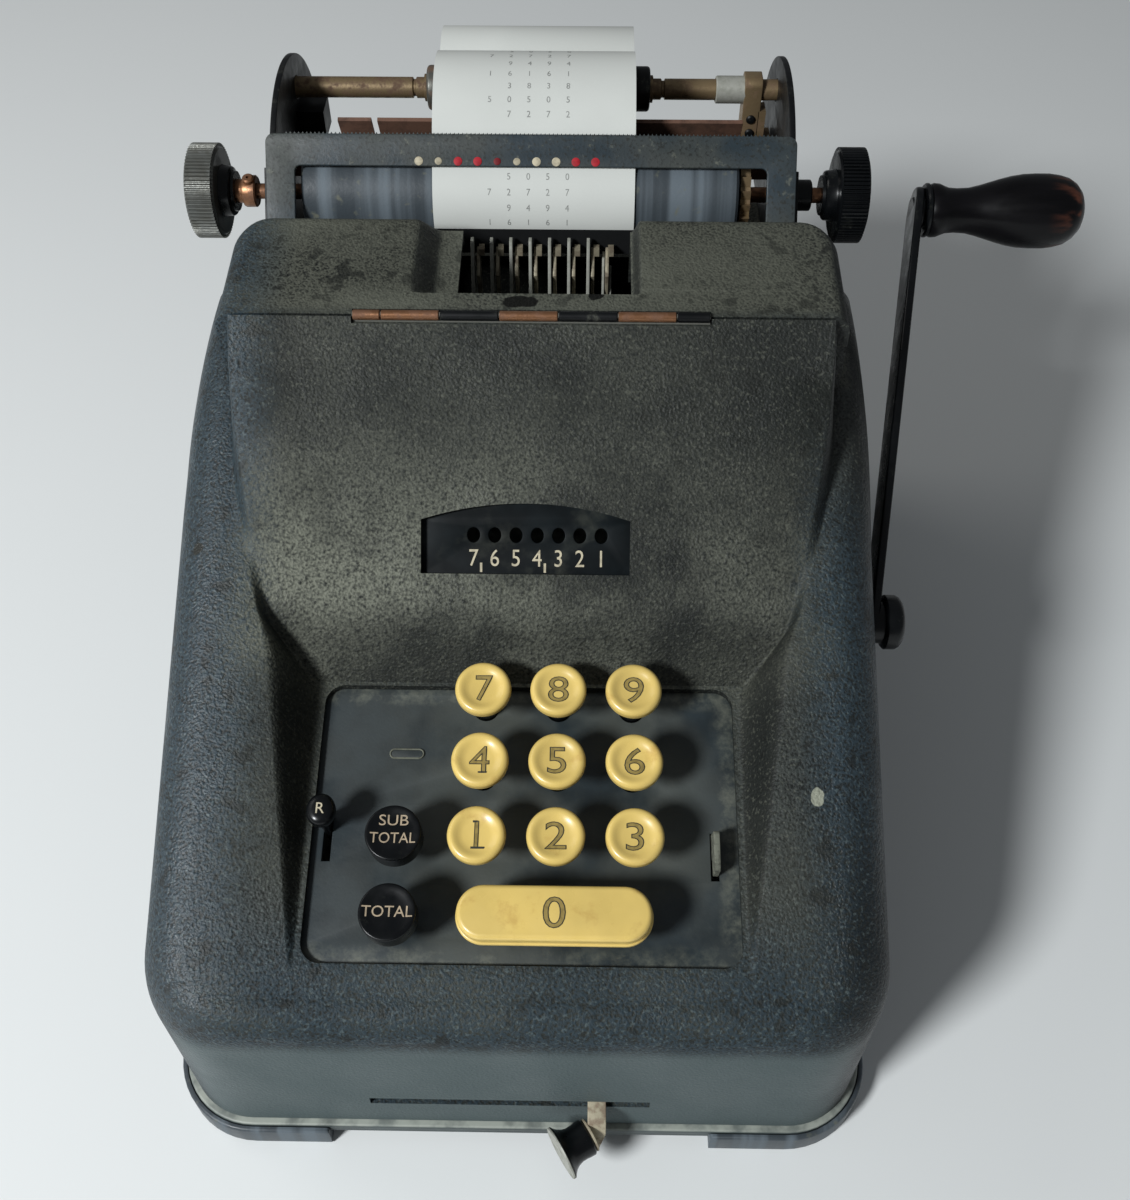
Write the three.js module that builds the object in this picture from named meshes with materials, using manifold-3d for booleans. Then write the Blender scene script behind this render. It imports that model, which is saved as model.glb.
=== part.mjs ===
// A hand-cranked ten-key printing adding machine with its paper tape, in millimetres, +Z up.
// X runs to the right, Y from the front wall to the back, and Z up from the floor.
import * as THREE from "three";
import { mergeVertices } from "three/addons/utils/BufferGeometryUtils.js";
import Module from "manifold-3d";

const wasm = await Module();
wasm.setup();

// General clearances and sheet thicknesses
const GAP = 0.3;
const WALL = 1.6;
const FRAME_SHEET = 1.8;

// Casing: plan size, edge radii and the rising shoulders beside the keyboard
const BODY_HALF = 92;
const BODY_DEPTH = 272;
const CORNER_RADIUS = 20;
const REAR_CORNER_RADIUS = 14;
const SHOULDER_RADIUS = 13.8;
const BROW_RADIUS = 9;
const CASING_FOOT_Z = 9.3;
const SHOULDER_START_Z = 67.6;
const SHOULDER_SLOPE = 0.51;
const SHOULDER_BEND_Y = 118;
const SHOULDER_FLAT_RUN = 72;
const REAR_DECK_Z = 122;
const REAR_DROP_Y = 188;
const REAR_DROP_RUN = 9;
const UPPER_CENTRE_X = 1.5;

// Keyboard: slope, panel and key caps
const KEY_SLOPE = THREE.MathUtils.degToRad(14.4);
const PANEL_START_Y = 14.5;
const PANEL_START_Z = 72.7;
const PANEL_RUN = 69.5;
const PANEL_HALF = 53.3;
const PANEL_CORNER = 5;
const PANEL_SHEET = 1.5;
const PANEL_MARGIN = 4;
const KEY_PITCH = 19.05;
const KEY_ROW_PITCH = 18.9;
const KEY_COLUMN_X = 9.5;
const KEY_FRONT_ROW = 10;
const KEY_HEIGHT = 15.3;
const KEY_TRAVEL = 4.5;
const CAP_RADIUS = 7.1;
const CAP_HEIGHT = 6.6;
const CAP_DISH = 0.9;
const STEM_RADIUS = 3;
const STEM_BELOW_PANEL = 13;
const ZERO_BAR_LENGTH = 46;
const ZERO_BAR_RADIUS = 6.9;
const FUNCTION_CAP_RADIUS = 6.8;
const FUNCTION_KEY_X = -29.5;

// Slope with the column window, and the hood behind it
const HUMP_SLOPE = THREE.MathUtils.degToRad(45);
const WELL_REAR_SLOPE = THREE.MathUtils.degToRad(64);
const HUMP_BLEND = 3;
const HINGE_Y = 147.9;
const HINGE_Z = 164.2;
const CREASE_START = PANEL_HALF + 13.7;
const FLANK_RUN = 3.2;
const WELL_FLARE = 1.5;
const HOOD_END_Y = 186;
const HOOD_RISE = 0.105;
const HOOD_HALF = 79.5;
const HOOD_EDGE_RADIUS = 5;
const HOOD_CORNER_RADIUS = 12;
const COVER_SEAM = 0.9;
const NOTCH_START_Y = 156.6;
const NOTCH_LEFT_X = -31;
const NOTCH_LEDGE_X = -23.4;
const NOTCH_OPEN_X = -17.4;
const NOTCH_RIGHT_X = 27.4;
const NOTCH_DROP = 6;
const HINGE_LENGTH = 91;
const KNUCKLE_RADIUS = 1.6;
const KNUCKLES = 7;
const HINGE_PIN_RADIUS = 0.7;
const LEAF_SHEET = 0.8;
const LEAF_DROP = 11;

// Column window on the slope
const WINDOW_Y = 101.2;
const WINDOW_HALF = 26.9;
const WINDOW_SHOULDER = 13.9;
const WINDOW_HEIGHT = 18.2;
const WINDOW_X = 0.5;
const WINDOW_SHEET = 1;
const TYPE_PITCH = 5.5;
const TYPE_COLUMNS = 7;
const COLUMN_HOLE_RADIUS = 1.75;
const COLUMN_HOLE_UP = 10;
const COLUMN_RIGHT_X = 20;

// Base pan, feet and the clearing lever in the front wall
const PAN_FLANGE = 1.8;
const PAN_SHEET = 2.2;
const PAN_RIM_HEIGHT = 6;
const FOOT_OVERHANG = 1.6;
const FOOT_HEIGHT = 6.5;
const FOOT_LIP = 1.8;
const FOOT_WIDTH = 11;
const FOOT_ARM = 44;
const LEVER_SLOT_X = -2.3;
const LEVER_SLOT_HALF = 36.5;
const LEVER_SLOT_Z = 23.6;
const LEVER_SLOT_HEIGHT = 2.6;
const LEVER_X = 20.6;
const LEVER_WIDTH = 3.8;
const LEVER_SHEET = 1.2;
const LEVER_KNOB_RADIUS = 6.2;
const LEVER_KNOB_LENGTH = 8.4;

// Carriage: platen, tear bar, end plates and the paper
const PLATEN_Y = 217;
const PLATEN_Z = 156.5;
const PLATEN_RADIUS = 15;
const PLATEN_LEFT_X = -65.6;
const PLATEN_RIGHT_X = 58.3;
const PLATEN_SHAFT_RADIUS = 2.2;
const RATCHET_RADIUS = 12.5;
const RATCHET_TEETH = 20;
const RATCHET_SHEET = 2.8;
const KNOB_RADIUS = 13.9;
const KNOB_RIM = 7.6;
const KNOB_FLUTES = 24;
const KNOB_FLUTE_DEPTH = 0.5;
const KNOB_LEFT_X = -95.6;
const KNOB_RIGHT_X = 93;
const COLLAR_RADIUS = 4.5;
const COLLAR_LENGTH = 5.9;
const CARRIAGE_X = -0.5;
const CARRIAGE_HALF = 73.7;
const EAR_Y = 245;
const EAR_Z = 140;
const EAR_RADIUS = 40;
const TEAR_SLOPE = THREE.MathUtils.degToRad(49);
const TEAR_BAR_HEIGHT = 9.4;
const TEAR_BAR_LEG = 27;
const TEAR_LEG_WIDTH = 8.2;
const TEAR_SHEET = 1.2;
const TEAR_TOOTH = 2.4;
const TEAR_TOOTH_DEPTH = 0.7;
const TEAR_ABOVE_PLATEN = 13.6;
const PAPER_WIDTH = 57.15;
const PAPER_X = 0.3;
const PAPER_SHEET = 0.4;
const ROLL_Y = 257;
const ROLL_Z = 168;
const ROLL_RADIUS = 17.5;
const ROLL_CORE_RADIUS = 6;
const SPINDLE_RADIUS = 3.05;
const FLANGE_RADIUS = 6.8;
const FLANGE_WIDTH = 5;
const SPINDLE_BOSS = 5;
const SPINDLE_BOSS_RADIUS = 4.4;
const BUSH_RADIUS = 4;
const BUSH_LENGTH = 8.6;
const BRACKET_WIDTH = 5.4;
const GUIDE_FLANGE = 10;

// Crank at the right-hand side
const CRANK_Y = 104.5;
const CRANK_Z = 96.5;
const CRANK_SHAFT_RADIUS = 5;
const CRANK_ANGLE = THREE.MathUtils.degToRad(26.1);
const CRANK_LENGTH = 125.5;
const CRANK_LEAN = 17;
const CRANK_SHEET = 4.4;
const CRANK_HUB_RADIUS = 7;
const CRANK_HUB_WIDTH = 5.6;
const CRANK_EYE_RADIUS = 5.2;
const GRIP_LENGTH = 45;
const GRIP_RADIUS = 10.6;
const GRIP_NECK_RADIUS = 6.3;
const FERRULE_RADIUS = 7.6;
const FERRULE_WIDTH = 3.2;
const STUD_RADIUS = 2.6;

// Works inside the casing
const FRAME_X = 72.1;
const TYPE_BAR_WIDTH = 1.6;
const TYPE_BAR_DEPTH = 4;
const TYPE_BAR_BACK_Y = 199.2;
const TYPE_BAR_TOP_Z = 150;
const TYPE_BAR_FOOT_Z = 62;
const TYPE_BAR_LIFT = 10;
const TYPE_LEFT_X = -15.3;
const COMB_FIN = 0.9;
const COMB_OFFSET = 2.6;
const COMB_DEPTH = 9;
const COMB_TOP_Z = 156;
const COMB_BAR_Z = 100;
const COMB_BAR_HEIGHT = 12;
const COMB_BAR_DEPTH = 4;
const LAST_FIN_X = TYPE_LEFT_X - COMB_OFFSET + TYPE_COLUMNS * TYPE_PITCH;
const SYMBOL_BAR_X = LAST_FIN_X + (COMB_FIN + TYPE_BAR_WIDTH) / 2 + GAP;
const RAIL_Y = 44;
const RAIL_Z = 36;
const RAIL_RADIUS = 3;
const PIN_BOX_WIDTH = 36;
const PIN_BOX_DEPTH = 38;
const PIN_BOX_HEIGHT = 16;
const PIN_COLUMNS = 8;
const PIN_RADIUS = 0.9;
const PIN_HEIGHT = 5;
const SPOOL_X = 53;
const SPOOL_Y = 169;
const SPOOL_Z = 133.5;
const SPOOL_RADIUS = 14.5;
const SPOOL_CORE_RADIUS = 6.5;
const SPOOL_HEIGHT = 13;
const SPOOL_FLANGE = 1;
const SPOOL_POST_RADIUS = 2;

// Colours with roughness and metalness
const material = (color, roughness, metalness) =>
  new THREE.MeshStandardMaterial({ color, roughness, metalness });
const CRACKLE_PAINT = material(0x33383a, 0.6, 0.1);
const SMOOTH_PAINT = material(0x4a5556, 0.5, 0.1);
const PANEL_PAINT = material(0x23282d, 0.55, 0.1);
const CREAM_PLASTIC = material(0xe3c67a, 0.35, 0);
const BLACK_PLASTIC = material(0x121316, 0.3, 0);
const RUBBER = material(0x2b3036, 0.75, 0);
const STEEL = material(0x8a8a84, 0.45, 0.9);
const BRASS = material(0x9a7446, 0.45, 0.9);
const RUST = material(0x6b4a38, 0.8, 0.5);
const PAPER = material(0xe4e4dc, 0.9, 0);
const DARK_WOOD = material(0x1d1512, 0.35, 0);

// Solids from geometry, and geometry from solids
function solidOf(geometry) {
  const bare = geometry.clone();
  bare.deleteAttribute("normal");
  bare.deleteAttribute("uv");
  const merged = mergeVertices(bare, 1e-4);
  const vertProperties = merged.attributes.position.array;
  const triVerts = new Uint32Array(merged.index.array);
  const made = new wasm.Manifold(new wasm.Mesh({ numProp: 3, vertProperties, triVerts }));
  if (made.volume() > 0) return made;
  const flipped = triVerts.map((v, i) => triVerts[i - (i % 3) + [0, 2, 1][i % 3]]);
  return new wasm.Manifold(new wasm.Mesh({ numProp: 3, vertProperties, triVerts: flipped }));
}

function geometryOf(solid) {
  const mesh = solid.getMesh();
  const geometry = new THREE.BufferGeometry();
  geometry.setAttribute("position", new THREE.BufferAttribute(mesh.vertProperties, 3));
  geometry.setIndex(new THREE.BufferAttribute(mesh.triVerts, 1));
  geometry.computeVertexNormals();
  return geometry;
}

function join(...pieces) {
  return geometryOf(pieces.map(solidOf).reduce((a, b) => a.add(b)));
}

function cut(piece, ...tools) {
  return geometryOf(tools.map(solidOf).reduce((a, b) => a.subtract(b), solidOf(piece)));
}

// Basic forms
function block(x0, x1, y0, y1, z0, z1) {
  const box = new THREE.BoxGeometry(x1 - x0, y1 - y0, z1 - z0);
  return box.translate((x0 + x1) / 2, (y0 + y1) / 2, (z0 + z1) / 2);
}

function rodAlongX(radius, x0, x1, y, z, sides = 12) {
  const rod = new THREE.CylinderGeometry(radius, radius, x1 - x0, sides);
  return rod.rotateZ(Math.PI / 2).translate((x0 + x1) / 2, y, z);
}

// A profile of (radius, height) pairs turned about Z
function turned(profile, sides = 18) {
  const points = profile.map(([r, h]) => new THREE.Vector2(r, h));
  return new THREE.LatheGeometry(points, sides).rotateX(Math.PI / 2);
}

// The same turned piece lying along X, starting at x and growing by the sign of direction
function turnedAlongX(profile, x, y, z, direction = 1, sides = 18) {
  return turned(profile, sides).rotateY((direction * Math.PI) / 2).translate(x, y, z);
}

function polygon(points) {
  const corners = points.map(([a, b]) => new THREE.Vector2(a, b));
  if (THREE.ShapeUtils.isClockWise(corners)) corners.reverse();
  return new THREE.Shape(corners);
}

function roundedRectangle(x0, x1, y0, y1, radius, rearRadius = radius) {
  const shape = new THREE.Shape();
  const quarter = Math.PI / 2;
  shape.moveTo(x0 + radius, y0);
  shape.lineTo(x1 - radius, y0);
  shape.absarc(x1 - radius, y0 + radius, radius, -quarter, 0);
  shape.lineTo(x1, y1 - rearRadius);
  shape.absarc(x1 - rearRadius, y1 - rearRadius, rearRadius, 0, quarter);
  shape.lineTo(x0 + rearRadius, y1);
  shape.absarc(x0 + rearRadius, y1 - rearRadius, rearRadius, quarter, 2 * quarter);
  shape.lineTo(x0, y0 + radius);
  shape.absarc(x0 + radius, y0 + radius, radius, 2 * quarter, 3 * quarter);
  return shape;
}

function slab(shape, z0, z1, curveSegments = 6) {
  const options = { depth: z1 - z0, bevelEnabled: false, curveSegments };
  return new THREE.ExtrudeGeometry(shape, options).translate(0, 0, z0);
}

// A shape drawn in (y, z), given thickness from x0 to x1
function sidePlate(shape, x0, x1, curveSegments = 12) {
  const plate = slab(shape, x0, x1, curveSegments);
  const toSide = new THREE.Matrix4().set(0, 0, 1, 0, 1, 0, 0, 0, 0, 1, 0, 0, 0, 0, 0, 1);
  return plate.applyMatrix4(toSide);
}

// Cross-sections of equal point counts, each a closed (x, z) outline at its own y, skinned together;
// each end is closed by a fan from the outline's first point
function loft(stations) {
  const count = stations[0].outline.length;
  const vertices = stations.flatMap(({ y, outline }) => outline.flatMap(([x, z]) => [x, y, z]));
  const faces = [];
  for (let row = 0; row + 1 < stations.length; row++) {
    for (let i = 0; i < count; i++) {
      const a = row * count + i;
      const b = row * count + ((i + 1) % count);
      faces.push(a, b, a + count, b, b + count, a + count);
    }
  }
  const last = (stations.length - 1) * count;
  for (let i = 1; i + 1 < count; i++) {
    faces.push(0, i + 1, i, last, last + i, last + i + 1);
  }
  const geometry = new THREE.BufferGeometry();
  geometry.setAttribute("position", new THREE.Float32BufferAttribute(vertices, 3));
  geometry.setIndex(faces);
  return geometry;
}

const clamp = (value) => Math.min(1, Math.max(0, value));

function ease(start, end, value) {
  const t = clamp((value - start) / (end - start));
  return t * t * (3 - 2 * t);
}

const mix = (a, b, t) => a + (b - a) * t;

// Heights of the casing along its length
const PANEL_REAR_Y = PANEL_START_Y + PANEL_RUN;
const panelTop = (y) => PANEL_START_Z + (y - PANEL_START_Y) * Math.tan(KEY_SLOPE);
const lipTop = (y) => panelTop(y) + GAP + WALL / Math.cos(KEY_SLOPE);
const HUMP_START_Y = PANEL_REAR_Y + 1;
const HUMP_END_Y = HINGE_Y - 0.6;
const HUMP_START_Z = lipTop(HUMP_START_Y);

// The steep rear wall of the keyboard well rounds into the slope that carries the window
function humpTop(y) {
  const wall = HUMP_START_Z + (y - HUMP_START_Y) * Math.tan(WELL_REAR_SLOPE);
  const slope = HINGE_Z - 0.2 - (HUMP_END_Y - y) * Math.tan(HUMP_SLOPE);
  const blend = clamp(0.5 + (slope - wall) / (2 * HUMP_BLEND));
  return mix(slope, wall, blend) - HUMP_BLEND * blend * (1 - blend);
}

function shoulderTop(y) {
  const bend = clamp((y - SHOULDER_BEND_Y) / SHOULDER_FLAT_RUN) * SHOULDER_FLAT_RUN;
  const straight = Math.min(y, SHOULDER_BEND_Y);
  const rise = straight + bend - (bend * bend) / (2 * SHOULDER_FLAT_RUN);
  const top = SHOULDER_START_Z + SHOULDER_SLOPE * rise;
  return mix(top, REAR_DECK_Z, ease(REAR_DROP_Y, REAR_DROP_Y + REAR_DROP_RUN, y));
}

// The brow rounds the front wall into the sloping top
function browLimit(y) {
  const reach = BROW_RADIUS - y;
  if (reach < 0) return Infinity;
  const lean = Math.hypot(1, SHOULDER_SLOPE) - SHOULDER_SLOPE;
  const centre = SHOULDER_START_Z - BROW_RADIUS * lean;
  return centre + Math.sqrt(Math.max(0, BROW_RADIUS ** 2 - reach * reach));
}

function rearLimit(y) {
  const reach = y - (BODY_DEPTH - BROW_RADIUS / 2);
  if (reach < 0) return Infinity;
  return REAR_DECK_Z - BROW_RADIUS / 2 + Math.sqrt(Math.max(0, (BROW_RADIUS / 2) ** 2 - reach * reach));
}

const sideTop = (y) => Math.min(shoulderTop(y), browLimit(y), rearLimit(y));

function middleTop(y) {
  if (y < HUMP_START_Y) return Math.min(sideTop(y), lipTop(y));
  return y <= HUMP_END_Y ? humpTop(y) : sideTop(y);
}

// Half-widths of the casing along its length
function planHalf(y, inset) {
  const front = CORNER_RADIUS - y;
  const rear = y - (BODY_DEPTH - REAR_CORNER_RADIUS);
  const radius = (front > 0 ? CORNER_RADIUS : REAR_CORNER_RADIUS) - inset;
  const reach = Math.max(front, rear, 0);
  return BODY_HALF - inset - radius + Math.sqrt(Math.max(0, radius * radius - reach * reach));
}

function creaseHalf(y) {
  if (y < PANEL_REAR_Y) return mix(PANEL_HALF + 2.7, CREASE_START, clamp((y - PANEL_START_Y) / PANEL_RUN));
  const opening = Math.sin((Math.PI / 2) * clamp((y - PANEL_REAR_Y) / (HINGE_Y - PANEL_REAR_Y)));
  const closing = 1 - ease(REAR_DROP_Y, CARRIAGE_SILL_Y, y);
  return mix(CREASE_START, HOOD_HALF + 0.8, opening * closing);
}

function floorHalf(y) {
  const flare = PANEL_HALF + 1 + Math.max(0, y - PANEL_REAR_Y) * WELL_FLARE;
  return Math.min(creaseHalf(y) - (y < PANEL_REAR_Y ? 1.5 : FLANK_RUN), flare);
}

// One cross-section of the casing, or of its hollow when inset is more than nothing
function casingSection(y, inset) {
  const step = 0.4;
  const steepness = (top) => Math.min(3, Math.hypot(1, (top(y + step) - top(y - step)) / (2 * step)));
  const side = sideTop(y) - inset * steepness(sideTop);
  const slopeEnd = HUMP_END_Y - inset;
  const belowSlope = () => humpTop(y) - inset * steepness(humpTop);
  const belowLip = () => middleTop(y) - inset / Math.cos(KEY_SLOPE);
  const middle = y > slopeEnd ? side : y > HUMP_START_Y ? belowSlope() : belowLip();
  const half = planHalf(y, inset);
  const lean = inset * 0.8 * Math.max(-1, Math.min(1, (side - middle) / 6));
  const foot = inset > 0 ? CASING_FOOT_Z - 30 : CASING_FOOT_Z;
  const halfOutline = (hand) => {
    const offset = hand * UPPER_CENTRE_X;
    const inner = creaseHalf(y) + lean + offset;
    const low = floorHalf(y) + lean + offset;
    const radius = Math.max(1.5, Math.min(SHOULDER_RADIUS - inset, half - inner - 0.8));
    const points = [[half, foot]];
    for (let i = 0; i <= 4; i++) {
      const angle = (i / 4) * (Math.PI / 2);
      points.push([half - radius + radius * Math.cos(angle), side - radius + radius * Math.sin(angle)]);
    }
    for (let i = 0; i <= 3; i++) {
      points.push([mix(inner, low, i / 3), mix(side, middle, ease(0, 1, i / 3))]);
    }
    return points.map(([x, z]) => [hand * x, z]);
  };
  return { y, outline: [...halfOutline(1), [UPPER_CENTRE_X, middle], ...halfOutline(-1).reverse()] };
}

function casingStations(inset) {
  const front = [0, 16, 32, 48, 66].map((angle) => {
    return inset + (CORNER_RADIUS - inset) * (1 - Math.cos(THREE.MathUtils.degToRad(angle)));
  });
  const rear = [90, 64, 40, 18, 0].map((angle) => {
    const radius = REAR_CORNER_RADIUS - inset;
    return BODY_DEPTH - inset - radius * (1 - Math.cos(THREE.MathUtils.degToRad(angle)));
  });
  const beside = [0, 0.25, 0.5, 0.75].map((share) => mix(CORNER_RADIUS, PANEL_REAR_Y - 4, share));
  const slopeEnd = HUMP_END_Y - inset;
  const foot = [0, 0.05, 0.09, 0.125, 0.165, 0.215, 0.28, 0.36, 0.47, 0.6, 0.76, 1];
  const slope = foot.map((share) => mix(HUMP_START_Y, slopeEnd, share));
  const behind = [slopeEnd + 0.3, mix(HUMP_END_Y, REAR_DROP_Y, 0.5), REAR_DROP_Y];
  const drop = [0.25, 0.5, 0.75, 1].map((share) => REAR_DROP_Y + REAR_DROP_RUN * share);
  return [...front, ...beside, PANEL_REAR_Y - 4, ...slope, ...behind, ...drop, CARRIAGE_SILL_Y, ...rear];
}

// Frames of reference: the keyboard plane and the window's place on the slope
function onKeyboard(geometry, x, along, height) {
  return geometry
    .translate(0, 0, height)
    .rotateX(KEY_SLOPE)
    .translate(x, PANEL_START_Y + along * Math.cos(KEY_SLOPE), PANEL_START_Z + along * Math.sin(KEY_SLOPE));
}

const WINDOW_TILT = HUMP_SLOPE;
const WINDOW_Z = humpTop(WINDOW_Y);

function onWindow(geometry, depth) {
  return geometry.translate(0, 0, -depth).rotateX(WINDOW_TILT).translate(WINDOW_X, WINDOW_Y, WINDOW_Z);
}

function windowShape(margin) {
  const shape = new THREE.Shape();
  shape.moveTo(-WINDOW_HALF - margin, -margin);
  shape.lineTo(WINDOW_HALF + margin, -margin);
  shape.lineTo(WINDOW_HALF + margin, WINDOW_SHOULDER);
  const crown = 2 * WINDOW_HEIGHT - WINDOW_SHOULDER + 2 * margin;
  shape.quadraticCurveTo(0, crown, -WINDOW_HALF - margin, WINDOW_SHOULDER);
  return shape;
}

const OPENING_HALF = FRAME_X + FRAME_SHEET + 2.1;
const LID_SILL_Y = HUMP_END_Y + 2;
const CARRIAGE_SILL_Y = 236;

function mainCasing() {
  const outer = loft(casingStations(0).map((y) => casingSection(y, 0)));
  const inner = loft(casingStations(WALL).map((y) => casingSection(y, WALL)));
  const keyboard = roundedRectangle(
    UPPER_CENTRE_X - PANEL_HALF,
    UPPER_CENTRE_X + PANEL_HALF,
    PANEL_START_Y,
    PANEL_REAR_Y,
    PANEL_CORNER,
  );
  const hinge = HINGE_LENGTH / 2 + GAP;
  return cut(
    outer,
    inner,
    slab(keyboard, PANEL_START_Z - 6, lipTop(PANEL_REAR_Y) + 8),
    onWindow(slab(windowShape(0), -4, 6), 0),
    block(
      LEVER_SLOT_X - LEVER_SLOT_HALF,
      LEVER_SLOT_X + LEVER_SLOT_HALF,
      -1,
      WALL + 1,
      LEVER_SLOT_Z - LEVER_SLOT_HEIGHT / 2,
      LEVER_SLOT_Z + LEVER_SLOT_HEIGHT / 2,
    ),
    rodAlongX(CRANK_SHAFT_RADIUS + 1, BODY_HALF - 6, BODY_HALF + 2, CRANK_Y, CRANK_Z),
    block(-OPENING_HALF, OPENING_HALF, LID_SILL_Y, CARRIAGE_SILL_Y, REAR_DECK_Z - 8, 190),
    block(
      UPPER_CENTRE_X - hinge,
      UPPER_CENTRE_X + hinge,
      HINGE_Y - KNUCKLE_RADIUS - GAP,
      HINGE_Y + 1,
      HINGE_Z - KNUCKLE_RADIUS - GAP,
      HINGE_Z + 4,
    ),
  );
}

// Lid over the ribbon and type bars, with the notch that shows the type
const hoodTop = (y) => HINGE_Z - 0.2 + (y - HINGE_Y) * HOOD_RISE;

function hoodHalf(y, inset) {
  const reach = Math.max(0, y - (HOOD_END_Y - HOOD_CORNER_RADIUS));
  const radius = HOOD_CORNER_RADIUS - inset;
  return HOOD_HALF - inset - radius + Math.sqrt(Math.max(0, radius * radius - reach * reach));
}

function hoodSection(y, inset) {
  const fall = Math.max(0, y - (HOOD_END_Y - HOOD_EDGE_RADIUS)) / HOOD_EDGE_RADIUS;
  const lip = HOOD_EDGE_RADIUS * (1 - Math.sqrt(Math.max(0, 1 - Math.min(1, fall) ** 2)));
  const top = hoodTop(y) - lip - inset;
  const half = hoodHalf(y, inset);
  const radius = HOOD_EDGE_RADIUS - Math.min(inset, HOOD_EDGE_RADIUS - 1);
  const foot = shoulderTop(Math.min(y, REAR_DROP_Y)) + COVER_SEAM - (inset > 0 ? 4 : 0);
  const drop = NOTCH_DROP * ease(NOTCH_START_Y - 0.8, NOTCH_START_Y, y) - lip * ease(NOTCH_START_Y, HOOD_END_Y, y);
  const side = (hand) => {
    const points = [[half, foot]];
    for (let i = 0; i <= 4; i++) {
      const angle = (i / 4) * (Math.PI / 2);
      points.push([half - radius + radius * Math.cos(angle), top - radius + radius * Math.sin(angle)]);
    }
    return points.map(([x, z]) => [hand * x + UPPER_CENTRE_X, z]);
  };
  const low = top - Math.max(0, drop);
  const notch = [
    [NOTCH_RIGHT_X + 1, top],
    [NOTCH_RIGHT_X, low],
    [NOTCH_LEDGE_X, low],
    [mix(NOTCH_LEDGE_X, NOTCH_LEFT_X, 0.5) + inset, mix(low, top, 0.55)],
    [NOTCH_LEFT_X, top],
  ];
  return { y, outline: [...side(1), ...notch, ...side(-1).reverse()] };
}

function ribbonCover() {
  const start = HINGE_Y + 0.3;
  const corner = [28, 52, 72, 90].map((angle) => {
    return HOOD_END_Y - HOOD_CORNER_RADIUS * (1 - Math.sin(THREE.MathUtils.degToRad(angle)));
  });
  const along = [start, NOTCH_START_Y - 0.8, NOTCH_START_Y, HOOD_END_Y - HOOD_CORNER_RADIUS];
  const stations = [...along, ...corner];
  const inner = [start + 2 * WALL, ...stations.filter((y) => y > start + 4 && y < HOOD_END_Y - WALL)];
  const hinge = HINGE_LENGTH / 2 + GAP;
  return cut(
    loft(stations.map((y) => hoodSection(y, 0))),
    loft([...inner, HOOD_END_Y - WALL].map((y) => hoodSection(y, WALL))),
    block(NOTCH_OPEN_X, NOTCH_RIGHT_X, NOTCH_START_Y, HOOD_END_Y + 1, 130, 190),
    block(NOTCH_LEFT_X + 4, NOTCH_OPEN_X + 1, HOOD_END_Y - 2 * WALL, HOOD_END_Y + 1, 130, HINGE_Z - NOTCH_DROP),
    block(-OPENING_HALF + 3, OPENING_HALF - 3, start - 1, start + 2 * WALL + 1, 130, HINGE_Z - LEAF_DROP - 4),
    block(
      UPPER_CENTRE_X - hinge,
      UPPER_CENTRE_X + hinge,
      start - 1,
      HINGE_Y + KNUCKLE_RADIUS + 2 * GAP,
      HINGE_Z - LEAF_DROP - 6,
      HINGE_Z + 4,
    ),
  );
}

// Piano hinge: odd knuckles stand on the casing's leaf, even ones on the lid's
function hingeLeaf(first, leafY, reach) {
  const left = UPPER_CENTRE_X - HINGE_LENGTH / 2;
  const pitch = HINGE_LENGTH / KNUCKLES;
  const top = HINGE_Z - reach;
  const plate = block(left, left + HINGE_LENGTH, leafY, leafY + LEAF_SHEET, HINGE_Z - LEAF_DROP, top - 1.4);
  const knuckles = [];
  for (let i = first; i < KNUCKLES; i += 2) {
    const x0 = left + i * pitch + GAP / 2;
    const x1 = left + (i + 1) * pitch - GAP / 2;
    knuckles.push(rodAlongX(KNUCKLE_RADIUS, x0, x1, HINGE_Y, HINGE_Z, 10));
    knuckles.push(block(x0, x1, leafY, leafY + LEAF_SHEET, top - 1.6, HINGE_Z - reach / 2));
  }
  const bore = rodAlongX(HINGE_PIN_RADIUS + GAP, left - 1, left + HINGE_LENGTH + 1, HINGE_Y, HINGE_Z, 8);
  return cut(join(plate, ...knuckles), bore);
}

function hingePin() {
  const half = HINGE_LENGTH / 2;
  return rodAlongX(HINGE_PIN_RADIUS, UPPER_CENTRE_X - half, UPPER_CENTRE_X + half, HINGE_Y, HINGE_Z, 8);
}

// Keyboard panel with a hole for each key and a slot for each lever
const ROWS = [0, 1, 2, 3].map((row) => KEY_FRONT_ROW + row * KEY_ROW_PITCH);
const COLUMNS = [-1, 0, 1].map((column) => KEY_COLUMN_X + column * KEY_PITCH);
const ZERO_STEM_OFFSET = ZERO_BAR_LENGTH / 2 - 9;
const REPEAT_LEVER = { x: -48, along: 25.5, slot: 13, travel: 6 };
const TAB_LEVER = { x: 49, along: 28, slot: 12, travel: 5 };

function stemPlaces() {
  const places = [];
  for (const row of [1, 2, 3]) for (const x of COLUMNS) places.push([x, ROWS[row]]);
  places.push([KEY_COLUMN_X - ZERO_STEM_OFFSET, ROWS[0]], [KEY_COLUMN_X + ZERO_STEM_OFFSET, ROWS[0]]);
  places.push([FUNCTION_KEY_X, ROWS[0]], [FUNCTION_KEY_X, ROWS[1]]);
  return places;
}

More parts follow.
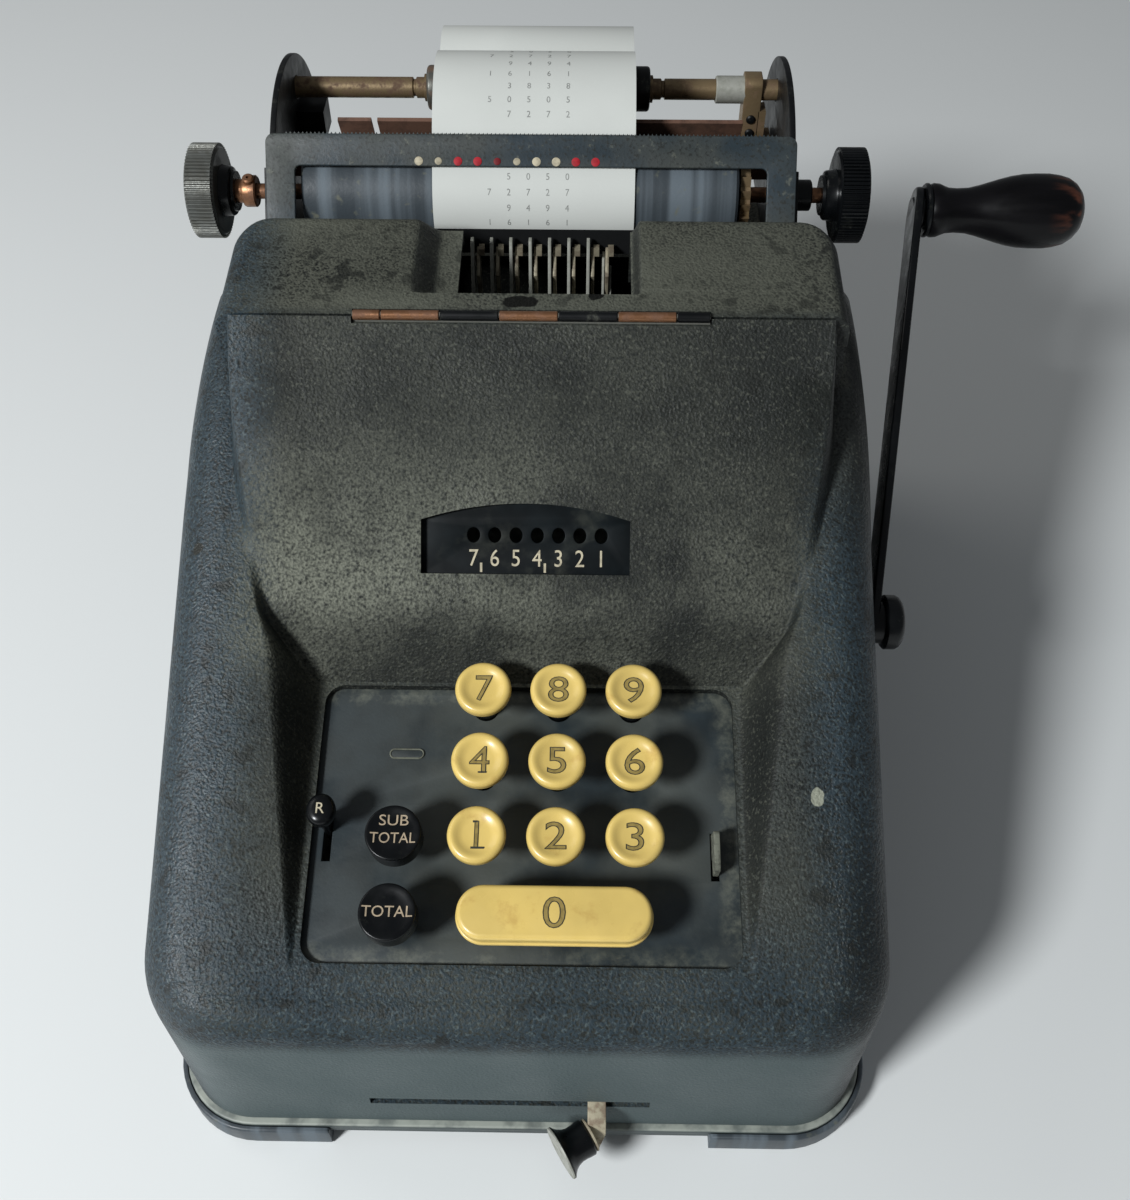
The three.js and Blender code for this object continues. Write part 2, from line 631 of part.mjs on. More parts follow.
function keyboardPanel() {
  const run = PANEL_RUN / Math.cos(KEY_SLOPE);
  const half = PANEL_HALF + PANEL_MARGIN;
  const x0 = UPPER_CENTRE_X - half;
  const sheet = roundedRectangle(x0, x0 + 2 * half, -1.5, run + GAP, PANEL_CORNER);
  for (const [x, along] of stemPlaces()) {
    const hole = new THREE.Path();
    hole.absarc(x, along, STEM_RADIUS + GAP, 0, 2 * Math.PI, true);
    sheet.holes.push(hole);
  }
  for (const lever of [REPEAT_LEVER, TAB_LEVER]) {
    const width = 1.5;
    const y0 = lever.along - lever.slot / 2;
    const slot = [[-width, y0], [-width, y0 + lever.slot], [width, y0 + lever.slot], [width, y0]];
    sheet.holes.push(polygon(slot.map(([x, y]) => [x + lever.x, y])));
  }
  return onKeyboard(slab(sheet, -PANEL_SHEET, 0, 4), 0, 0, 0);
}

// A round key: dished cap with a raised rim, on its stem
function roundKey(radius) {
  const bottom = KEY_HEIGHT - CAP_HEIGHT;
  const cap = turned(
    [
      [0, bottom],
      [radius - 0.9, bottom],
      [radius, bottom + 1.2],
      [radius, KEY_HEIGHT - 1.2],
      [radius - 1, KEY_HEIGHT],
      [radius - 1.8, KEY_HEIGHT - 0.2],
      [radius * 0.45, KEY_HEIGHT - CAP_DISH],
      [0, KEY_HEIGHT - CAP_DISH],
    ],
    14,
  );
  const stem = turned(
    [
      [0, -STEM_BELOW_PANEL],
      [STEM_RADIUS, -STEM_BELOW_PANEL],
      [STEM_RADIUS, bottom + 0.5],
      [0, bottom + 0.5],
    ],
    8,
  );
  return join(cap, stem);
}

// The long bar for nought, with a stepped lower edge and two stems
function zeroBar() {
  const bottom = KEY_HEIGHT - CAP_HEIGHT;
  const oblong = (margin) => {
    const reach = ZERO_BAR_LENGTH / 2 + margin;
    const radius = ZERO_BAR_RADIUS + margin;
    return roundedRectangle(-reach, reach, -radius, radius, radius - 0.01);
  };
  const skirt = slab(oblong(0.5), bottom, bottom + 2, 4);
  const top = slab(oblong(-0.4), bottom + 1, KEY_HEIGHT, 4);
  const crown = slab(oblong(0), bottom + 1, KEY_HEIGHT - 0.8, 4);
  const stems = [-1, 1].map((hand) => {
    const stem = [[0, -STEM_BELOW_PANEL], [STEM_RADIUS, -STEM_BELOW_PANEL], [STEM_RADIUS, bottom + 1], [0, bottom + 1]];
    return turned(stem, 8).translate(hand * ZERO_STEM_OFFSET, 0, 0);
  });
  return join(skirt, crown, top, ...stems);
}

// A lever that stands up through its slot; its foot hangs below the panel
function slotLever(lever, top, width) {
  const outline = polygon([
    [-width / 2, -9],
    [width / 2, -9],
    [width / 2, 0],
    [width / 2 - 0.6, top - 1.2],
    [width / 2 - 1.8, top],
    [-width / 2 + 1.2, top],
    [-width / 2, top - 3],
  ]);
  return onKeyboard(sidePlate(outline, -0.7, 0.7), lever.x, lever.along + lever.travel / 2, 0);
}

const REPEAT_KNOB_FOOT = 8;

function repeatKnob() {
  const button = turned([[0, 0], [2.3, 0], [3.3, 1.6], [3.4, 4.2], [2.6, 5.2], [0, 5.4]], 16);
  return onKeyboard(button.scale(0.9, 1.1, 1), REPEAT_LEVER.x, REPEAT_LEVER.along + REPEAT_LEVER.travel / 2, REPEAT_KNOB_FOOT + GAP);
}

// Window plate behind its opening, with a row of column holes
function windowPlate() {
  const plate = slab(windowShape(1.6), -WINDOW_SHEET, 0, 7);
  const holes = [];
  for (let i = 0; i < TYPE_COLUMNS; i++) {
    const hole = new THREE.CylinderGeometry(COLUMN_HOLE_RADIUS, COLUMN_HOLE_RADIUS, 6, 10);
    hole.rotateX(Math.PI / 2).scale(0.92, 1.12, 1);
    holes.push(hole.translate(COLUMN_RIGHT_X - WINDOW_X - i * TYPE_PITCH, COLUMN_HOLE_UP, 0));
  }
  return onWindow(cut(plate, ...holes), WALL + 2 * GAP);
}

// Base pan with an upstand that locates the casing
const PAN_TOP_Z = CASING_FOOT_Z - GAP;
const PAN_BOTTOM_Z = PAN_TOP_Z - PAN_SHEET;

function bodyOutline(margin) {
  return roundedRectangle(
    -BODY_HALF - margin,
    BODY_HALF + margin,
    -margin,
    BODY_DEPTH + margin,
    CORNER_RADIUS + margin,
    REAR_CORNER_RADIUS + margin,
  );
}

function basePan() {
  const rim = bodyOutline(-WALL - 2 * GAP);
  rim.holes.push(bodyOutline(-2 * WALL - 2 * GAP));
  return join(
    slab(bodyOutline(PAN_FLANGE), PAN_BOTTOM_Z, PAN_TOP_Z, 5),
    slab(rim, PAN_TOP_Z - 1, PAN_TOP_Z + PAN_RIM_HEIGHT, 3),
  );
}

// Rubber foot gripping one corner of the pan
function foot(hand, rear) {
  const outer = slab(bodyOutline(PAN_FLANGE + FOOT_OVERHANG), 0, FOOT_HEIGHT + FOOT_LIP, 5);
  const inner = slab(bodyOutline(PAN_FLANGE + FOOT_OVERHANG - FOOT_WIDTH), -1, FOOT_HEIGHT + FOOT_LIP + 1, 5);
  const pan = slab(bodyOutline(PAN_FLANGE + GAP), FOOT_HEIGHT, FOOT_HEIGHT + FOOT_LIP + 1, 5);
  const far = BODY_HALF + 20;
  const edge = BODY_HALF + PAN_FLANGE + FOOT_OVERHANG - FOOT_ARM;
  const beside = hand > 0 ? block(-far, edge, -far, 2 * BODY_DEPTH, -1, 20) : block(-edge, far, -far, 2 * BODY_DEPTH, -1, 20);
  const frontEdge = FOOT_ARM - PAN_FLANGE - FOOT_OVERHANG;
  const along = rear
    ? block(-far, far, -far, BODY_DEPTH - frontEdge, -1, 20)
    : block(-far, far, frontEdge, 2 * BODY_DEPTH, -1, 20);
  return cut(outer, inner, pan, beside, along);
}

// Side frames stand on the pan and carry the crank shaft, the rail and the ribbon shelves
function sideFrame(hand) {
  const plate = polygon([
    [18, CASING_FOOT_Z],
    [18, 52],
    [96, 100],
    [SPOOL_Y - 23, SPOOL_Z - 8],
    [SPOOL_Y - 14, SPOOL_Z - GAP],
    [HOOD_END_Y, SPOOL_Z - GAP],
    [HOOD_END_Y + 4, SPOOL_Z - 4],
    [TYPE_BAR_BACK_Y, SPOOL_Z - 4],
    [TYPE_BAR_BACK_Y + 4, REAR_DECK_Z - 3],
    [CARRIAGE_SILL_Y - 3, REAR_DECK_Z - 12],
    [BODY_DEPTH - 8, REAR_DECK_Z - 12],
    [BODY_DEPTH - 8, CASING_FOOT_Z],
  ]);
  for (const [y, z, radius] of [
    [CRANK_Y, CRANK_Z, CRANK_SHAFT_RADIUS + GAP],
    [RAIL_Y, RAIL_Z, RAIL_RADIUS + GAP],
    [150, 80, 14],
    [225, 70, 14],
  ]) {
    const hole = new THREE.Path();
    hole.absarc(y, z, radius, 0, 2 * Math.PI, true);
    plate.holes.push(hole);
  }
  const shelf = block(SPOOL_X - 8, FRAME_X + 1, SPOOL_Y - 10, SPOOL_Y + 10, SPOOL_Z - GAP - 1.5, SPOOL_Z - GAP);
  const post = new THREE.CylinderGeometry(SPOOL_POST_RADIUS, SPOOL_POST_RADIUS, SPOOL_HEIGHT + 1, 10);
  post.rotateX(Math.PI / 2).translate(SPOOL_X, SPOOL_Y, SPOOL_Z - 1 + (SPOOL_HEIGHT - 1) / 2);
  const frame = join(sidePlate(plate, FRAME_X, FRAME_X + FRAME_SHEET, 7), shelf, post);
  return hand > 0 ? frame : solidMirror(frame);
}

function solidMirror(geometry) {
  return geometryOf(solidOf(geometry.clone().scale(-1, 1, 1)));
}

function ribbonSpool(hand) {
  const spool = turned(
    [
      [SPOOL_POST_RADIUS + GAP, 0],
      [SPOOL_RADIUS, 0],
      [SPOOL_RADIUS, SPOOL_FLANGE],
      [SPOOL_CORE_RADIUS + 4, SPOOL_FLANGE],
      [SPOOL_CORE_RADIUS + 4, SPOOL_HEIGHT - SPOOL_FLANGE],
      [SPOOL_RADIUS, SPOOL_HEIGHT - SPOOL_FLANGE],
      [SPOOL_RADIUS, SPOOL_HEIGHT],
      [SPOOL_POST_RADIUS + GAP, SPOOL_HEIGHT],
      [SPOOL_POST_RADIUS + GAP, 0],
    ],
    18,
  );
  return spool.translate(hand * SPOOL_X, SPOOL_Y, SPOOL_Z);
}

// Type bars slide between the fins of the comb
function typeBar(x) {
  const front = TYPE_BAR_BACK_Y - TYPE_BAR_DEPTH;
  const bar = polygon([
    [front, TYPE_BAR_FOOT_Z],
    [TYPE_BAR_BACK_Y, TYPE_BAR_FOOT_Z],
    [TYPE_BAR_BACK_Y, TYPE_BAR_TOP_Z - 9],
    [TYPE_BAR_BACK_Y + 0.2, TYPE_BAR_TOP_Z - 8],
    [TYPE_BAR_BACK_Y + 0.2, TYPE_BAR_TOP_Z],
    [front + 1.4, TYPE_BAR_TOP_Z - 1.5],
    [front - 1.5, TYPE_BAR_TOP_Z - 6],
    [front, TYPE_BAR_TOP_Z - 10],
  ]);
  return sidePlate(bar, x - TYPE_BAR_WIDTH / 2, x + TYPE_BAR_WIDTH / 2);
}

function typeGuideComb() {
  const barFront = TYPE_BAR_BACK_Y + GAP;
  const finFront = barFront - COMB_DEPTH;
  const fin = polygon([
    [finFront + 3, COMB_BAR_Z],
    [barFront + 1, COMB_BAR_Z],
    [barFront + 1, COMB_TOP_Z - 12],
    [barFront - 0.6, COMB_TOP_Z],
    [barFront - 2.6, COMB_TOP_Z],
    [finFront, COMB_TOP_Z - 18],
  ]);
  const bar = block(-FRAME_X + GAP, FRAME_X - GAP, barFront, barFront + COMB_BAR_DEPTH, COMB_BAR_Z, COMB_BAR_Z + COMB_BAR_HEIGHT);
  const fins = [];
  for (let i = 0; i <= TYPE_COLUMNS; i++) {
    const x = TYPE_LEFT_X - COMB_OFFSET + i * TYPE_PITCH;
    fins.push(sidePlate(fin, x - COMB_FIN / 2, x + COMB_FIN / 2));
  }
  return join(bar, ...fins);
}

// Pin carriage on its rail, moved by the lever in the front wall
const PIN_BOX_X = LEVER_X - 10;

function pinCarriage() {
  const x0 = PIN_BOX_X - PIN_BOX_WIDTH / 2;
  const y0 = RAIL_Y - PIN_BOX_DEPTH / 2;
  const z0 = RAIL_Z - PIN_BOX_HEIGHT / 2;
  const box = block(x0, x0 + PIN_BOX_WIDTH, y0, y0 + PIN_BOX_DEPTH, z0, z0 + PIN_BOX_HEIGHT);
  const bore = rodAlongX(RAIL_RADIUS + GAP, x0 - 1, x0 + PIN_BOX_WIDTH + 1, RAIL_Y, RAIL_Z);
  const pins = [];
  for (let column = 0; column < PIN_COLUMNS; column++) {
    for (const y of [RAIL_Y - 10, RAIL_Y + 10]) {
      const pin = new THREE.CylinderGeometry(PIN_RADIUS, PIN_RADIUS, PIN_HEIGHT, 5);
      pin.rotateX(Math.PI / 2);
      pins.push(pin.translate(x0 + 4 + column * 4, y, z0 + PIN_BOX_HEIGHT + PIN_HEIGHT / 2 - 1));
    }
  }
  return cut(join(box, ...pins), bore);
}

function clearLever() {
  const inner = RAIL_Y - PIN_BOX_DEPTH / 2 - GAP;
  const z = LEVER_SLOT_Z - LEVER_SHEET / 2;
  const strip = polygon([
    [inner, z],
    [inner, z + 9],
    [inner - LEVER_SHEET, z + 9],
    [inner - LEVER_SHEET, z + LEVER_SHEET],
    [-3.4, z + LEVER_SHEET],
    [-9, z - 6],
    [-8, z - 7.2],
    [-2.8, z],
  ]);
  return sidePlate(strip, LEVER_X - LEVER_WIDTH / 2, LEVER_X + LEVER_WIDTH / 2);
}

const LEVER_KNOB_AXIS = new THREE.Vector3(-0.87, -0.45, -0.2).normalize();

function clearKnob() {
  const tip = LEVER_KNOB_LENGTH;
  const trumpet = turned(
    [
      [0, 0],
      [2.9, 0],
      [2.5, tip * 0.25],
      [2.8, tip * 0.5],
      [4, tip * 0.74],
      [LEVER_KNOB_RADIUS, tip - 0.9],
      [LEVER_KNOB_RADIUS, tip - 0.2],
      [LEVER_KNOB_RADIUS - 1.4, tip],
      [0, tip],
    ],
    14,
  );
  const turn = new THREE.Quaternion().setFromUnitVectors(new THREE.Vector3(0, 0, 1), LEVER_KNOB_AXIS);
  trumpet.applyQuaternion(turn);
  return trumpet.translate(LEVER_X - LEVER_WIDTH / 2 - 1.8, -6.4, LEVER_SLOT_Z - 2.6);
}

// Carriage end plate with its half-round ear
const PLATE_INNER = CARRIAGE_HALF;
const TEAR_DIRECTION = new THREE.Vector2(Math.cos(TEAR_SLOPE), Math.sin(TEAR_SLOPE));
const TEAR_NORMAL = new THREE.Vector2(-Math.sin(TEAR_SLOPE), Math.cos(TEAR_SLOPE));
const TAPE_RADIUS = PLATEN_RADIUS + GAP + PAPER_SHEET / 2;

// A point in (y, z) at a distance along the tear bar and out from the platen's axis
function tearPoint(along, out) {
  const y = PLATEN_Y + TEAR_DIRECTION.x * along + TEAR_NORMAL.x * out;
  const z = PLATEN_Z + TEAR_DIRECTION.y * along + TEAR_NORMAL.y * out;
  return [y, z];
}

function carriageEnd(hand) {
  const shape = new THREE.Shape();
  const base = REAR_DECK_Z + 2 * GAP;
  const reach = Math.asin((EAR_Z - base) / EAR_RADIUS);
  const [legTopY, legTopZ] = tearPoint(4, TAPE_RADIUS - 1);
  const [legFootY, legFootZ] = tearPoint(-11, TAPE_RADIUS - 1);
  shape.moveTo(EAR_Y - EAR_RADIUS * Math.cos(reach), base);
  shape.lineTo(EAR_Y + EAR_RADIUS * Math.cos(reach), base);
  shape.absarc(EAR_Y, EAR_Z, EAR_RADIUS, -reach, THREE.MathUtils.degToRad(140));
  shape.lineTo(legTopY, legTopZ);
  shape.lineTo(legFootY, legFootZ);
  shape.lineTo(legFootY, EAR_Z + 2);
  for (const [y, z, radius] of [
    [PLATEN_Y, PLATEN_Z, PLATEN_SHAFT_RADIUS + GAP],
    [ROLL_Y, ROLL_Z, SPINDLE_RADIUS + GAP],
  ]) {
    const hole = new THREE.Path();
    hole.absarc(y, z, radius, 0, 2 * Math.PI, true);
    shape.holes.push(hole);
  }
  const inner = CARRIAGE_X + hand * PLATE_INNER;
  const outer = inner + hand * FRAME_SHEET;
  return sidePlate(shape, Math.min(inner, outer), Math.max(inner, outer), 9);
}

// Tear bar: a window frame over the platen with a toothed upper edge
function tearBar() {
  const half = CARRIAGE_HALF - GAP;
  const top = TEAR_BAR_HEIGHT / 2;
  const foot = top - TEAR_BAR_LEG;
  const window = half - TEAR_LEG_WIDTH;
  const points = [
    [-half, foot],
    [-window, foot],
    [-window, -top + 1.2],
    [-window + 1.2, -top],
    [window - 1.2, -top],
    [window, -top + 1.2],
    [window, foot],
    [half, foot],
    [half, top - 2.5],
    [half - 2.5, top],
  ];
  const teeth = Math.floor((2 * half - 12) / TEAR_TOOTH);
  const start = (teeth * TEAR_TOOTH) / 2;
  for (let i = 0; i <= teeth; i++) {
    points.push([start - i * TEAR_TOOTH, top]);
    if (i < teeth) points.push([start - (i + 0.5) * TEAR_TOOTH, top - TEAR_TOOTH_DEPTH]);
  }
  points.push([-half + 2.5, top], [-half, top - 2.5]);
  const bar = slab(polygon(points), 0, TEAR_SHEET);
  const [y, z] = tearPoint(TEAR_ABOVE_PLATEN - top, TAPE_RADIUS + PAPER_SHEET / 2 + GAP);
  return bar.rotateX(TEAR_SLOPE).translate(CARRIAGE_X, y, z);
}

function platen() {
  const core = [
    [PLATEN_SHAFT_RADIUS + GAP, 0],
    [PLATEN_RADIUS - 0.6, 0],
    [PLATEN_RADIUS, 0.6],
    [PLATEN_RADIUS, PLATEN_RIGHT_X - PLATEN_LEFT_X - 0.6],
    [PLATEN_RADIUS - 0.6, PLATEN_RIGHT_X - PLATEN_LEFT_X],
    [PLATEN_SHAFT_RADIUS + GAP, PLATEN_RIGHT_X - PLATEN_LEFT_X],
    [PLATEN_SHAFT_RADIUS + GAP, 0],
  ];
  return turnedAlongX(core, PLATEN_LEFT_X, PLATEN_Y, PLATEN_Z, 1, 24);
}

function platenShaft() {
  const rod = rodAlongX(PLATEN_SHAFT_RADIUS, KNOB_LEFT_X - 1, KNOB_RIGHT_X + 1, PLATEN_Y, PLATEN_Z);
  const teeth = [];
  for (let i = 0; i < RATCHET_TEETH; i++) {
    const angle = (i / RATCHET_TEETH) * 2 * Math.PI;
    const next = ((i + 0.8) / RATCHET_TEETH) * 2 * Math.PI;
    teeth.push([PLATEN_Y + RATCHET_RADIUS * Math.cos(angle), PLATEN_Z + RATCHET_RADIUS * Math.sin(angle)]);
    const root = RATCHET_RADIUS - 1.6;
    teeth.push([PLATEN_Y + root * Math.cos(next), PLATEN_Z + root * Math.sin(next)]);
  }
  const wheelX = PLATEN_RIGHT_X + 3 * GAP;
  const wheel = sidePlate(polygon(teeth), wheelX, wheelX + RATCHET_SHEET);
  const collarX = CARRIAGE_X - CARRIAGE_HALF - FRAME_SHEET - 5.5;
  const collar = rodAlongX(COLLAR_RADIUS, collarX - COLLAR_LENGTH, collarX, PLATEN_Y, PLATEN_Z, 18);
  return join(rod, wheel, collar);
}

// Platen knob: fluted rim on a conical hub that faces the carriage
function platenKnob(hand, x) {
  const points = [];
  for (let i = 0; i < 2 * KNOB_FLUTES; i++) {
    const angle = (i / (2 * KNOB_FLUTES)) * 2 * Math.PI;
    const radius = KNOB_RADIUS - (i % 2) * KNOB_FLUTE_DEPTH;
    points.push([radius * Math.cos(angle), radius * Math.sin(angle)]);
  }
  const rim = slab(polygon(points), -KNOB_RIM / 2 + 0.8, KNOB_RIM / 2 - 0.8);
  const body = turned(
    [
      [0, KNOB_RIM / 2],
      [KNOB_RADIUS - 1.6, KNOB_RIM / 2],
      [KNOB_RADIUS - 0.6, KNOB_RIM / 2 - 0.9],
      [KNOB_RADIUS - 0.6, -KNOB_RIM / 2 + 0.9],
      [KNOB_RADIUS - 1.6, -KNOB_RIM / 2],
      [7.4, -KNOB_RIM / 2],
      [5.6, -KNOB_RIM / 2 - 4],
      [0, -KNOB_RIM / 2 - 4],
    ],
    14,
  );
  const bore = turned([[0, -20], [PLATEN_SHAFT_RADIUS + GAP, -20], [PLATEN_SHAFT_RADIUS + GAP, 1 + GAP], [0, 1 + GAP]], 12);
  const knob = cut(join(rim, body), bore);
  return knob.rotateY((hand * Math.PI) / 2).translate(x, PLATEN_Y, PLATEN_Z);
}

// Paper tape: off the roll, under and round the platen, up past the tear bar and over
function paperTape() {
  const path = new THREE.Path();
  const rollOut = ROLL_RADIUS + GAP + PAPER_SHEET / 2;
  const distance = Math.hypot(ROLL_Y - PLATEN_Y, ROLL_Z - PLATEN_Z);
  const lean = Math.atan2(ROLL_Z - PLATEN_Z, ROLL_Y - PLATEN_Y);
  const tangent = lean - Math.PI / 2 + Math.asin((rollOut - TAPE_RADIUS) / distance) * -1;
  path.moveTo(ROLL_Y + rollOut * Math.cos(tangent), ROLL_Z + rollOut * Math.sin(tangent));
  path.lineTo(PLATEN_Y + TAPE_RADIUS * Math.cos(tangent), PLATEN_Z + TAPE_RADIUS * Math.sin(tangent));
  path.absarc(PLATEN_Y, PLATEN_Z, TAPE_RADIUS, tangent, TEAR_SLOPE + Math.PI / 2, true);
  const [tearY, tearZ] = tearPoint(TEAR_ABOVE_PLATEN - 1, TAPE_RADIUS);
  path.lineTo(tearY, tearZ);
  const [pullY, pullZ] = tearPoint(TEAR_ABOVE_PLATEN + 10, TAPE_RADIUS);
  const restY = ROLL_Y - 10;
  const restZ = ROLL_Z + Math.sqrt((ROLL_RADIUS + 1.6) ** 2 - 100);
  path.bezierCurveTo(pullY, pullZ, restY - 13, restZ + 8, restY, restZ);
  const line = path.getPoints(10);
  const clean = line.filter((p, i) => i === 0 || p.distanceTo(line[i - 1]) > 0.05);
  const offset = (side) =>
    clean.map((p, i) => {
      const before = clean[Math.max(0, i - 1)];
      const after = clean[Math.min(clean.length - 1, i + 1)];
      const run = after.clone().sub(before).normalize();
      return [p.x - (run.y * side * PAPER_SHEET) / 2, p.y + (run.x * side * PAPER_SHEET) / 2];
    });
  const strip = polygon([...offset(1), ...offset(-1).reverse()]);
  return sidePlate(strip, PAPER_X - PAPER_WIDTH / 2, PAPER_X + PAPER_WIDTH / 2);
}

function paperRoll() {
  const profile = [
    [ROLL_CORE_RADIUS, 0],
    [ROLL_RADIUS, 0],
    [ROLL_RADIUS, PAPER_WIDTH],
    [ROLL_CORE_RADIUS, PAPER_WIDTH],
    [ROLL_CORE_RADIUS, 0],
  ];
  return turnedAlongX(profile, PAPER_X - PAPER_WIDTH / 2, ROLL_Y, ROLL_Z, 1, 28);
}

// Spindle: boss in the roll's core, flange beside the roll, groove, then the rod out to the ear
function rollSpindle(hand) {
  const face = PAPER_WIDTH / 2 + 1.5 * GAP;
  const ear = CARRIAGE_HALF + FRAME_SHEET + 2.2;
  const end = ear + (hand > 0 ? CARRIAGE_X - PAPER_X : PAPER_X - CARRIAGE_X);
  const groove = face + FLANGE_WIDTH + 3.4;
  const profile = [
    [0, face - SPINDLE_BOSS],
    [SPINDLE_BOSS_RADIUS - 1, face - SPINDLE_BOSS],
    [SPINDLE_BOSS_RADIUS, face - SPINDLE_BOSS + 1.5],
    [SPINDLE_BOSS_RADIUS, face],
    [FLANGE_RADIUS - 0.5, face],
    [FLANGE_RADIUS, face + 0.5],
    [FLANGE_RADIUS, face + FLANGE_WIDTH - 0.8],
    [FLANGE_RADIUS - 0.8, face + FLANGE_WIDTH],
    [SPINDLE_RADIUS, face + FLANGE_WIDTH],
    [SPINDLE_RADIUS, groove],
    [SPINDLE_RADIUS - 0.6, groove + 0.3],
    [SPINDLE_RADIUS - 0.6, groove + 0.9],
    [SPINDLE_RADIUS, groove + 1.2],
    [SPINDLE_RADIUS, end - 0.6],
    [SPINDLE_RADIUS - 0.6, end],
    [0, end],
  ];
  return turnedAlongX(profile, PAPER_X, ROLL_Y, ROLL_Z, hand, 12);
}

// Bracket inside the right-hand ear, with the bush that the sprung spindle slides in
function spindleBracket() {
  const ear = CARRIAGE_X + CARRIAGE_HALF - GAP;
  const post = ear - 4.4;
  const bush = post - BRACKET_WIDTH;
  const half = 4;
  const bore = rodAlongX(SPINDLE_RADIUS + GAP, bush - BUSH_LENGTH - 1, post + 1, ROLL_Y, ROLL_Z);
  return cut(
    join(
      block(post - BRACKET_WIDTH, post, ROLL_Y - half, ROLL_Y + half, ROLL_Z - 17.5, ROLL_Z + half + 0.8),
      block(post - 1, ear, ROLL_Y - half, ROLL_Y + half, ROLL_Z - 17.5, ROLL_Z - 14.5),
      block(post - 0.5, ear - 2.6, ROLL_Y - half, ROLL_Y + half - 2, ROLL_Z - 17.5, ROLL_Z - 5),
      rodAlongX(BUSH_RADIUS, bush - BUSH_LENGTH, bush + 1, ROLL_Y, ROLL_Z, 16),
    ),
    bore,
  );
}

// Sheet behind the platen that leads the paper up, notched near its left end
function paperGuidePlate() {
  const back = PLATEN_Y + PLATEN_RADIUS;
  const foot = PLATEN_Z - 5;
  const flange = block(
    CARRIAGE_X - CARRIAGE_HALF + GAP,
    CARRIAGE_X + CARRIAGE_HALF - GAP,
    back + 1.6,
    back + 2.8,
    foot,
    foot + GUIDE_FLANGE,
  );
  const leaf = polygon([
    [back + 1.6, foot + GUIDE_FLANGE - 2],
    [back + 2.8, foot + GUIDE_FLANGE - 2],
    [back + 2.8, foot + GUIDE_FLANGE + 1],
    [back - 2.6, foot + 23],
    [back - 3.6, foot + 22.4],
    [back + 1.6, foot + GUIDE_FLANGE + 1],
  ]);
  const notch = block(CARRIAGE_X - 49.4, CARRIAGE_X - 47.8, back - 6, back + 6, foot + GUIDE_FLANGE + 4, foot + 30);
  return cut(join(flange, sidePlate(leaf, CARRIAGE_X - 60, CARRIAGE_X + 61)), notch);
}

// Crank: shaft with its cam, leaning arm with the grip's stud, and the turned grip
const HUB_X = BODY_HALF + 1.6;

function crankShaft() {
  const shaft = rodAlongX(CRANK_SHAFT_RADIUS, -FRAME_X - FRAME_SHEET - 2, HUB_X + CRANK_HUB_WIDTH - 2.4, CRANK_Y, CRANK_Z, 16);
  const cam = new THREE.Shape();
  cam.absarc(CRANK_Y, CRANK_Z, 9, 0.9, 2 * Math.PI - 0.9);
  cam.lineTo(CRANK_Y + 17, CRANK_Z - 3);
  cam.lineTo(CRANK_Y + 17, CRANK_Z + 3);
  return join(shaft, sidePlate(cam, 44, 48, 7), sidePlate(cam, -48, -44, 7));
}

function alongCrank(geometry) {
  return geometry.rotateX(CRANK_ANGLE).translate(0, CRANK_Y, CRANK_Z);
}

function crankArm() {
  const bar = new THREE.Shape();
  bar.absarc(0, 0, CRANK_HUB_RADIUS - 0.6, Math.PI / 2, (3 * Math.PI) / 2);
  bar.absarc(CRANK_LENGTH, 0, CRANK_EYE_RADIUS, -Math.PI / 2, Math.PI / 2);
  const flat = sidePlate(bar, -CRANK_SHEET / 2, CRANK_SHEET / 2, 7);
  const lean = new THREE.Matrix4().makeShear(0, 0, CRANK_LEAN / CRANK_LENGTH, 0, 0, 0);
  flat.applyMatrix4(lean);
  const hub = rodAlongX(CRANK_HUB_RADIUS, HUB_X, HUB_X + CRANK_HUB_WIDTH, 0, 0, 18);
  const eyeX = HUB_X + CRANK_HUB_WIDTH / 2 + CRANK_LEAN;
  const stud = rodAlongX(STUD_RADIUS, eyeX, eyeX + GRIP_LENGTH - 5, CRANK_LENGTH, 0, 10);
  const arm = join(flat.translate(HUB_X + CRANK_HUB_WIDTH / 2, 0, 0), hub, stud);
  const bore = rodAlongX(CRANK_SHAFT_RADIUS + GAP, HUB_X - 6, HUB_X + CRANK_HUB_WIDTH - 2.4 + GAP, 0, 0, 16);
  return alongCrank(cut(arm, bore));
}

function crankGrip() {
  const bore = STUD_RADIUS + GAP;
  const eyeLean = (CRANK_EYE_RADIUS * CRANK_LEAN) / CRANK_LENGTH;
  const start = HUB_X + CRANK_HUB_WIDTH / 2 + CRANK_LEAN + CRANK_SHEET / 2 + eyeLean + GAP;
  const depth = GRIP_LENGTH - 5 - CRANK_SHEET / 2;
  const profile = [
    [bore, 0],
    [FERRULE_RADIUS, 0],
    [FERRULE_RADIUS, FERRULE_WIDTH],
    [GRIP_NECK_RADIUS + 0.5, FERRULE_WIDTH + 0.4],
    [GRIP_NECK_RADIUS, 8],
    [GRIP_NECK_RADIUS + 0.7, 13],
    [GRIP_NECK_RADIUS + 2.3, 19],
    [GRIP_RADIUS - 0.4, 27],
    [GRIP_RADIUS, 32],
    [GRIP_RADIUS - 0.8, 37],
    [GRIP_RADIUS - 3.2, 41.5],
    [GRIP_RADIUS - 6.8, GRIP_LENGTH - 0.6],
    [0, GRIP_LENGTH],
    [0, depth],
    [bore, depth],
    [bore, 0],
  ];
  return alongCrank(turnedAlongX(profile, start, CRANK_LENGTH, 0, 1, 16));
}

// Assembly: each piece is one named mesh
const machine = new THREE.Group();
machine.name = "adding_machine";

function add(name, geometry, finish) {
  const mesh = new THREE.Mesh(geometry, finish);
  mesh.name = name;
  machine.add(mesh);
  return mesh;
}

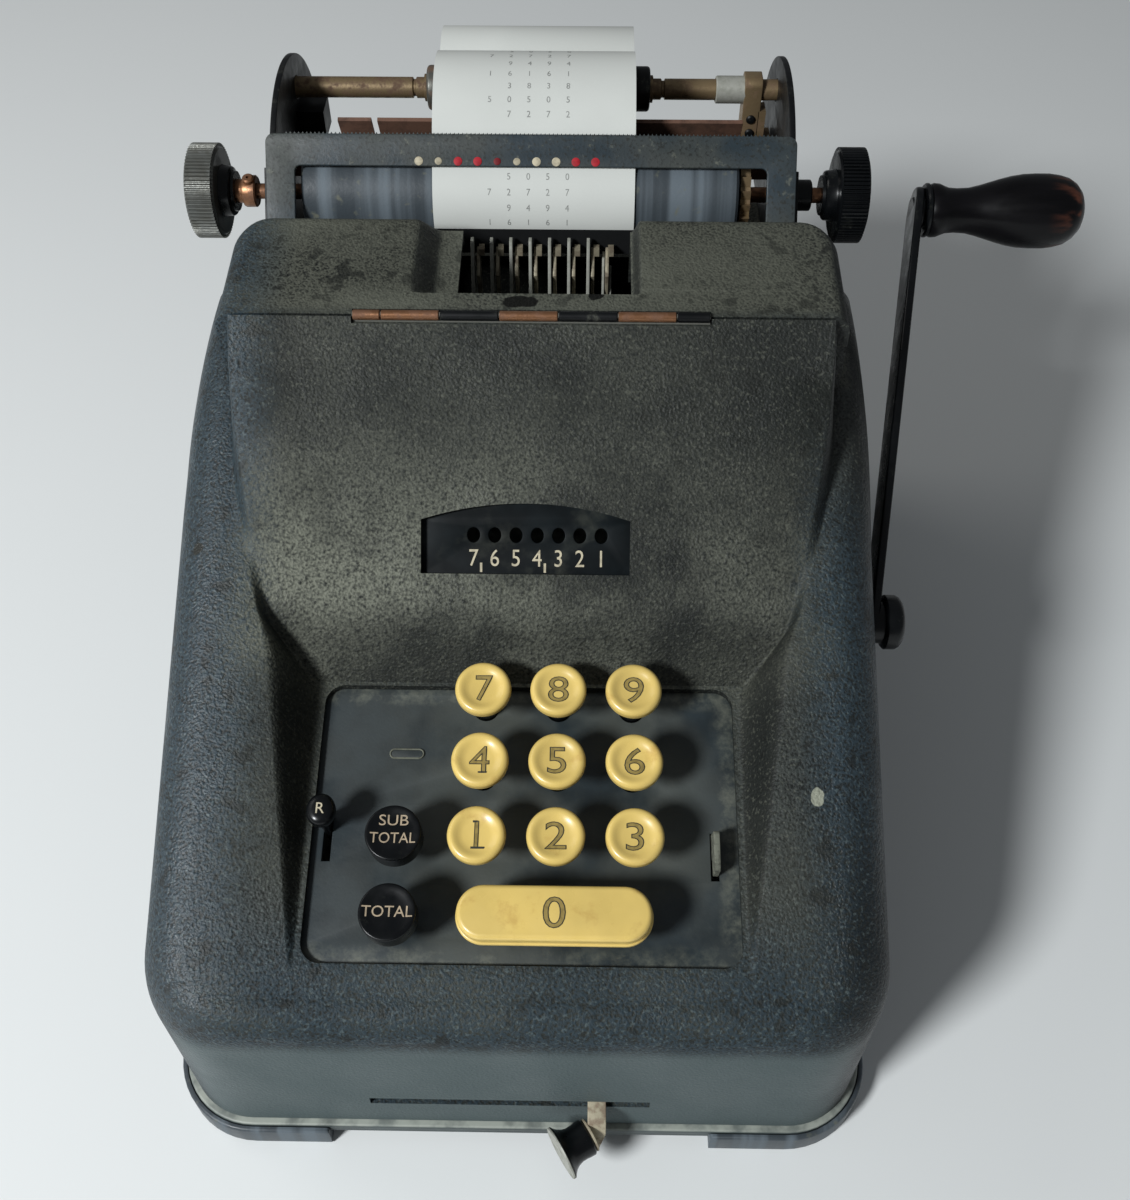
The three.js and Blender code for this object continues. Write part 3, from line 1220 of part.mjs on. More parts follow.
add("main_casing", mainCasing(), CRACKLE_PAINT);
add("base_pan", basePan(), SMOOTH_PAINT);
add("foot_front_left", foot(-1, false), RUBBER);
add("foot_front_right", foot(1, false), RUBBER);
add("foot_rear_left", foot(-1, true), RUBBER);
add("foot_rear_right", foot(1, true), RUBBER);
add("keyboard_panel", keyboardPanel(), PANEL_PAINT);
add("window_plate", windowPlate(), PANEL_PAINT);
add("ribbon_cover", ribbonCover(), CRACKLE_PAINT);
add("hinge_leaf_fixed", hingeLeaf(0, HINGE_Y - LEAF_SHEET / 2, KNUCKLE_RADIUS), STEEL);
add("hinge_leaf_moving", hingeLeaf(1, HINGE_Y + LEAF_SHEET / 2 + GAP, KNUCKLE_RADIUS / 2), BRASS);
add("hinge_pin", hingePin(), STEEL);

for (let digit = 1; digit <= 9; digit++) {
  const row = Math.floor((digit - 1) / 3) + 1;
  const place = [COLUMNS[(digit - 1) % 3], ROWS[row], 0];
  add("key_" + digit, onKeyboard(roundKey(CAP_RADIUS), ...place), CREAM_PLASTIC);
}
add("key_0", onKeyboard(zeroBar(), KEY_COLUMN_X, ROWS[0], 0), CREAM_PLASTIC);
add("subtotal_key", onKeyboard(roundKey(FUNCTION_CAP_RADIUS), FUNCTION_KEY_X, ROWS[1], 0), BLACK_PLASTIC);
add("total_key", onKeyboard(roundKey(FUNCTION_CAP_RADIUS), FUNCTION_KEY_X, ROWS[0], 0), BLACK_PLASTIC);
add("repeat_lever", slotLever(REPEAT_LEVER, REPEAT_KNOB_FOOT, 5), STEEL);
add("repeat_knob", repeatKnob(), BLACK_PLASTIC);
add("correction_lever", slotLever(TAB_LEVER, 8.5, 5.6), STEEL);

add("side_frame_left", sideFrame(-1), STEEL);
add("side_frame_right", sideFrame(1), STEEL);
add("pin_carriage_rail", rodAlongX(RAIL_RADIUS, -FRAME_X - 3.4, FRAME_X + 3.4, RAIL_Y, RAIL_Z), STEEL);
add("pin_carriage", pinCarriage(), BRASS);
add("clear_lever", clearLever(), BRASS);
add("clear_knob", clearKnob(), BLACK_PLASTIC);
add("type_guide_comb", typeGuideComb(), STEEL);
for (let i = 0; i < TYPE_COLUMNS; i++) {
  add("type_bar_" + (i + 1), typeBar(TYPE_LEFT_X + (TYPE_COLUMNS - 1 - i) * TYPE_PITCH), STEEL);
}
add("type_bar_symbol", typeBar(SYMBOL_BAR_X), STEEL);
add("ribbon_spool_left", ribbonSpool(-1), STEEL);
add("ribbon_spool_right", ribbonSpool(1), STEEL);

add("carriage_end_left", carriageEnd(-1), CRACKLE_PAINT);
add("carriage_end_right", carriageEnd(1), CRACKLE_PAINT);
add("tear_bar", tearBar(), CRACKLE_PAINT);
add("paper_guide_plate", paperGuidePlate(), RUST);
add("platen", platen(), RUBBER);
add("platen_shaft", platenShaft(), STEEL);
add("platen_knob_left", platenKnob(-1, KNOB_LEFT_X), BLACK_PLASTIC);
add("platen_knob_right", platenKnob(1, KNOB_RIGHT_X), BLACK_PLASTIC);
add("paper_roll", paperRoll(), PAPER);
add("paper_tape", paperTape(), PAPER);
add("roll_spindle_left", rollSpindle(-1), BRASS);
add("roll_spindle_right", rollSpindle(1), BRASS);
add("spindle_bracket", spindleBracket(), BRASS);

add("crank_shaft", crankShaft(), STEEL);
add("crank_arm", crankArm(), BLACK_PLASTIC);
add("crank_grip", crankGrip(), DARK_WOOD);

// The origin is the middle of the footprint, on the floor
const box = new THREE.Box3().setFromObject(machine);
const middle = box.getCenter(new THREE.Vector3());
machine.position.set(-middle.x, -middle.y, -box.min.z);

export default machine;
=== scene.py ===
"""A hand-cranked ten-key printing adding machine, dressed for its portrait."""

import math

import bmesh
import bpy
from bpy.props import FloatProperty, FloatVectorProperty, IntProperty, PointerProperty
from mathutils import Matrix, Vector


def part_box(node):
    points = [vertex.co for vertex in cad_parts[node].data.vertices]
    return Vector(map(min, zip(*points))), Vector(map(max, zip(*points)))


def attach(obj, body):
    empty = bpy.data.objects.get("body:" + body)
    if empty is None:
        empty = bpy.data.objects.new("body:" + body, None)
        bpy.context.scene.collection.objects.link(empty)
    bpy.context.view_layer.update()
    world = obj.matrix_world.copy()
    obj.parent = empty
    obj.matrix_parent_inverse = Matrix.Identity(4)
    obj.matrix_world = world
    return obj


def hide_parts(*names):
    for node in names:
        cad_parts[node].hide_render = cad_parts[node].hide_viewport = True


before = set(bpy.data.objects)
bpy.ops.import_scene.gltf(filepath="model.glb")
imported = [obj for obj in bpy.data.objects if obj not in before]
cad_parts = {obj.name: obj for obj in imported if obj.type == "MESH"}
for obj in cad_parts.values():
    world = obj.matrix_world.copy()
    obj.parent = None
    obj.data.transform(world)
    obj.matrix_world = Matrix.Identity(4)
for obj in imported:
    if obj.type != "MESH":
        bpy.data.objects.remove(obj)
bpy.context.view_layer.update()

bl_info = {
    "name": "Adding Machine",
    "version": (1, 0, 0),
    "blender": (4, 5, 0),
    "location": "View3D > Sidebar > Adding Machine",
    "description": "Builds a hand-cranked printing adding machine piece by piece",
    "category": "Add Mesh",
}

# Sizes are in millimetres, X to the right from the casing's middle, Y back from its front wall,
# Z up from the desk
CASING_LOW, CASING_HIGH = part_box("main_casing")
ORIGIN = Vector(((CASING_LOW.x + CASING_HIGH.x) / 2, CASING_LOW.y, 0))
MM = 0.001
WALL = 1.6
GAP = 0.3

# Casing, from its front wall to the rear deck
BODY_HALF = 92.0
BODY_DEPTH = 272.0
CORNER_RADIUS = 20.0
REAR_CORNER_RADIUS = 14.0
SHOULDER_RADIUS = 13.8
BROW_RADIUS = 9.0
CASING_FOOT_Z = 9.3
SHOULDER_START_Z = 67.6
SHOULDER_SLOPE = 0.51
SHOULDER_BEND_Y = 118.0
SHOULDER_FLAT_RUN = 72.0
REAR_DECK_Z = 122.0
REAR_DROP_Y = 188.0
REAR_DROP_RUN = 9.0
CENTRE_X = 1.5
FLANK_RUN = 3.2
WELL_FLARE = 1.5
HUMP_SLOPE = math.radians(45)
WELL_REAR_SLOPE = math.radians(64)
HUMP_BLEND = 3.0

# Keyboard
KEY_SLOPE = math.radians(14.4)
PANEL_START_Y = 14.5
PANEL_START_Z = 72.7
PANEL_RUN = 69.5
PANEL_HALF = 53.3
PANEL_CORNER = 5.0
PANEL_SHEET = 1.5
PANEL_MARGIN = 4.0
KEY_PITCH = 19.05
KEY_ROW_PITCH = 18.9
KEY_COLUMN_X = 9.5
KEY_FRONT_ROW = 10.0
KEY_HEIGHT = 15.3
CAP_HEIGHT = 6.6
STEM_RADIUS = 3.0
STEM_BELOW_PANEL = 13.0
FUNCTION_KEY_X = -29.5
ZERO_BAR_LENGTH = 46.0
ZERO_BAR_RADIUS = 6.9

# Hinge, hood and window
HINGE_Y = 147.9
HINGE_Z = 164.2
HINGE_LENGTH = 91.0
KNUCKLE_RADIUS = 1.6
KNUCKLE_SHARES = (0.079, 0.165, 0.166, 0.166, 0.166, 0.164, 0.094)
LEAF_DROP = 11.0
LEAF_SHEET = 0.8
HOOD_END_Y = 188.4
HOOD_RISE = 0.105
HOOD_HALF = 79.5
HOOD_OVERLAP = 2.0
HOOD_EDGE_RADIUS = 5.0
HOOD_CORNER_RADIUS = 12.0
COVER_SEAM = 0.9
NOTCH_START_Y = 158.6
NOTCH_RUN = 2.4
NOTCH_LEFT_X = -31.0
NOTCH_LEDGE_X = -23.4
NOTCH_OPEN_X = -18.6
NOTCH_RIGHT_X = 27.4
NOTCH_DROP = 6.0
WINDOW_Y = 101.2
WINDOW_X = 0.5
WINDOW_HALF = 26.9
WINDOW_SHOULDER = 13.9
WINDOW_HEIGHT = 18.2
TYPE_PITCH = 5.5
COLUMN_RIGHT_X = 20.0

PANEL_REAR_Y = PANEL_START_Y + PANEL_RUN
CREASE_START = PANEL_HALF + 13.7
HUMP_START_Y = PANEL_REAR_Y + 1
HUMP_END_Y = HINGE_Y - 0.6
CARRIAGE_SILL_Y = 236.0
CAP_RADIUS = 7.1
CAP_DISH = 0.9
FUNCTION_CAP_RADIUS = 6.8
ROWS = [KEY_FRONT_ROW + row * KEY_ROW_PITCH for row in range(4)]
COLUMNS = [KEY_COLUMN_X + column * KEY_PITCH for column in (-1, 0, 1)]
ZERO_STEM_OFFSET = ZERO_BAR_LENGTH / 2 - 9
REPEAT_X, REPEAT_ALONG, REPEAT_SLOT, REPEAT_TRAVEL, REPEAT_TOP = -48.0, 32.2, 13.0, 6.0, 8.0
TAB_X, TAB_ALONG, TAB_SLOT, TAB_TRAVEL = 49.0, 28.0, 12.0, 5.0
DIMPLE_X, DIMPLE_ALONG = -29.6, 54.0
COLUMN_HOLE_UP = 10.0

# Base, front lever
PAN_FLANGE = 1.8
PAN_SHEET = 2.2
PAN_RIM_HEIGHT = 6.0
PAN_TOP_Z = CASING_FOOT_Z - GAP
PAN_BOTTOM_Z = PAN_TOP_Z - PAN_SHEET
FOOT_OVERHANG = 1.6
FOOT_HEIGHT = 6.5
FOOT_LIP = 1.8
FOOT_WIDTH = 11.0
FOOT_ARM = 44.0
LEVER_SLOT_X = -2.2
LEVER_SLOT_HALF = 36.6
LEVER_SLOT_Z = 23.6
LEVER_SLOT_HEIGHT = 3.6
LEVER_GUIDE_GAP = 1.1
LEVER_X = 20.6
LEVER_WIDTH = 4.8
LEVER_SHEET = 1.2
LEVER_KNOB_RADIUS = 7.0
LEVER_KNOB_LENGTH = 8.6
LEVER_KNOB_AXIS = (-0.85, -0.52, -0.05)

# Carriage
PLATEN_Y = 217.0
PLATEN_Z = 156.5
PLATEN_RADIUS = 15.0
PLATEN_LEFT_X = -65.6
PLATEN_RIGHT_X = 58.3
PLATEN_SHAFT_RADIUS = 2.2
RATCHET_RADIUS = 12.5
RATCHET_TEETH = 20
RATCHET_SHEET = 2.8
KNOB_RADIUS = 13.4
KNOB_RIM = 8.4
KNOB_LEFT_X = -95.6
KNOB_RIGHT_X = 91.8
COLLAR_RADIUS = 4.5
COLLAR_LENGTH = 5.9
CARRIAGE_X = -0.5
CARRIAGE_HALF = 73.7
FRAME_SHEET = 1.8
EAR_Y = 245.0
EAR_Z = 140.0
EAR_RADIUS = 40.0
TEAR_SLOPE = math.radians(49)
TEAR_BAR_HEIGHT = 9.4
TEAR_BAR_LEG = 27.0
TEAR_LEG_WIDTH = 8.2
TEAR_SHEET = 1.2
TEAR_ABOVE_PLATEN = 13.6
DOT_RIGHT_X = 17.66
DOT_DROP = -3.3
DOT_TONES = ("red", "red", "cream", "cream", "worn", "dull", "red", "red", "worn", "cream")
PAPER_WIDTH = 57.15
PAPER_X = 0.3
PAPER_SHEET = 0.4
TAPE_RADIUS = PLATEN_RADIUS + GAP + PAPER_SHEET / 2
CURL_STEPS = 28
ROLL_Y = 257.0
ROLL_Z = 168.0
ROLL_RADIUS = 17.5
ROLL_CORE_RADIUS = 6.0
SPINDLE_RADIUS = 3.05
SPINDLE_BOSS = 5.0
SPINDLE_BOSS_RADIUS = 4.4
FLANGE_RADIUS = 6.5
FLANGE_WIDTH = 5.0
BUSH_RADIUS = 4.0
BUSH_LENGTH = 8.6
BRACKET_WIDTH = 5.4
BRACKET_DROP = 17.5
GUIDE_FLANGE = 10.0
GUIDE_GAP = 1.6
GUIDE_SHEET = 1.2

# Crank
CRANK_Y = 104.5
CRANK_Z = 96.5
CRANK_SHAFT_RADIUS = 5.0
CRANK_ANGLE = math.radians(26.1)
CRANK_LENGTH = 125.5
CRANK_LEAN = 17.0
CRANK_SHEET = 2.4
CRANK_SHEET_AT_GRIP = 4.4
CRANK_SEAT = 0.7
CRANK_HUB_RADIUS = 7.0
CRANK_HUB_WIDTH = 5.6
CRANK_EYE_RADIUS = 6.6
GRIP_LENGTH = 45.0
GRIP_RADIUS = 10.6
GRIP_NECK_RADIUS = 6.3
FERRULE_RADIUS = 7.6
FERRULE_WIDTH = 3.2
STUD_RADIUS = 2.6

# Works inside
FRAME_X = 72.1
OPENING_HALF = FRAME_X + FRAME_SHEET + 2.1
TYPE_BAR_WIDTH = 1.0
TYPE_BAR_DEPTH = 4.0
TYPE_BAR_BACK_Y = 199.2
TYPE_BAR_TOP_Z = 150.0
TYPE_BAR_FOOT_Z = 62.0
TYPE_LEFT_X = -15.3
COMB_FIN = 0.9
COMB_OFFSET = 2.6
COMB_DEPTH = 9.0
COMB_TOP_Z = 156.0
FIN_TOP_Z = 153.4
COMB_BAR_Z = 100.0
COMB_BAR_HEIGHT = 12.0
COMB_BAR_DEPTH = 4.0
SYMBOL_BAR_X = TYPE_LEFT_X - COMB_OFFSET + 7 * TYPE_PITCH + (COMB_FIN + TYPE_BAR_WIDTH) / 2 + GAP
RAIL_Y = 44.0
SPOOL_X = 53.0
SPOOL_Y = 169.0
SPOOL_CORE_RADIUS = 6.5
SPOOL_MIDDLE_Z = 139.5
PIN_BOX_DEPTH = 38.0

# Camera, as the photograph was taken
CAMERA_LENS = 38.01
CAMERA_PLACE = (14.52, -116.2, 360.78)
CAMERA_YAW = -0.99
CAMERA_PITCH = 49.30
CAMERA_ROLL = -0.10


def clamp(value):
    return min(1.0, max(0.0, value))


def ease(start, end, value):
    t = clamp((value - start) / (end - start))
    return t * t * (3 - 2 * t)


def mix(a, b, t):
    return a + (b - a) * t


def at(x, y, z):
    """Moves a shape to a point of the machine."""
    return Matrix.Translation((x, y, z))


def arc(centre, radius, start, end, steps):
    """Points on an arc, with angles in degrees."""
    angles = [math.radians(mix(start, end, i / steps)) for i in range(steps + 1)]
    return [(centre[0] + radius * math.cos(a), centre[1] + radius * math.sin(a)) for a in angles]


# Meshes
def linked(name, data):
    """A new object in the scene for a mesh, curve, text, light or camera."""
    made = bpy.data.objects.new(name, data)
    bpy.context.scene.collection.objects.link(made)
    return made


def evaluated_mesh(holder):
    """The mesh that an object shows, with its modifiers or curve settings applied."""
    bpy.context.view_layer.update()
    evaluated = holder.evaluated_get(bpy.context.evaluated_depsgraph_get())
    return bpy.data.meshes.new_from_object(evaluated)


def flattened(holder):
    """The mesh of a curve or text, whose object is removed."""
    mesh = evaluated_mesh(holder)
    bpy.data.objects.remove(holder)
    return mesh


def mesh_piece(name, vertices, faces, closed_by=1e-3):
    """A mesh object in the frame's metres from vertices in the machine's millimetres."""
    mesh = bpy.data.meshes.new(name)
    mesh.from_pydata([tuple(ORIGIN + Vector(v) * MM) for v in vertices], [], faces)
    work = bmesh.new()
    work.from_mesh(mesh)
    bmesh.ops.remove_doubles(work, verts=work.verts, dist=closed_by * MM)
    bmesh.ops.recalc_face_normals(work, faces=work.faces)
    work.to_mesh(mesh)
    work.free()
    return linked(name, mesh)


def settled(piece):
    """Applies a piece's modifiers and leaves a plain mesh."""
    mesh = evaluated_mesh(piece)
    piece.modifiers.clear()
    piece.data = mesh
    return piece


def carved(piece, *cutters):
    """Cuts the cutters out of a piece and removes them."""
    for cutter in cutters:
        modifier = piece.modifiers.new("cut", "BOOLEAN")
        modifier.operation = "DIFFERENCE"
        modifier.solver = "EXACT"
        modifier.object = cutter
    settled(piece)
    for cutter in cutters:
        bpy.data.objects.remove(cutter)
    return piece


def joined(name, pieces):
    """One object holding the meshes of several, with their materials."""
    work = bmesh.new()
    mesh = bpy.data.meshes.new(name)
    for piece in pieces:
        offset = len(mesh.materials)
        for material in piece.data.materials:
            mesh.materials.append(material)
        before = len(work.faces)
        work.from_mesh(piece.data)
        work.faces.ensure_lookup_table()
        for face in work.faces[before:]:
            face.material_index += offset
        bpy.data.objects.remove(piece)
    work.to_mesh(mesh)
    work.free()
    return linked(name, mesh)


def grid_faces(rows, columns):
    """Faces between closed rows of points."""
    faces = []
    for row in range(rows - 1):
        for i in range(columns):
            a = row * columns + i
            b = row * columns + (i + 1) % columns
            faces.append((a, b, b + columns, a + columns))
    return faces


def loft(name, stations):
    """Skins closed (x, z) outlines, each at its own y."""
    count = len(stations[0][1])
    vertices = [(x, y, z) for y, outline in stations for x, z in outline]
    faces = grid_faces(len(stations), count)
    faces.append(tuple(range(count)))
    faces.append(tuple(range(len(vertices) - 1, len(vertices) - 1 - count, -1)))
    return mesh_piece(name, vertices, faces)


def cylinder(radius, low, high):
    """The profile of a solid cylinder, for turning."""
    return [(0, low), (radius, low), (radius, high), (0, high)]


def chamfered(bore, radius, length, chamfer):
    """The profile of a drum with chamfered edges, open along its bore."""
    outside = [
        (radius - chamfer, 0), (radius, chamfer), (radius, length - chamfer), (radius - chamfer, length)
    ]
    return [(bore, 0), *outside, (bore, length)]


def circle(x, y, radius):
    """A round hole's outline in 24 steps."""
    return arc((x, y), radius, 0, 345, 23)


def turned(name, profile, sides=48, place=None):
    """Turns a profile of (radius, height) pairs about Z; pairs at radius nothing close the ends."""
    place = place or Matrix.Identity(4)
    rings = []
    vertices = []
    for radius, height in profile:
        if radius < 1e-6:
            rings.append([len(vertices)] * sides)
            vertices.append(Vector((0, 0, height)))
        else:
            rings.append(list(range(len(vertices), len(vertices) + sides)))
            for i in range(sides):
                angle = 2 * math.pi * i / sides
                vertices.append(Vector((radius * math.cos(angle), radius * math.sin(angle), height)))
    faces = []
    for low, high in zip(rings, rings[1:]):
        for i in range(sides):
            j = (i + 1) % sides
            corners = [low[i], low[j], high[j], high[i]]
            face = [c for k, c in enumerate(corners) if c not in corners[:k]]
            if len(face) > 2:
                faces.append(face)
    return mesh_piece(name, [place @ v for v in vertices], faces)


def plate(name, outlines, low, high, place=None, bevel=0.0, steps=2):
    """A flat plate from closed outlines, inner ones being holes, given thickness along its own Z."""
    curve = bpy.data.curves.new(name, "CURVE")
    curve.dimensions = "2D"
    curve.fill_mode = "BOTH"
    curve.extrude = (high - low) / 2 - bevel
    curve.bevel_depth = bevel
    curve.bevel_resolution = steps
    curve.offset = -bevel
    for outline in outlines:
        spline = curve.splines.new("POLY")
        spline.points.add(len(outline) - 1)
        for point, (x, y) in zip(spline.points, outline):
            point.co = (x, y, 0, 1)
        spline.use_cyclic_u = True
    flat = flattened(linked(name, curve))
    place = (place or Matrix.Identity(4)) @ at(0, 0, (low + high) / 2)
    vertices = [place @ v.co for v in flat.vertices]
    faces = [tuple(p.vertices) for p in flat.polygons]
    return mesh_piece(name, vertices, faces)


def block(name, x0, x1, y0, y1, z0, z1, place=None):
    corners = [(x, y, z) for x in (x0, x1) for y in (y0, y1) for z in (z0, z1)]
    place = place or Matrix.Identity(4)
    faces = [(0, 1, 3, 2), (4, 6, 7, 5), (0, 4, 5, 1), (2, 3, 7, 6), (0, 2, 6, 4), (1, 5, 7, 3)]
    return mesh_piece(name, [place @ Vector(c) for c in corners], faces)


def lettering(name, words, size, place, depth=0.25, lean=None, narrow=1.0, outline=0.0, up=0.0):
    """Plain letters as a mesh, or only their outline, centred on their place and lying in its XY plane."""
    text = bpy.data.curves.new(name, "FONT")
    text.body = words
    text.size = size
    text.align_x = "CENTER"
    text.align_y = "CENTER"
    if outline:
        text.fill_mode = "NONE"
        text.bevel_depth = outline / 2
        text.bevel_resolution = 1
    else:
        text.extrude = depth / 2
    text.resolution_u = 4
    flat = flattened(linked(name, text))
    low = min(v.co.y for v in flat.vertices)
    high = max(v.co.y for v in flat.vertices)
    vertices = []
    for v in flat.vertices:
        point = Vector((v.co.x * narrow, v.co.y - (low + high) / 2 + up, v.co.z))
        if lean:
            point.z += lean(point.x, point.y)
        vertices.append(place @ point)
    return mesh_piece(name, vertices, [tuple(p.vertices) for p in flat.polygons], 1e-4)


def along_x(x, y, z, direction=1):
    """Places a turned piece with its axis along X."""
    return at(x, y, z) @ Matrix.Rotation(direction * math.pi / 2, 4, "Y")


def beside(x):
    """Places a plate drawn in (y, z) so that its thickness runs along X from x."""
    return Matrix(((0, 0, 1, x), (1, 0, 0, 0), (0, 1, 0, 0), (0, 0, 0, 1)))


def on_keyboard(x, along, height=0.0):
    y = PANEL_START_Y + along * math.cos(KEY_SLOPE)
    z = PANEL_START_Z + along * math.sin(KEY_SLOPE)
    tilt = Matrix.Rotation(KEY_SLOPE, 4, "X")
    return at(x, y, z) @ tilt @ at(0, 0, height)


def rounded_rectangle(x0, x1, y0, y1, radius, rear=None, steps=8):
    rear = radius if rear is None else rear
    points = arc((x1 - radius, y0 + radius), radius, -90, 0, steps)
    points += arc((x1 - rear, y1 - rear), rear, 0, 90, steps)
    points += arc((x0 + rear, y1 - rear), rear, 90, 180, steps)
    points += arc((x0 + radius, y0 + radius), radius, 180, 270, steps)
    return points


# Heights of the casing along its length
def panel_top(y):
    return PANEL_START_Z + (y - PANEL_START_Y) * math.tan(KEY_SLOPE)


def lip_top(y):
    return panel_top(y) + GAP + WALL / math.cos(KEY_SLOPE)


HUMP_START_Z = lip_top(HUMP_START_Y)


def hump_top(y):
    wall = HUMP_START_Z + (y - HUMP_START_Y) * math.tan(WELL_REAR_SLOPE)
    slope = HINGE_Z - 0.2 - (HUMP_END_Y - y) * math.tan(HUMP_SLOPE)
    blend = clamp(0.5 + (slope - wall) / (2 * HUMP_BLEND))
    return mix(slope, wall, blend) - HUMP_BLEND * blend * (1 - blend)


def shoulder_top(y):
    bend = clamp((y - SHOULDER_BEND_Y) / SHOULDER_FLAT_RUN) * SHOULDER_FLAT_RUN
    rise = min(y, SHOULDER_BEND_Y) + bend - bend * bend / (2 * SHOULDER_FLAT_RUN)
    top = SHOULDER_START_Z + SHOULDER_SLOPE * rise
    return mix(top, REAR_DECK_Z, ease(REAR_DROP_Y, REAR_DROP_Y + REAR_DROP_RUN, y))


def brow_limit(y):
    reach = BROW_RADIUS - y
    if reach < 0:
        return math.inf
    centre = SHOULDER_START_Z - BROW_RADIUS * (math.hypot(1, SHOULDER_SLOPE) - SHOULDER_SLOPE)
    return centre + math.sqrt(max(0, BROW_RADIUS**2 - reach * reach))


def rear_limit(y):
    radius = BROW_RADIUS / 2
    reach = y - (BODY_DEPTH - radius)
    if reach < 0:
        return math.inf
    return REAR_DECK_Z - radius + math.sqrt(max(0, radius**2 - reach * reach))


def side_top(y):
    return min(shoulder_top(y), brow_limit(y), rear_limit(y))


def plan_half(y, inset):
    front = CORNER_RADIUS - y
    rear = y - (BODY_DEPTH - REAR_CORNER_RADIUS)
    radius = (CORNER_RADIUS if front > 0 else REAR_CORNER_RADIUS) - inset
    reach = max(front, rear, 0)
    return BODY_HALF - inset - radius + math.sqrt(max(0, radius * radius - reach * reach))


def crease_half(y):
    if y < PANEL_REAR_Y:
        return mix(PANEL_HALF + 2.7, CREASE_START, clamp((y - PANEL_START_Y) / PANEL_RUN))
    opening = math.sin(math.pi / 2 * clamp((y - PANEL_REAR_Y) / (HINGE_Y - PANEL_REAR_Y)))
    closing = 1 - ease(REAR_DROP_Y, CARRIAGE_SILL_Y, y)
    return mix(CREASE_START, HOOD_HALF + 0.8, opening * closing)


def floor_half(y):
    flare = PANEL_HALF + 1 + max(0, y - PANEL_REAR_Y) * WELL_FLARE
    return min(crease_half(y) - (1.5 if y < PANEL_REAR_Y else FLANK_RUN), flare)


def casing_section(y, inset):
    step = 0.4

    def steepness(top):
        return min(3, math.hypot(1, (top(y + step) - top(y - step)) / (2 * step)))

    side = side_top(y) - inset * steepness(side_top)
    middle = side
    if y <= HUMP_START_Y:
        middle = min(side_top(y), lip_top(y)) - inset / math.cos(KEY_SLOPE)
    elif y <= HUMP_END_Y - inset:
        middle = hump_top(y) - inset * steepness(hump_top)
    half = plan_half(y, inset)
    lean = inset * 0.8 * max(-1, min(1, (side - middle) / 6))
    foot = CASING_FOOT_Z - (30 if inset > 0 else 0)
    halves = []
    for hand in (1, -1):
        offset = hand * CENTRE_X
        inner = crease_half(y) + lean + offset
        low = floor_half(y) + lean + offset
        radius = max(1.5, min(SHOULDER_RADIUS - inset, half - inner - 0.8))
        points = [(half, foot), (half, mix(foot, side - radius, 0.5))]
        points += arc((half - radius, side - radius), radius, 0, 90, 12)
        points.append((mix(half - radius, inner, 0.5), side))
        for i in range(15):
            points.append((mix(inner, low, i / 14), mix(side, middle, ease(0, 1, i / 14))))
        points += [(low * share, middle) for share in (0.8, 0.6, 0.4, 0.2)]
        halves.append([(hand * x, z) for x, z in points])
    return y, halves[0] + [(CENTRE_X, middle)] + halves[1][::-1]


def spaced(start, end, step):
    count = max(1, round((end - start) / step))
    return [mix(start, end, i / count) for i in range(count)]


def casing_stations(inset):
    front = [inset + (CORNER_RADIUS - inset) * (1 - math.cos(math.radians(a))) for a in range(0, 90, 6)]
    radius = REAR_CORNER_RADIUS - inset
    rear = [BODY_DEPTH - inset - radius * (1 - math.cos(math.radians(a))) for a in range(90, -1, -9)]
    middle = spaced(CORNER_RADIUS, HUMP_START_Y, 3) + spaced(HUMP_START_Y, 98, 0.8)
    slope_end = HUMP_END_Y - inset
    middle += spaced(98, slope_end, 2.5) + [slope_end]
    middle += spaced(slope_end + 0.3, REAR_DROP_Y, 6) + spaced(REAR_DROP_Y, REAR_DROP_Y + REAR_DROP_RUN, 1)
    middle += spaced(REAR_DROP_Y + REAR_DROP_RUN, BODY_DEPTH - REAR_CORNER_RADIUS, 10)
    return front + middle + rear


def on_window(depth=0.0):
    tilt = Matrix.Rotation(HUMP_SLOPE, 4, "X")
    return at(WINDOW_X, WINDOW_Y, hump_top(WINDOW_Y)) @ tilt @ at(0, 0, -depth)


def window_outline(margin):
    crown = 2 * WINDOW_HEIGHT - WINDOW_SHOULDER + 2 * margin
    right = WINDOW_HALF + margin
    points = [(-right, -margin), (right, -margin)]
    for i in range(17):
        t = i / 16
        x = mix(right, -right, t)
        y = WINDOW_SHOULDER * ((1 - t) ** 2 + t * t) + 2 * t * (1 - t) * crown
        points.append((x, y))
    return points


# Hood
def hood_top(y):
    return HINGE_Z - 0.2 + (y - HINGE_Y) * HOOD_RISE


def hood_half(y, inset):
    reach = max(0, y - (HOOD_END_Y - HOOD_CORNER_RADIUS))
    radius = HOOD_CORNER_RADIUS - inset
    return HOOD_HALF + HOOD_OVERLAP - inset - radius + math.sqrt(max(0, radius * radius - reach * reach))


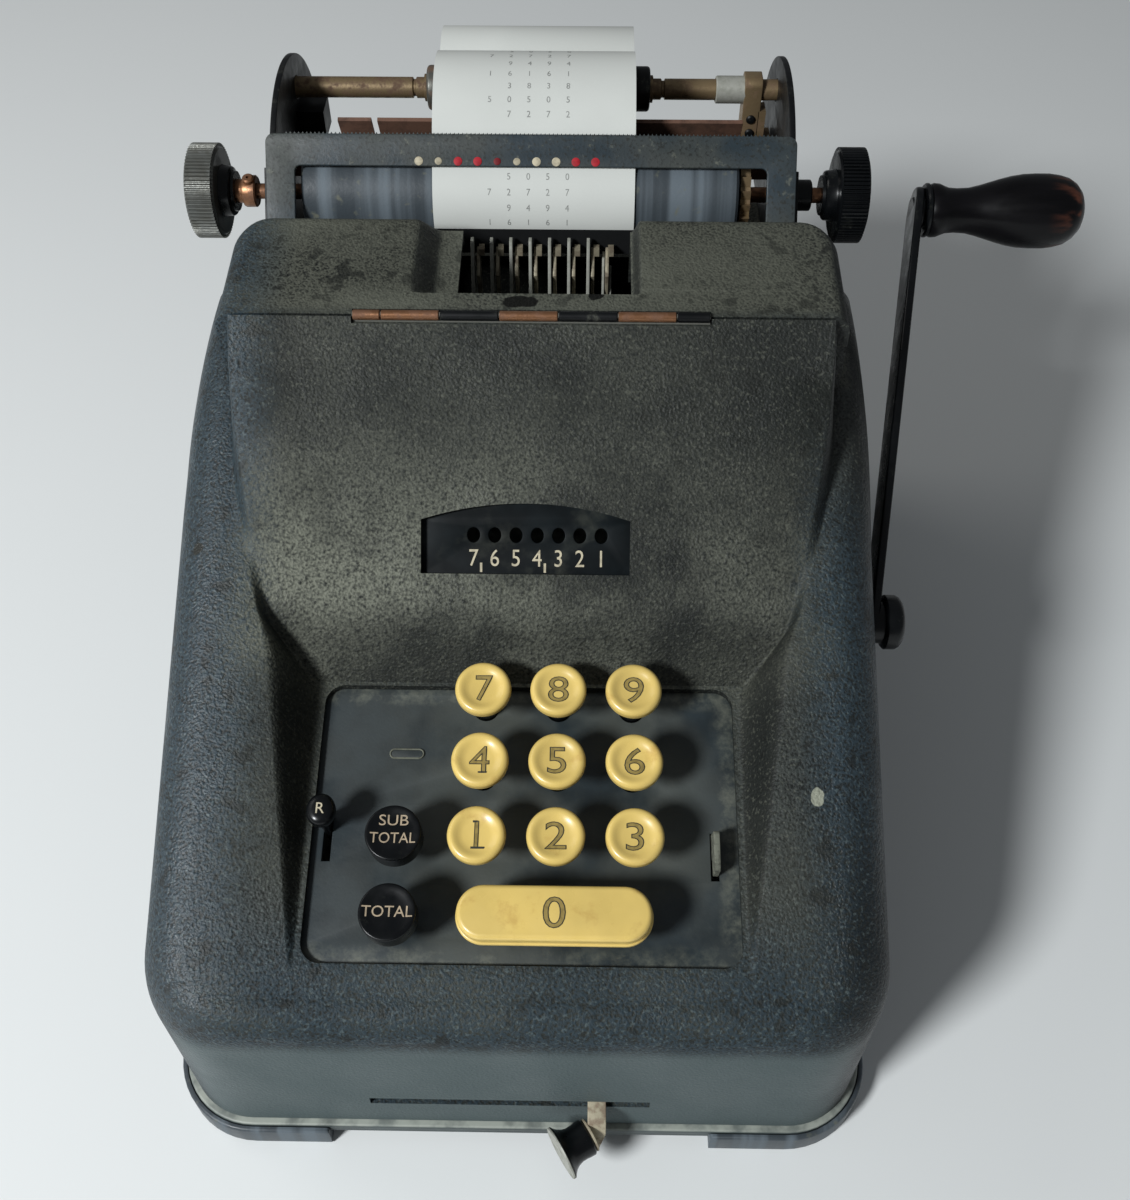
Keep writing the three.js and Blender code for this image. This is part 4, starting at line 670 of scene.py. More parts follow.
def hood_section(y, inset):
    fall = max(0, y - (HOOD_END_Y - HOOD_EDGE_RADIUS)) / HOOD_EDGE_RADIUS
    lip = HOOD_EDGE_RADIUS * (1 - math.sqrt(max(0, 1 - min(1, fall) ** 2)))
    top = hood_top(y) - lip - inset
    half = hood_half(y, inset)
    radius = HOOD_EDGE_RADIUS - min(inset, HOOD_EDGE_RADIUS - 1)
    foot = shoulder_top(min(y, REAR_DROP_Y)) + COVER_SEAM - (4 if inset > 0 else 0)
    drop = NOTCH_DROP * ease(NOTCH_START_Y - NOTCH_RUN, NOTCH_START_Y, y)
    drop -= lip * ease(NOTCH_START_Y, HOOD_END_Y, y)
    low = top - max(0, drop)
    sides = []
    for hand in (1, -1):
        points = [(half, foot)] + arc((half - radius, top - radius), radius, 0, 90, 10)
        sides.append([(hand * x + CENTRE_X, z) for x, z in points])
    steps = 8
    right = [
        (NOTCH_RIGHT_X + mix(2.5, 0, i / steps), mix(top, low, ease(0, 1, i / steps)))
        for i in range(steps + 1)
    ]
    ramp = [
        (mix(NOTCH_LEDGE_X, NOTCH_LEFT_X, i / steps) - inset / 2, mix(low, top, ease(0, 1, i / steps)))
        for i in range(steps + 1)
    ]
    return y, sides[0] + right + ramp + sides[1][::-1]


def hood_stations():
    start = HINGE_Y + 0.3
    corner = HOOD_END_Y - HOOD_CORNER_RADIUS
    notch = NOTCH_START_Y - NOTCH_RUN
    middle = spaced(start, notch, 2) + spaced(notch, NOTCH_START_Y, 0.4) + spaced(NOTCH_START_Y, corner, 3)
    return middle + [corner + HOOD_CORNER_RADIUS * math.sin(math.radians(a)) for a in range(0, 91, 6)]


# Node trees and materials
class Nodes:
    """A node tree that nodes are added to."""

    def node(self, kind, inputs=None, **settings):
        made = self.tree.nodes.new(kind)
        for key, value in settings.items():
            setattr(made, key, value)
        for key, value in (inputs or {}).items():
            if isinstance(value, bpy.types.NodeSocket):
                self.tree.links.new(value, made.inputs[key])
            else:
                made.inputs[key].default_value = value
        return made


class Finish(Nodes):
    """A material of shader nodes, with short ways to add to them."""

    def __init__(self, name, roughness=0.5, metallic=0.0, specular=0.5, coat=0.0):
        self.material = bpy.data.materials.new(name)
        self.material.use_nodes = True
        self.tree = self.material.node_tree
        self.shader = self.tree.nodes["Principled BSDF"]
        self.shader.inputs["Roughness"].default_value = roughness
        self.shader.inputs["Metallic"].default_value = metallic
        self.shader.inputs["Specular IOR Level"].default_value = specular
        self.shader.inputs["Coat Weight"].default_value = coat
        self.shader.inputs["Coat Roughness"].default_value = 0.15
        coordinates = self.node("ShaderNodeTexCoord")
        self.place = coordinates.outputs["Object"]
        self.facing = coordinates.outputs["Normal"]

    def stretched(self, scale):
        """Object coordinates multiplied by a scale for each axis."""
        return self.node("ShaderNodeVectorMath", {0: self.place, 1: scale}, operation="MULTIPLY").outputs[0]

    def noise(self, grain_mm, detail=3.0, roughness=0.5, place=None):
        """Cloudy noise whose blots are about grain_mm wide."""
        settings = {"Scale": 1000 / grain_mm, "Detail": detail, "Roughness": roughness}
        settings["Vector"] = place or self.place
        return self.node("ShaderNodeTexNoise", settings).outputs[0]

    def cells(self, grain_mm):
        """Soft-edged cells about grain_mm wide."""
        settings = {"Vector": self.place, "Scale": 1000 / grain_mm}
        return self.node("ShaderNodeTexVoronoi", settings, feature="SMOOTH_F1").outputs[0]

    def math(self, operation, a, b=0.0):
        return self.node("ShaderNodeMath", {0: a, 1: b}, operation=operation).outputs[0]

    def times(self, a, b):
        return self.math("MULTIPLY", a, b)

    def plus(self, a, b):
        return self.math("ADD", a, b)

    def most(self, a, b):
        return self.math("MAXIMUM", a, b)

    def between(self, value, low, high, to_low=0.0, to_high=1.0):
        """The value's stretch from low to high, spread smoothly over another range."""
        settings = {"Value": value, "From Min": low, "From Max": high, "To Min": to_low, "To Max": to_high}
        return self.node("ShaderNodeMapRange", settings, interpolation_type="SMOOTHSTEP").outputs[0]

    def clouds(self, grain_mm, low, high, to_low=0.0, to_high=1.0, **noise):
        """Noise of which the stretch from low to high is spread over another range."""
        return self.between(self.noise(grain_mm, **noise), low, high, to_low, to_high)

    def axis(self, name, vector=None):
        return self.node("ShaderNodeSeparateXYZ", {0: vector or self.place}).outputs[name]

    def along(self, name, low_mm, high_mm):
        """From 0 to 1 over a stretch of the machine, in its own millimetres along one axis."""
        offset = ORIGIN["XYZ".index(name)]
        return self.between(self.axis(name), offset + low_mm * MM, offset + high_mm * MM)

    def patch(self, x, y, half_x, half_y):
        """A ragged spot of the given half sizes, seen from above."""
        place = ORIGIN + Vector((x, y, 0)) * MM
        stretch = (1 / half_x / MM, 1 / half_y / MM, 0)
        here = self.stretched(stretch)
        there = tuple(a * b for a, b in zip(place, stretch))
        away = self.node("ShaderNodeVectorMath", {0: here, 1: there}, operation="DISTANCE").outputs["Value"]
        ragged = self.plus(away, self.times(self.noise(2.5, detail=4), 0.8))
        return self.between(ragged, 1.45, 1.3)

    def mottled(self, grain_mm, first, second, low=0.35, high=0.65, **noise):
        """Two tones in clouds about grain_mm wide."""
        return self.blended(self.clouds(grain_mm, low, high, **noise), first, second)

    def upward(self, low, high):
        """From 0 to 1 as the surface turns from the side to face up."""
        return self.between(self.axis("Z", self.facing), low, high)

    def blended(self, share, first, second):
        node = self.node("ShaderNodeMix", {"Factor": share}, data_type="RGBA")
        for socket, value in ((node.inputs[6], first), (node.inputs[7], second)):
            if isinstance(value, bpy.types.NodeSocket):
                self.tree.links.new(value, socket)
            else:
                socket.default_value = (*value, 1) if len(value) == 3 else value
        return node.outputs[2]

    def bumped(self, height, depth_mm, strength=1.0):
        settings = {"Height": height, "Distance": depth_mm * MM, "Strength": strength}
        return self.node("ShaderNodeBump", settings).outputs[0]

    def made(self, colour=None, roughness=None, normal=None, metallic=None):
        values = {"Base Color": colour, "Roughness": roughness, "Normal": normal, "Metallic": metallic}
        for name, value in values.items():
            if isinstance(value, bpy.types.NodeSocket):
                self.tree.links.new(value, self.shader.inputs[name])
            elif value is not None:
                self.shader.inputs[name].default_value = (*value, 1) if name == "Base Color" else value
        return self.material


def shade(colour, share):
    """A darker or paler tone of a colour."""
    return tuple(min(1.0, c * share) for c in colour[:3])


def mixed(first, second, share):
    return tuple(mix(a, b, share) for a, b in zip(first[:3], second[:3]))


# Chips in the paint: x, y, half sizes in x and y, and tone of the dust colour
PAINT_CHIPS = (
    (-1.6, 153.2, 4.8, 2.2, 0.03),
    (17.8, 155.8, 2, 1.8, 0.03),
    (-84.5, 106.6, 1.4, 1.4, 0.1),
    (73.6, 50.8, 1.7, 2.2, 1.7),
)


def crackle_paint(colours, sizes):
    """The casing's wrinkled paint: bluer in front and on the arms, with a painted sheen on the arms, painted
    shade and painted glints, and dusty behind the keys.
    """
    finish = Finish("crackle_paint", specular=0.45)
    wrinkle = finish.cells(sizes.wrinkle)
    fine = finish.noise(sizes.wrinkle * 0.8, detail=2)
    grain = finish.plus(finish.times(wrinkle, 0.5), finish.times(fine, 0.8))

    # Tone of the paint by its place, and painted light and shade by the way it faces
    base = finish.mottled(70, shade(colours.crackle, 0.72), colours.crackle)
    # Painted shade: paint that turns away from facing up is darkened
    base = finish.blended(finish.times(finish.upward(0.93, 0.78), 0.9), base, shade(colours.crackle, 0.28))
    # The hood's upward faces go paler: partly settled dust, partly painted light on the top
    lit_dusty_hood_top = finish.times(finish.along("Y", 148, 152), finish.upward(0.8, 0.95))
    base = finish.blended(lit_dusty_hood_top, base, shade(colours.dust, 0.5))
    # The arms' paler, bluer tone: partly the paint's own colour, partly a painted sheen
    right_arm_sheen = finish.times(finish.along("X", 66, 80), finish.along("Y", 135, 95))
    arm_sheen = finish.most(finish.along("X", -60, -76), right_arm_sheen)
    base = finish.blended(arm_sheen, base, shade(colours.brow, 1.15))
    base = finish.blended(finish.along("Y", 30, 8), base, colours.brow)
    # Painted shade on the right front corner, which turns away from the light
    shaded_right_corner = finish.times(finish.along("X", 68, 86), finish.along("Y", 60, 20))
    base = finish.blended(finish.times(shaded_right_corner, 0.8), base, shade(colours.brow, 0.15))

    # Painted shade in the wrinkles' creases, painted glints and dust specks on their tips, and dark spots
    base = finish.blended(finish.between(grain, 0.4, 0.72), shade(colours.crackle, 0.25), base)
    # Pale tips: painted glints at the front and on the arms, dust specks elsewhere
    glinting_fronts = finish.most(arm_sheen, finish.along("Y", 40, 14))
    glint_and_speck_colour = finish.blended(glinting_fronts, shade(colours.dust, 0.8), shade(colours.front_wall, 1.7))
    glint_and_speck_tips = finish.times(finish.clouds(0.9, 0.55, 0.7, detail=2), 0.34)
    base = finish.blended(glint_and_speck_tips, base, glint_and_speck_colour)
    spots = finish.most(finish.clouds(6, 0.62, 0.68, detail=2), finish.clouds(2.6, 0.66, 0.71, detail=2))
    base = finish.blended(finish.times(spots, 0.7), base, shade(colours.crackle, 0.2))

    # Dust, thickest on level paint behind the keys and behind the hinge
    behind_keys = finish.times(finish.along("Y", 70, 90), finish.along("Y", 134, 96))
    middle = finish.times(finish.along("X", -86, -60), finish.along("X", 90, 66))
    amount = finish.plus(finish.times(behind_keys, 1.25), 0.35)
    amount = finish.plus(amount, finish.times(finish.along("Y", 144, 152), 0.65))
    # Dust thins towards the right; this darkening of the right side is painted shade
    amount = finish.times(amount, finish.plus(finish.times(finish.along("X", 62, 14), 0.5), 0.5))
    settled_dust = finish.clouds(45, 0.34, 0.66, detail=6, roughness=0.6)
    dust = finish.times(finish.times(finish.upward(0.1, 0.75), settled_dust), finish.times(amount, middle))
    dust = finish.times(finish.times(dust, sizes.dust), finish.between(grain, 0.95, 0.35))
    base = finish.blended(dust, base, colours.dust)

    # The front wall's own colour, and the chips
    facing_front = finish.between(finish.axis("Y", finish.facing), -0.7, -0.95)
    wall = finish.times(finish.along("Z", 62, 54), facing_front)
    base = finish.blended(wall, base, colours.front_wall)
    for x, y, half_x, half_y, tone in PAINT_CHIPS:
        base = finish.blended(finish.patch(x, y, half_x, half_y), base, shade(colours.dust, tone))

    # Cleaner paint at the sides shines more
    clean = finish.math("SUBTRACT", 1.0, middle)
    shine = finish.shader.inputs["Specular IOR Level"]
    finish.tree.links.new(finish.between(clean, 0, 1, 0.2, 0.42), shine)
    roughness = finish.plus(finish.clouds(20, 0.3, 0.7, 0.5, 0.66), finish.times(clean, -0.12))
    depth = finish.times(grain, finish.math("SUBTRACT", 1.0, finish.times(wall, 0.5)))
    return finish.made(base, roughness, finish.bumped(depth, 0.42, 0.9))


def carriage_paint(colours, sizes):
    """The tear bar's paint: a fine speckle, with dust worn into it."""
    finish = Finish("carriage_paint", specular=0.4)
    fine = finish.noise(0.9, detail=3)
    base = finish.mottled(24, shade(colours.brow, 0.9), shade(colours.crackle, 0.95))
    base = finish.blended(finish.between(fine, 0.5, 0.72), base, shade(colours.crackle, 0.4))
    scuffs = finish.times(finish.clouds(3, 0.58, 0.76, detail=6, roughness=0.7), sizes.dust)
    base = finish.blended(scuffs, base, shade(colours.dust, 1.1))
    return finish.made(base, finish.clouds(12, 0.3, 0.7, 0.42, 0.6), finish.bumped(fine, 0.1, 0.6))


def smooth_paint(colours):
    finish = Finish("smooth_paint")
    rubbed = finish.clouds(5, 0.3, 0.6, 0.35, 1.0, detail=5)
    # Upward faces go pale where rubbed: partly wear, partly a painted highlight along the pan's edge
    edge = finish.times(finish.upward(0.2, 0.9), rubbed)
    base = finish.mottled(30, shade(colours.front_wall, 0.5), shade(colours.front_wall, 0.8))
    base = finish.blended(edge, base, shade(mixed(colours.front_wall, colours.lettering, 0.15), 2.2))
    return finish.made(base, 0.5, finish.bumped(finish.noise(1.2), 0.05))


def panel_paint(colours, sizes):
    finish = Finish("panel_paint")
    cloud = finish.clouds(26, 0.36, 0.62, detail=5)
    middle = finish.times(finish.along("X", -40, -5), finish.along("X", 58, 30))
    dust = finish.times(cloud, finish.plus(finish.times(middle, 0.3), 0.12))
    rim = finish.most(finish.along("X", 48, 53), finish.along("Y", 22, 16))
    rim = finish.most(rim, finish.along("Y", 78, 82))
    lint = finish.clouds(4, 0.3, 0.8, detail=6, roughness=0.7)
    dust = finish.most(dust, finish.times(rim, lint))
    base = finish.mottled(9, shade(colours.panel, 0.7), colours.panel)
    base = finish.blended(finish.times(dust, sizes.dust), base, colours.dust)
    return finish.made(
        base, finish.between(cloud, 0, 1, 0.4, 0.6), finish.bumped(finish.noise(0.8), 0.06, 0.6)
    )


def window_paint(colours):
    finish = Finish("window_paint", specular=0.1)
    base = finish.mottled(18, shade(colours.panel, 0.15), shade(colours.panel, 0.33), detail=4)
    smear = finish.clouds(12, 0.5, 0.75, detail=5, roughness=0.6)
    base = finish.blended(finish.times(smear, 0.18), base, colours.dust)
    return finish.made(base, finish.clouds(7, 0.3, 0.7, 0.42, 0.6))


def cream_plastic(colours):
    finish = Finish("cream_plastic", coat=0.25)
    base = finish.mottled(14, shade(colours.cream, 0.88), colours.cream, 0.3, 0.7)
    smear = finish.clouds(9, 0.56, 0.72, detail=5, roughness=0.65)
    base = finish.blended(finish.times(smear, 0.4), base, colours.grime)
    return finish.made(base, finish.clouds(6, 0.3, 0.7, 0.26, 0.42), finish.bumped(finish.noise(3), 0.03))


def worn_black(name, colours, roughness, wear):
    """Black plastic or enamel, rubbed to the dust's colour here and there."""
    finish = Finish(name, specular=0.25, coat=0.05)
    rub = finish.clouds(7, 0.56, 0.78, detail=7, roughness=0.72)
    base = finish.mottled(9, shade(colours.black, 0.7), colours.black, 0.3, 0.7)
    base = finish.blended(finish.times(rub, wear), base, shade(colours.dust, 0.7))
    return finish.made(base, finish.clouds(5, 0.3, 0.7, roughness, roughness + 0.15))


def rubber(colours):
    finish = Finish("rubber", specular=0.4)
    bands = finish.noise(5, detail=4, place=finish.stretched((1, 0.02, 0.02)))
    base = finish.blended(
        finish.between(bands, 0.4, 0.68), shade(colours.rubber, 0.6), shade(colours.rubber, 1.5)
    )
    base = finish.blended(finish.clouds(3, 0.6, 0.8, detail=4), base, shade(colours.dust, 0.8))
    return finish.made(base, finish.between(bands, 0.3, 0.7, 0.35, 0.6), finish.bumped(finish.noise(1), 0.04))


def metal(name, colour, tarnish, grain_mm, spotted, roughness, bright):
    """A metal that has gone dull in spots."""
    finish = Finish(name, metallic=bright, specular=0.4)
    spots = finish.clouds(grain_mm, 0.42, 0.64, detail=5, roughness=0.65)
    share = finish.times(spots, spotted)
    base = finish.blended(share, colour, tarnish)
    rough = finish.between(share, 0, 1, roughness, 0.85)
    pits = finish.bumped(finish.noise(0.9, detail=3), 0.05)
    return finish.made(base, rough, pits, finish.between(share, 0, 1, bright, bright * 0.25))


def paper(colours):
    finish = Finish("paper", specular=0.2)
    tone = finish.clouds(40, 0.35, 0.65, detail=3)
    base = finish.blended(tone, shade(colours.paper, 0.94), colours.paper)
    return finish.made(base, 0.9, finish.bumped(finish.noise(0.5, detail=2), 0.02))


def roll_side(colours):
    """The roll's wound edge: rings round its axis."""
    finish = Finish("roll_side", specular=0.2)
    centre = ORIGIN + Vector((0, ROLL_Y, ROLL_Z)) * MM
    flat = finish.stretched((0, 1, 1))
    spread = finish.node("ShaderNodeVectorMath", {0: flat, 1: (0, centre.y, centre.z)}, operation="DISTANCE")
    rings = finish.math("SINE", finish.times(spread.outputs["Value"], 9000))
    base = finish.blended(finish.between(rings, -1, 1), shade(colours.paper, 0.7), colours.paper)
    return finish.made(base, 0.9)


def dark_wood(colours):
    finish = Finish("dark_wood", specular=0.15, coat=0.05)
    grain = finish.noise(7, detail=5, place=finish.stretched((0.25, 1.6, 1.6)))
    base = finish.blended(finish.between(grain, 0.35, 0.65), shade(colours.wood, 0.6), colours.wood)
    worn = finish.times(finish.along("X", 148, 160), finish.between(grain, 0.5, 0.66))
    base = finish.blended(worn, base, colours.bare_wood)
    return finish.made(base, finish.between(grain, 0.3, 0.7, 0.24, 0.4), finish.bumped(grain, 0.08, 0.5))


def lacquer(name, colour, roughness):
    """Printed or painted marks, a little uneven."""
    finish = Finish(name, specular=0.3)
    base = finish.mottled(1.5, colour, shade(colour, 0.7), 0.4, 0.7, detail=3)
    return finish.made(base, roughness)


def floor_cloth(colours):
    finish = Finish("floor_cloth", roughness=0.95, specular=0.1)
    return finish.made(finish.blended(finish.noise(160), shade(colours.floor, 0.985), colours.floor))


FINISHES = {}


def mix_finishes(scene):
    """Makes every finish once, from the colours and sizes in the panel."""
    colours, sizes = scene.machine_colours, scene.machine_sizes
    steel, brass, copper, rust, dust = colours.steel, colours.brass, colours.copper, colours.rust, colours.dust
    pale, red = colours.lettering, colours.red
    for recipe in (crackle_paint, carriage_paint, panel_paint):
        FINISHES[recipe.__name__] = recipe(colours, sizes)
    for recipe in (
        smooth_paint, window_paint, cream_plastic, rubber, paper, roll_side, dark_wood, floor_cloth
    ):
        FINISHES[recipe.__name__] = recipe(colours)
    # Roughness and wear
    blacks = {
        "black_plastic": (0.24, 0.2),
        "knob_black": (0.2, 0.3),
        "black_steel": (0.25, 0.2),
        "worn_black": (0.4, 0.8),
    }
    for name, values in blacks.items():
        FINISHES[name] = worn_black(name, colours, *values)
    # Colour, tarnish, grain in millimetres, how spotted, roughness and how metallic
    metals = {
        # A paler grey copy of the knobs' black for the lit left knob: painted highlight
        "knob_lit_grey": (shade(steel, 0.42), mixed(steel, colours.brow, 0.7), 9, 0.5, 0.3, 0.5),
        "steel": (steel, shade(steel, 0.4), 4, 0.6, 0.4, 0.5),
        "brass": (brass, shade(rust, 0.9), 4, 0.6, 0.4, 0.6),
        "old_brass": (shade(pale, 0.55), shade(rust, 0.6), 3, 0.6, 0.5, 0.3),
        "copper": (copper, rust, 4, 0.6, 0.36, 0.7),
        "rusty_rod": (shade(brass, 0.8), shade(rust, 0.9), 3, 0.8, 0.45, 0.5),
        "rusty_steel": (shade(rust, 1.6), shade(rust, 0.8), 6, 0.9, 0.7, 0.1),
        "old_tab": (shade(dust, 1.1), shade(dust, 0.25), 2.5, 0.8, 0.7, 0.2),
        "lever_metal": (shade(pale, 0.8), shade(rust, 1.4), 2.5, 0.6, 0.6, 0.15),
        "dull_steel": (shade(steel, 0.35), shade(copper, 0.5), 6, 0.7, 0.4, 0.5),
        "sleeve": (shade(steel, 1.3), dust, 3, 0.5, 0.5, 0.3),
    }
    for name, values in metals.items():
        FINISHES[name] = metal(name, *values)
    for name, colour in (("ribbon_cloth", shade(colours.black, 0.8)), ("dust_line", shade(dust, 0.9))):
        FINISHES[name] = lacquer(name, colour, 0.9)
    marks = {
        "ink": shade(dust, 0.25),
        "print": shade(colours.paper, 0.45),
        "pale_lettering": pale,
        "tan_lettering": mixed(pale, copper, 0.4),
        "cream_dot": pale,
        "red_dot": red,
        "worn_dot": shade(pale, 0.75),
        "dull_dot": shade(red, 0.45),
        "engraving": shade(colours.cream, 0.42),
    }
    for name, colour in marks.items():
        FINISHES[name] = lacquer(name, colour, 0.6)


# Geometry Nodes for what repeats
class Pattern(Nodes):
    """A Geometry Nodes tree that repeats the shape of the object it is put on."""

    def __init__(self, name, sizes):
        self.tree = bpy.data.node_groups.new(name, "GeometryNodeTree")
        self.tree.interface.new_socket("Geometry", in_out="INPUT", socket_type="NodeSocketGeometry")
        self.tree.interface.new_socket("Geometry", in_out="OUTPUT", socket_type="NodeSocketGeometry")
        kinds = {"Count": "NodeSocketInt", "Material": "NodeSocketMaterial"}
        for size in (*sizes, "Material"):
            self.tree.interface.new_socket(
                size, in_out="INPUT", socket_type=kinds.get(size, "NodeSocketVector")
            )
        self.start = self.tree.nodes.new("NodeGroupInput")

    def finish(self, points, rotation=None):
        """Puts the shape on each point, makes it real and gives it the material."""
        copies = self.node(
            "GeometryNodeInstanceOnPoints", {"Points": points, "Instance": self.start.outputs["Geometry"]}
        )
        if rotation is not None:
            self.tree.links.new(rotation, copies.inputs["Rotation"])
        real = self.node("GeometryNodeRealizeInstances", {"Geometry": copies.outputs[0]})
        faced = self.node(
            "GeometryNodeSetMaterial",
            {"Geometry": real.outputs[0], "Material": self.start.outputs["Material"]}
        )
        end = self.tree.nodes.new("NodeGroupOutput")
        self.tree.links.new(faced.outputs[0], end.inputs["Geometry"])
        return self.tree


def row_pattern():
    """Copies along a straight line, each one step on from the last."""
    row = Pattern("row_of_copies", ("Count", "Step"))
    line = row.node(
        "GeometryNodeMeshLine", {"Count": row.start.outputs["Count"], "Offset": row.start.outputs["Step"]}
    )
    return row.finish(line.outputs[0])


def ring_pattern():
    """Copies turned evenly about the X direction through a centre, for a shape modelled round nothing."""
    ring = Pattern("ring_of_copies", ("Count", "Centre"))
    start = ring.start.outputs
    line = ring.node(
        "GeometryNodeMeshLine",
        {"Count": start["Count"], "Start Location": start["Centre"], "Offset": (0, 0, 0)}
    )
    turn = ring.node("ShaderNodeMath", {0: 2 * math.pi, 1: start["Count"]}, operation="DIVIDE")
    angle = ring.node(
        "ShaderNodeMath", {0: ring.node("GeometryNodeInputIndex").outputs[0], 1: turn.outputs[0]},
        operation="MULTIPLY"
    )
    axes = ring.node("ShaderNodeCombineXYZ", {"X": angle.outputs[0]})
    return ring.finish(line.outputs[0], axes.outputs[0])


PATTERNS = {"row_of_copies": row_pattern, "ring_of_copies": ring_pattern}


def repeated(piece, kind, finish, **sizes):
    """Repeats a piece by a pattern and leaves a plain mesh."""
    tree = bpy.data.node_groups.get(kind) or PATTERNS[kind]()
    modifier = piece.modifiers.new("repeat", "NODES")
    modifier.node_group = tree
    values = sizes | {"Material": FINISHES[finish]}
    for socket in tree.interface.items_tree:
        if socket.in_out == "INPUT" and socket.name in values:
            modifier[socket.identifier] = values[socket.name]
    return settled(piece)


# Finishing
def finished(piece, finish, body, *nodes, angle=35):
    """Gives a piece its finish and its body, and hides the frame's nodes that it stands for."""
    if finish is not None:
        painted(piece, finish)
    piece.data.shade_smooth()
    piece.data.set_sharp_from_angle(angle=math.radians(angle))
    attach(piece, body)
    if nodes:
        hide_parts(*nodes)
    return piece


def painted(piece, finish):
    """Gives a part of a piece its own finish before it is joined."""
    piece.data.materials.clear()
    piece.data.materials.append(FINISHES[finish])
    return piece


def repainted(finish, *nodes):
    """Gives the frame's own nodes a finish."""
    for name in nodes:
        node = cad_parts[name]
        node.data.materials.clear()
        node.data.materials.append(FINISHES[finish])


# Casing and base
def hinge_room(front, rear, low):
    """What the hinge takes out of the casing's or the cover's sheet."""
    left, right = CENTRE_X - HINGE_LENGTH / 2 - GAP, CENTRE_X + HINGE_LENGTH / 2 + GAP
    return block("hinge_room", left, right, front, rear, low, HINGE_Z + 4)


def casing():
    outer = loft("casing", [casing_section(y, 0) for y in casing_stations(0)])
    hollow = loft("hollow", [casing_section(y, WALL) for y in casing_stations(WALL)])
    left, right = CENTRE_X - PANEL_HALF, CENTRE_X + PANEL_HALF
    opening = rounded_rectangle(left, right, PANEL_START_Y, PANEL_REAR_Y, PANEL_CORNER)
    keyboard = plate("keyboard_opening", [opening], PANEL_START_Z - 6, lip_top(PANEL_REAR_Y) + 8)
    window = plate("window_opening", [window_outline(0)], -4, 6, on_window())
    left, right = LEVER_SLOT_X - LEVER_SLOT_HALF, LEVER_SLOT_X + LEVER_SLOT_HALF
    low, high = LEVER_SLOT_Z - LEVER_SLOT_HEIGHT / 2, LEVER_SLOT_Z + LEVER_SLOT_HEIGHT / 2
    slot = block("lever_slot", left, right, -1, WALL + 1, low, high)
    shaft = turned(
        "shaft_hole", cylinder(CRANK_SHAFT_RADIUS + 1, -6, 2), 32, along_x(BODY_HALF, CRANK_Y, CRANK_Z)
    )
    bay = block("bay", -OPENING_HALF, OPENING_HALF, HUMP_END_Y + 2, CARRIAGE_SILL_Y, REAR_DECK_Z - 8, 190)
    hinge = hinge_room(HINGE_Y - KNUCKLE_RADIUS - GAP, HINGE_Y + 1, HINGE_Z - KNUCKLE_RADIUS - GAP)
    shell = carved(outer, hollow, keyboard, window, slot, shaft, bay, hinge)
    guides = [(low - 1, LEVER_SLOT_Z - LEVER_GUIDE_GAP), (LEVER_SLOT_Z + LEVER_GUIDE_GAP, high + 1)]
    guides = [block("lever_guide", left - 1, right + 1, WALL, WALL + 0.8, *ends) for ends in guides]
    finished(joined("casing", [shell, *guides]), "crackle_paint", "machine", "main_casing")


def base_and_feet():
    def outline(margin):
        half, front, rear = BODY_HALF + margin, CORNER_RADIUS + margin, REAR_CORNER_RADIUS + margin
        return rounded_rectangle(-half, half, -margin, BODY_DEPTH + margin, front, rear, 12)

    pan = plate("pan", [outline(PAN_FLANGE)], PAN_BOTTOM_Z, PAN_TOP_Z, bevel=0.7)
    rim = plate(
        "rim", [outline(-WALL - 2 * GAP), outline(-2 * WALL - 2 * GAP)], PAN_TOP_Z - 1,
        PAN_TOP_Z + PAN_RIM_HEIGHT
    )
    reach = BODY_HALF + PAN_FLANGE + FOOT_OVERHANG - FOOT_ARM - GAP
    lip = block("lip", -reach, reach, -PAN_FLANGE, -PAN_FLANGE + 1.6, PAN_BOTTOM_Z - 1.1, PAN_BOTTOM_Z + 0.6)
    finished(joined("base_pan_pressing", [pan, rim, lip]), "smooth_paint", "machine", "base_pan")
    for end in ("front", "rear"):
        for hand, side in ((-1, "left"), (1, "right")):
            outside = corner_outline(PAN_FLANGE + FOOT_OVERHANG, hand, end == "rear")
            inside = corner_outline(PAN_FLANGE + FOOT_OVERHANG - FOOT_WIDTH, hand, end == "rear")
            ring = plate("foot", [outside + inside[::-1]], 0, FOOT_HEIGHT + FOOT_LIP, bevel=0.8, steps=3)
            seat = plate("seat", [outline(PAN_FLANGE + GAP)], FOOT_HEIGHT, FOOT_HEIGHT + 2 * FOOT_LIP)
            foot = carved(ring, seat)
            foot.name = "rubber_foot_%s_%s" % (end, side)
            finished(foot, "rubber", "machine", "foot_%s_%s" % (end, side))


def corner_outline(margin, hand, rear):
    """A foot's edge at some distance outside the body: along the front, round the corner, along the side."""
    radius = (REAR_CORNER_RADIUS if rear else CORNER_RADIUS) + margin
    side = BODY_HALF + margin
    reach_x = BODY_HALF + PAN_FLANGE + FOOT_OVERHANG - FOOT_ARM
    reach_y = FOOT_ARM - PAN_FLANGE - FOOT_OVERHANG
    corner = arc((side - radius, radius - margin), radius, -90, 0, 12)
    points = [(reach_x, -margin), *corner, (side, reach_y)]
    if rear:
        points = [(x, BODY_DEPTH - y) for x, y in points]
    return [(hand * x, y) for x, y in points]


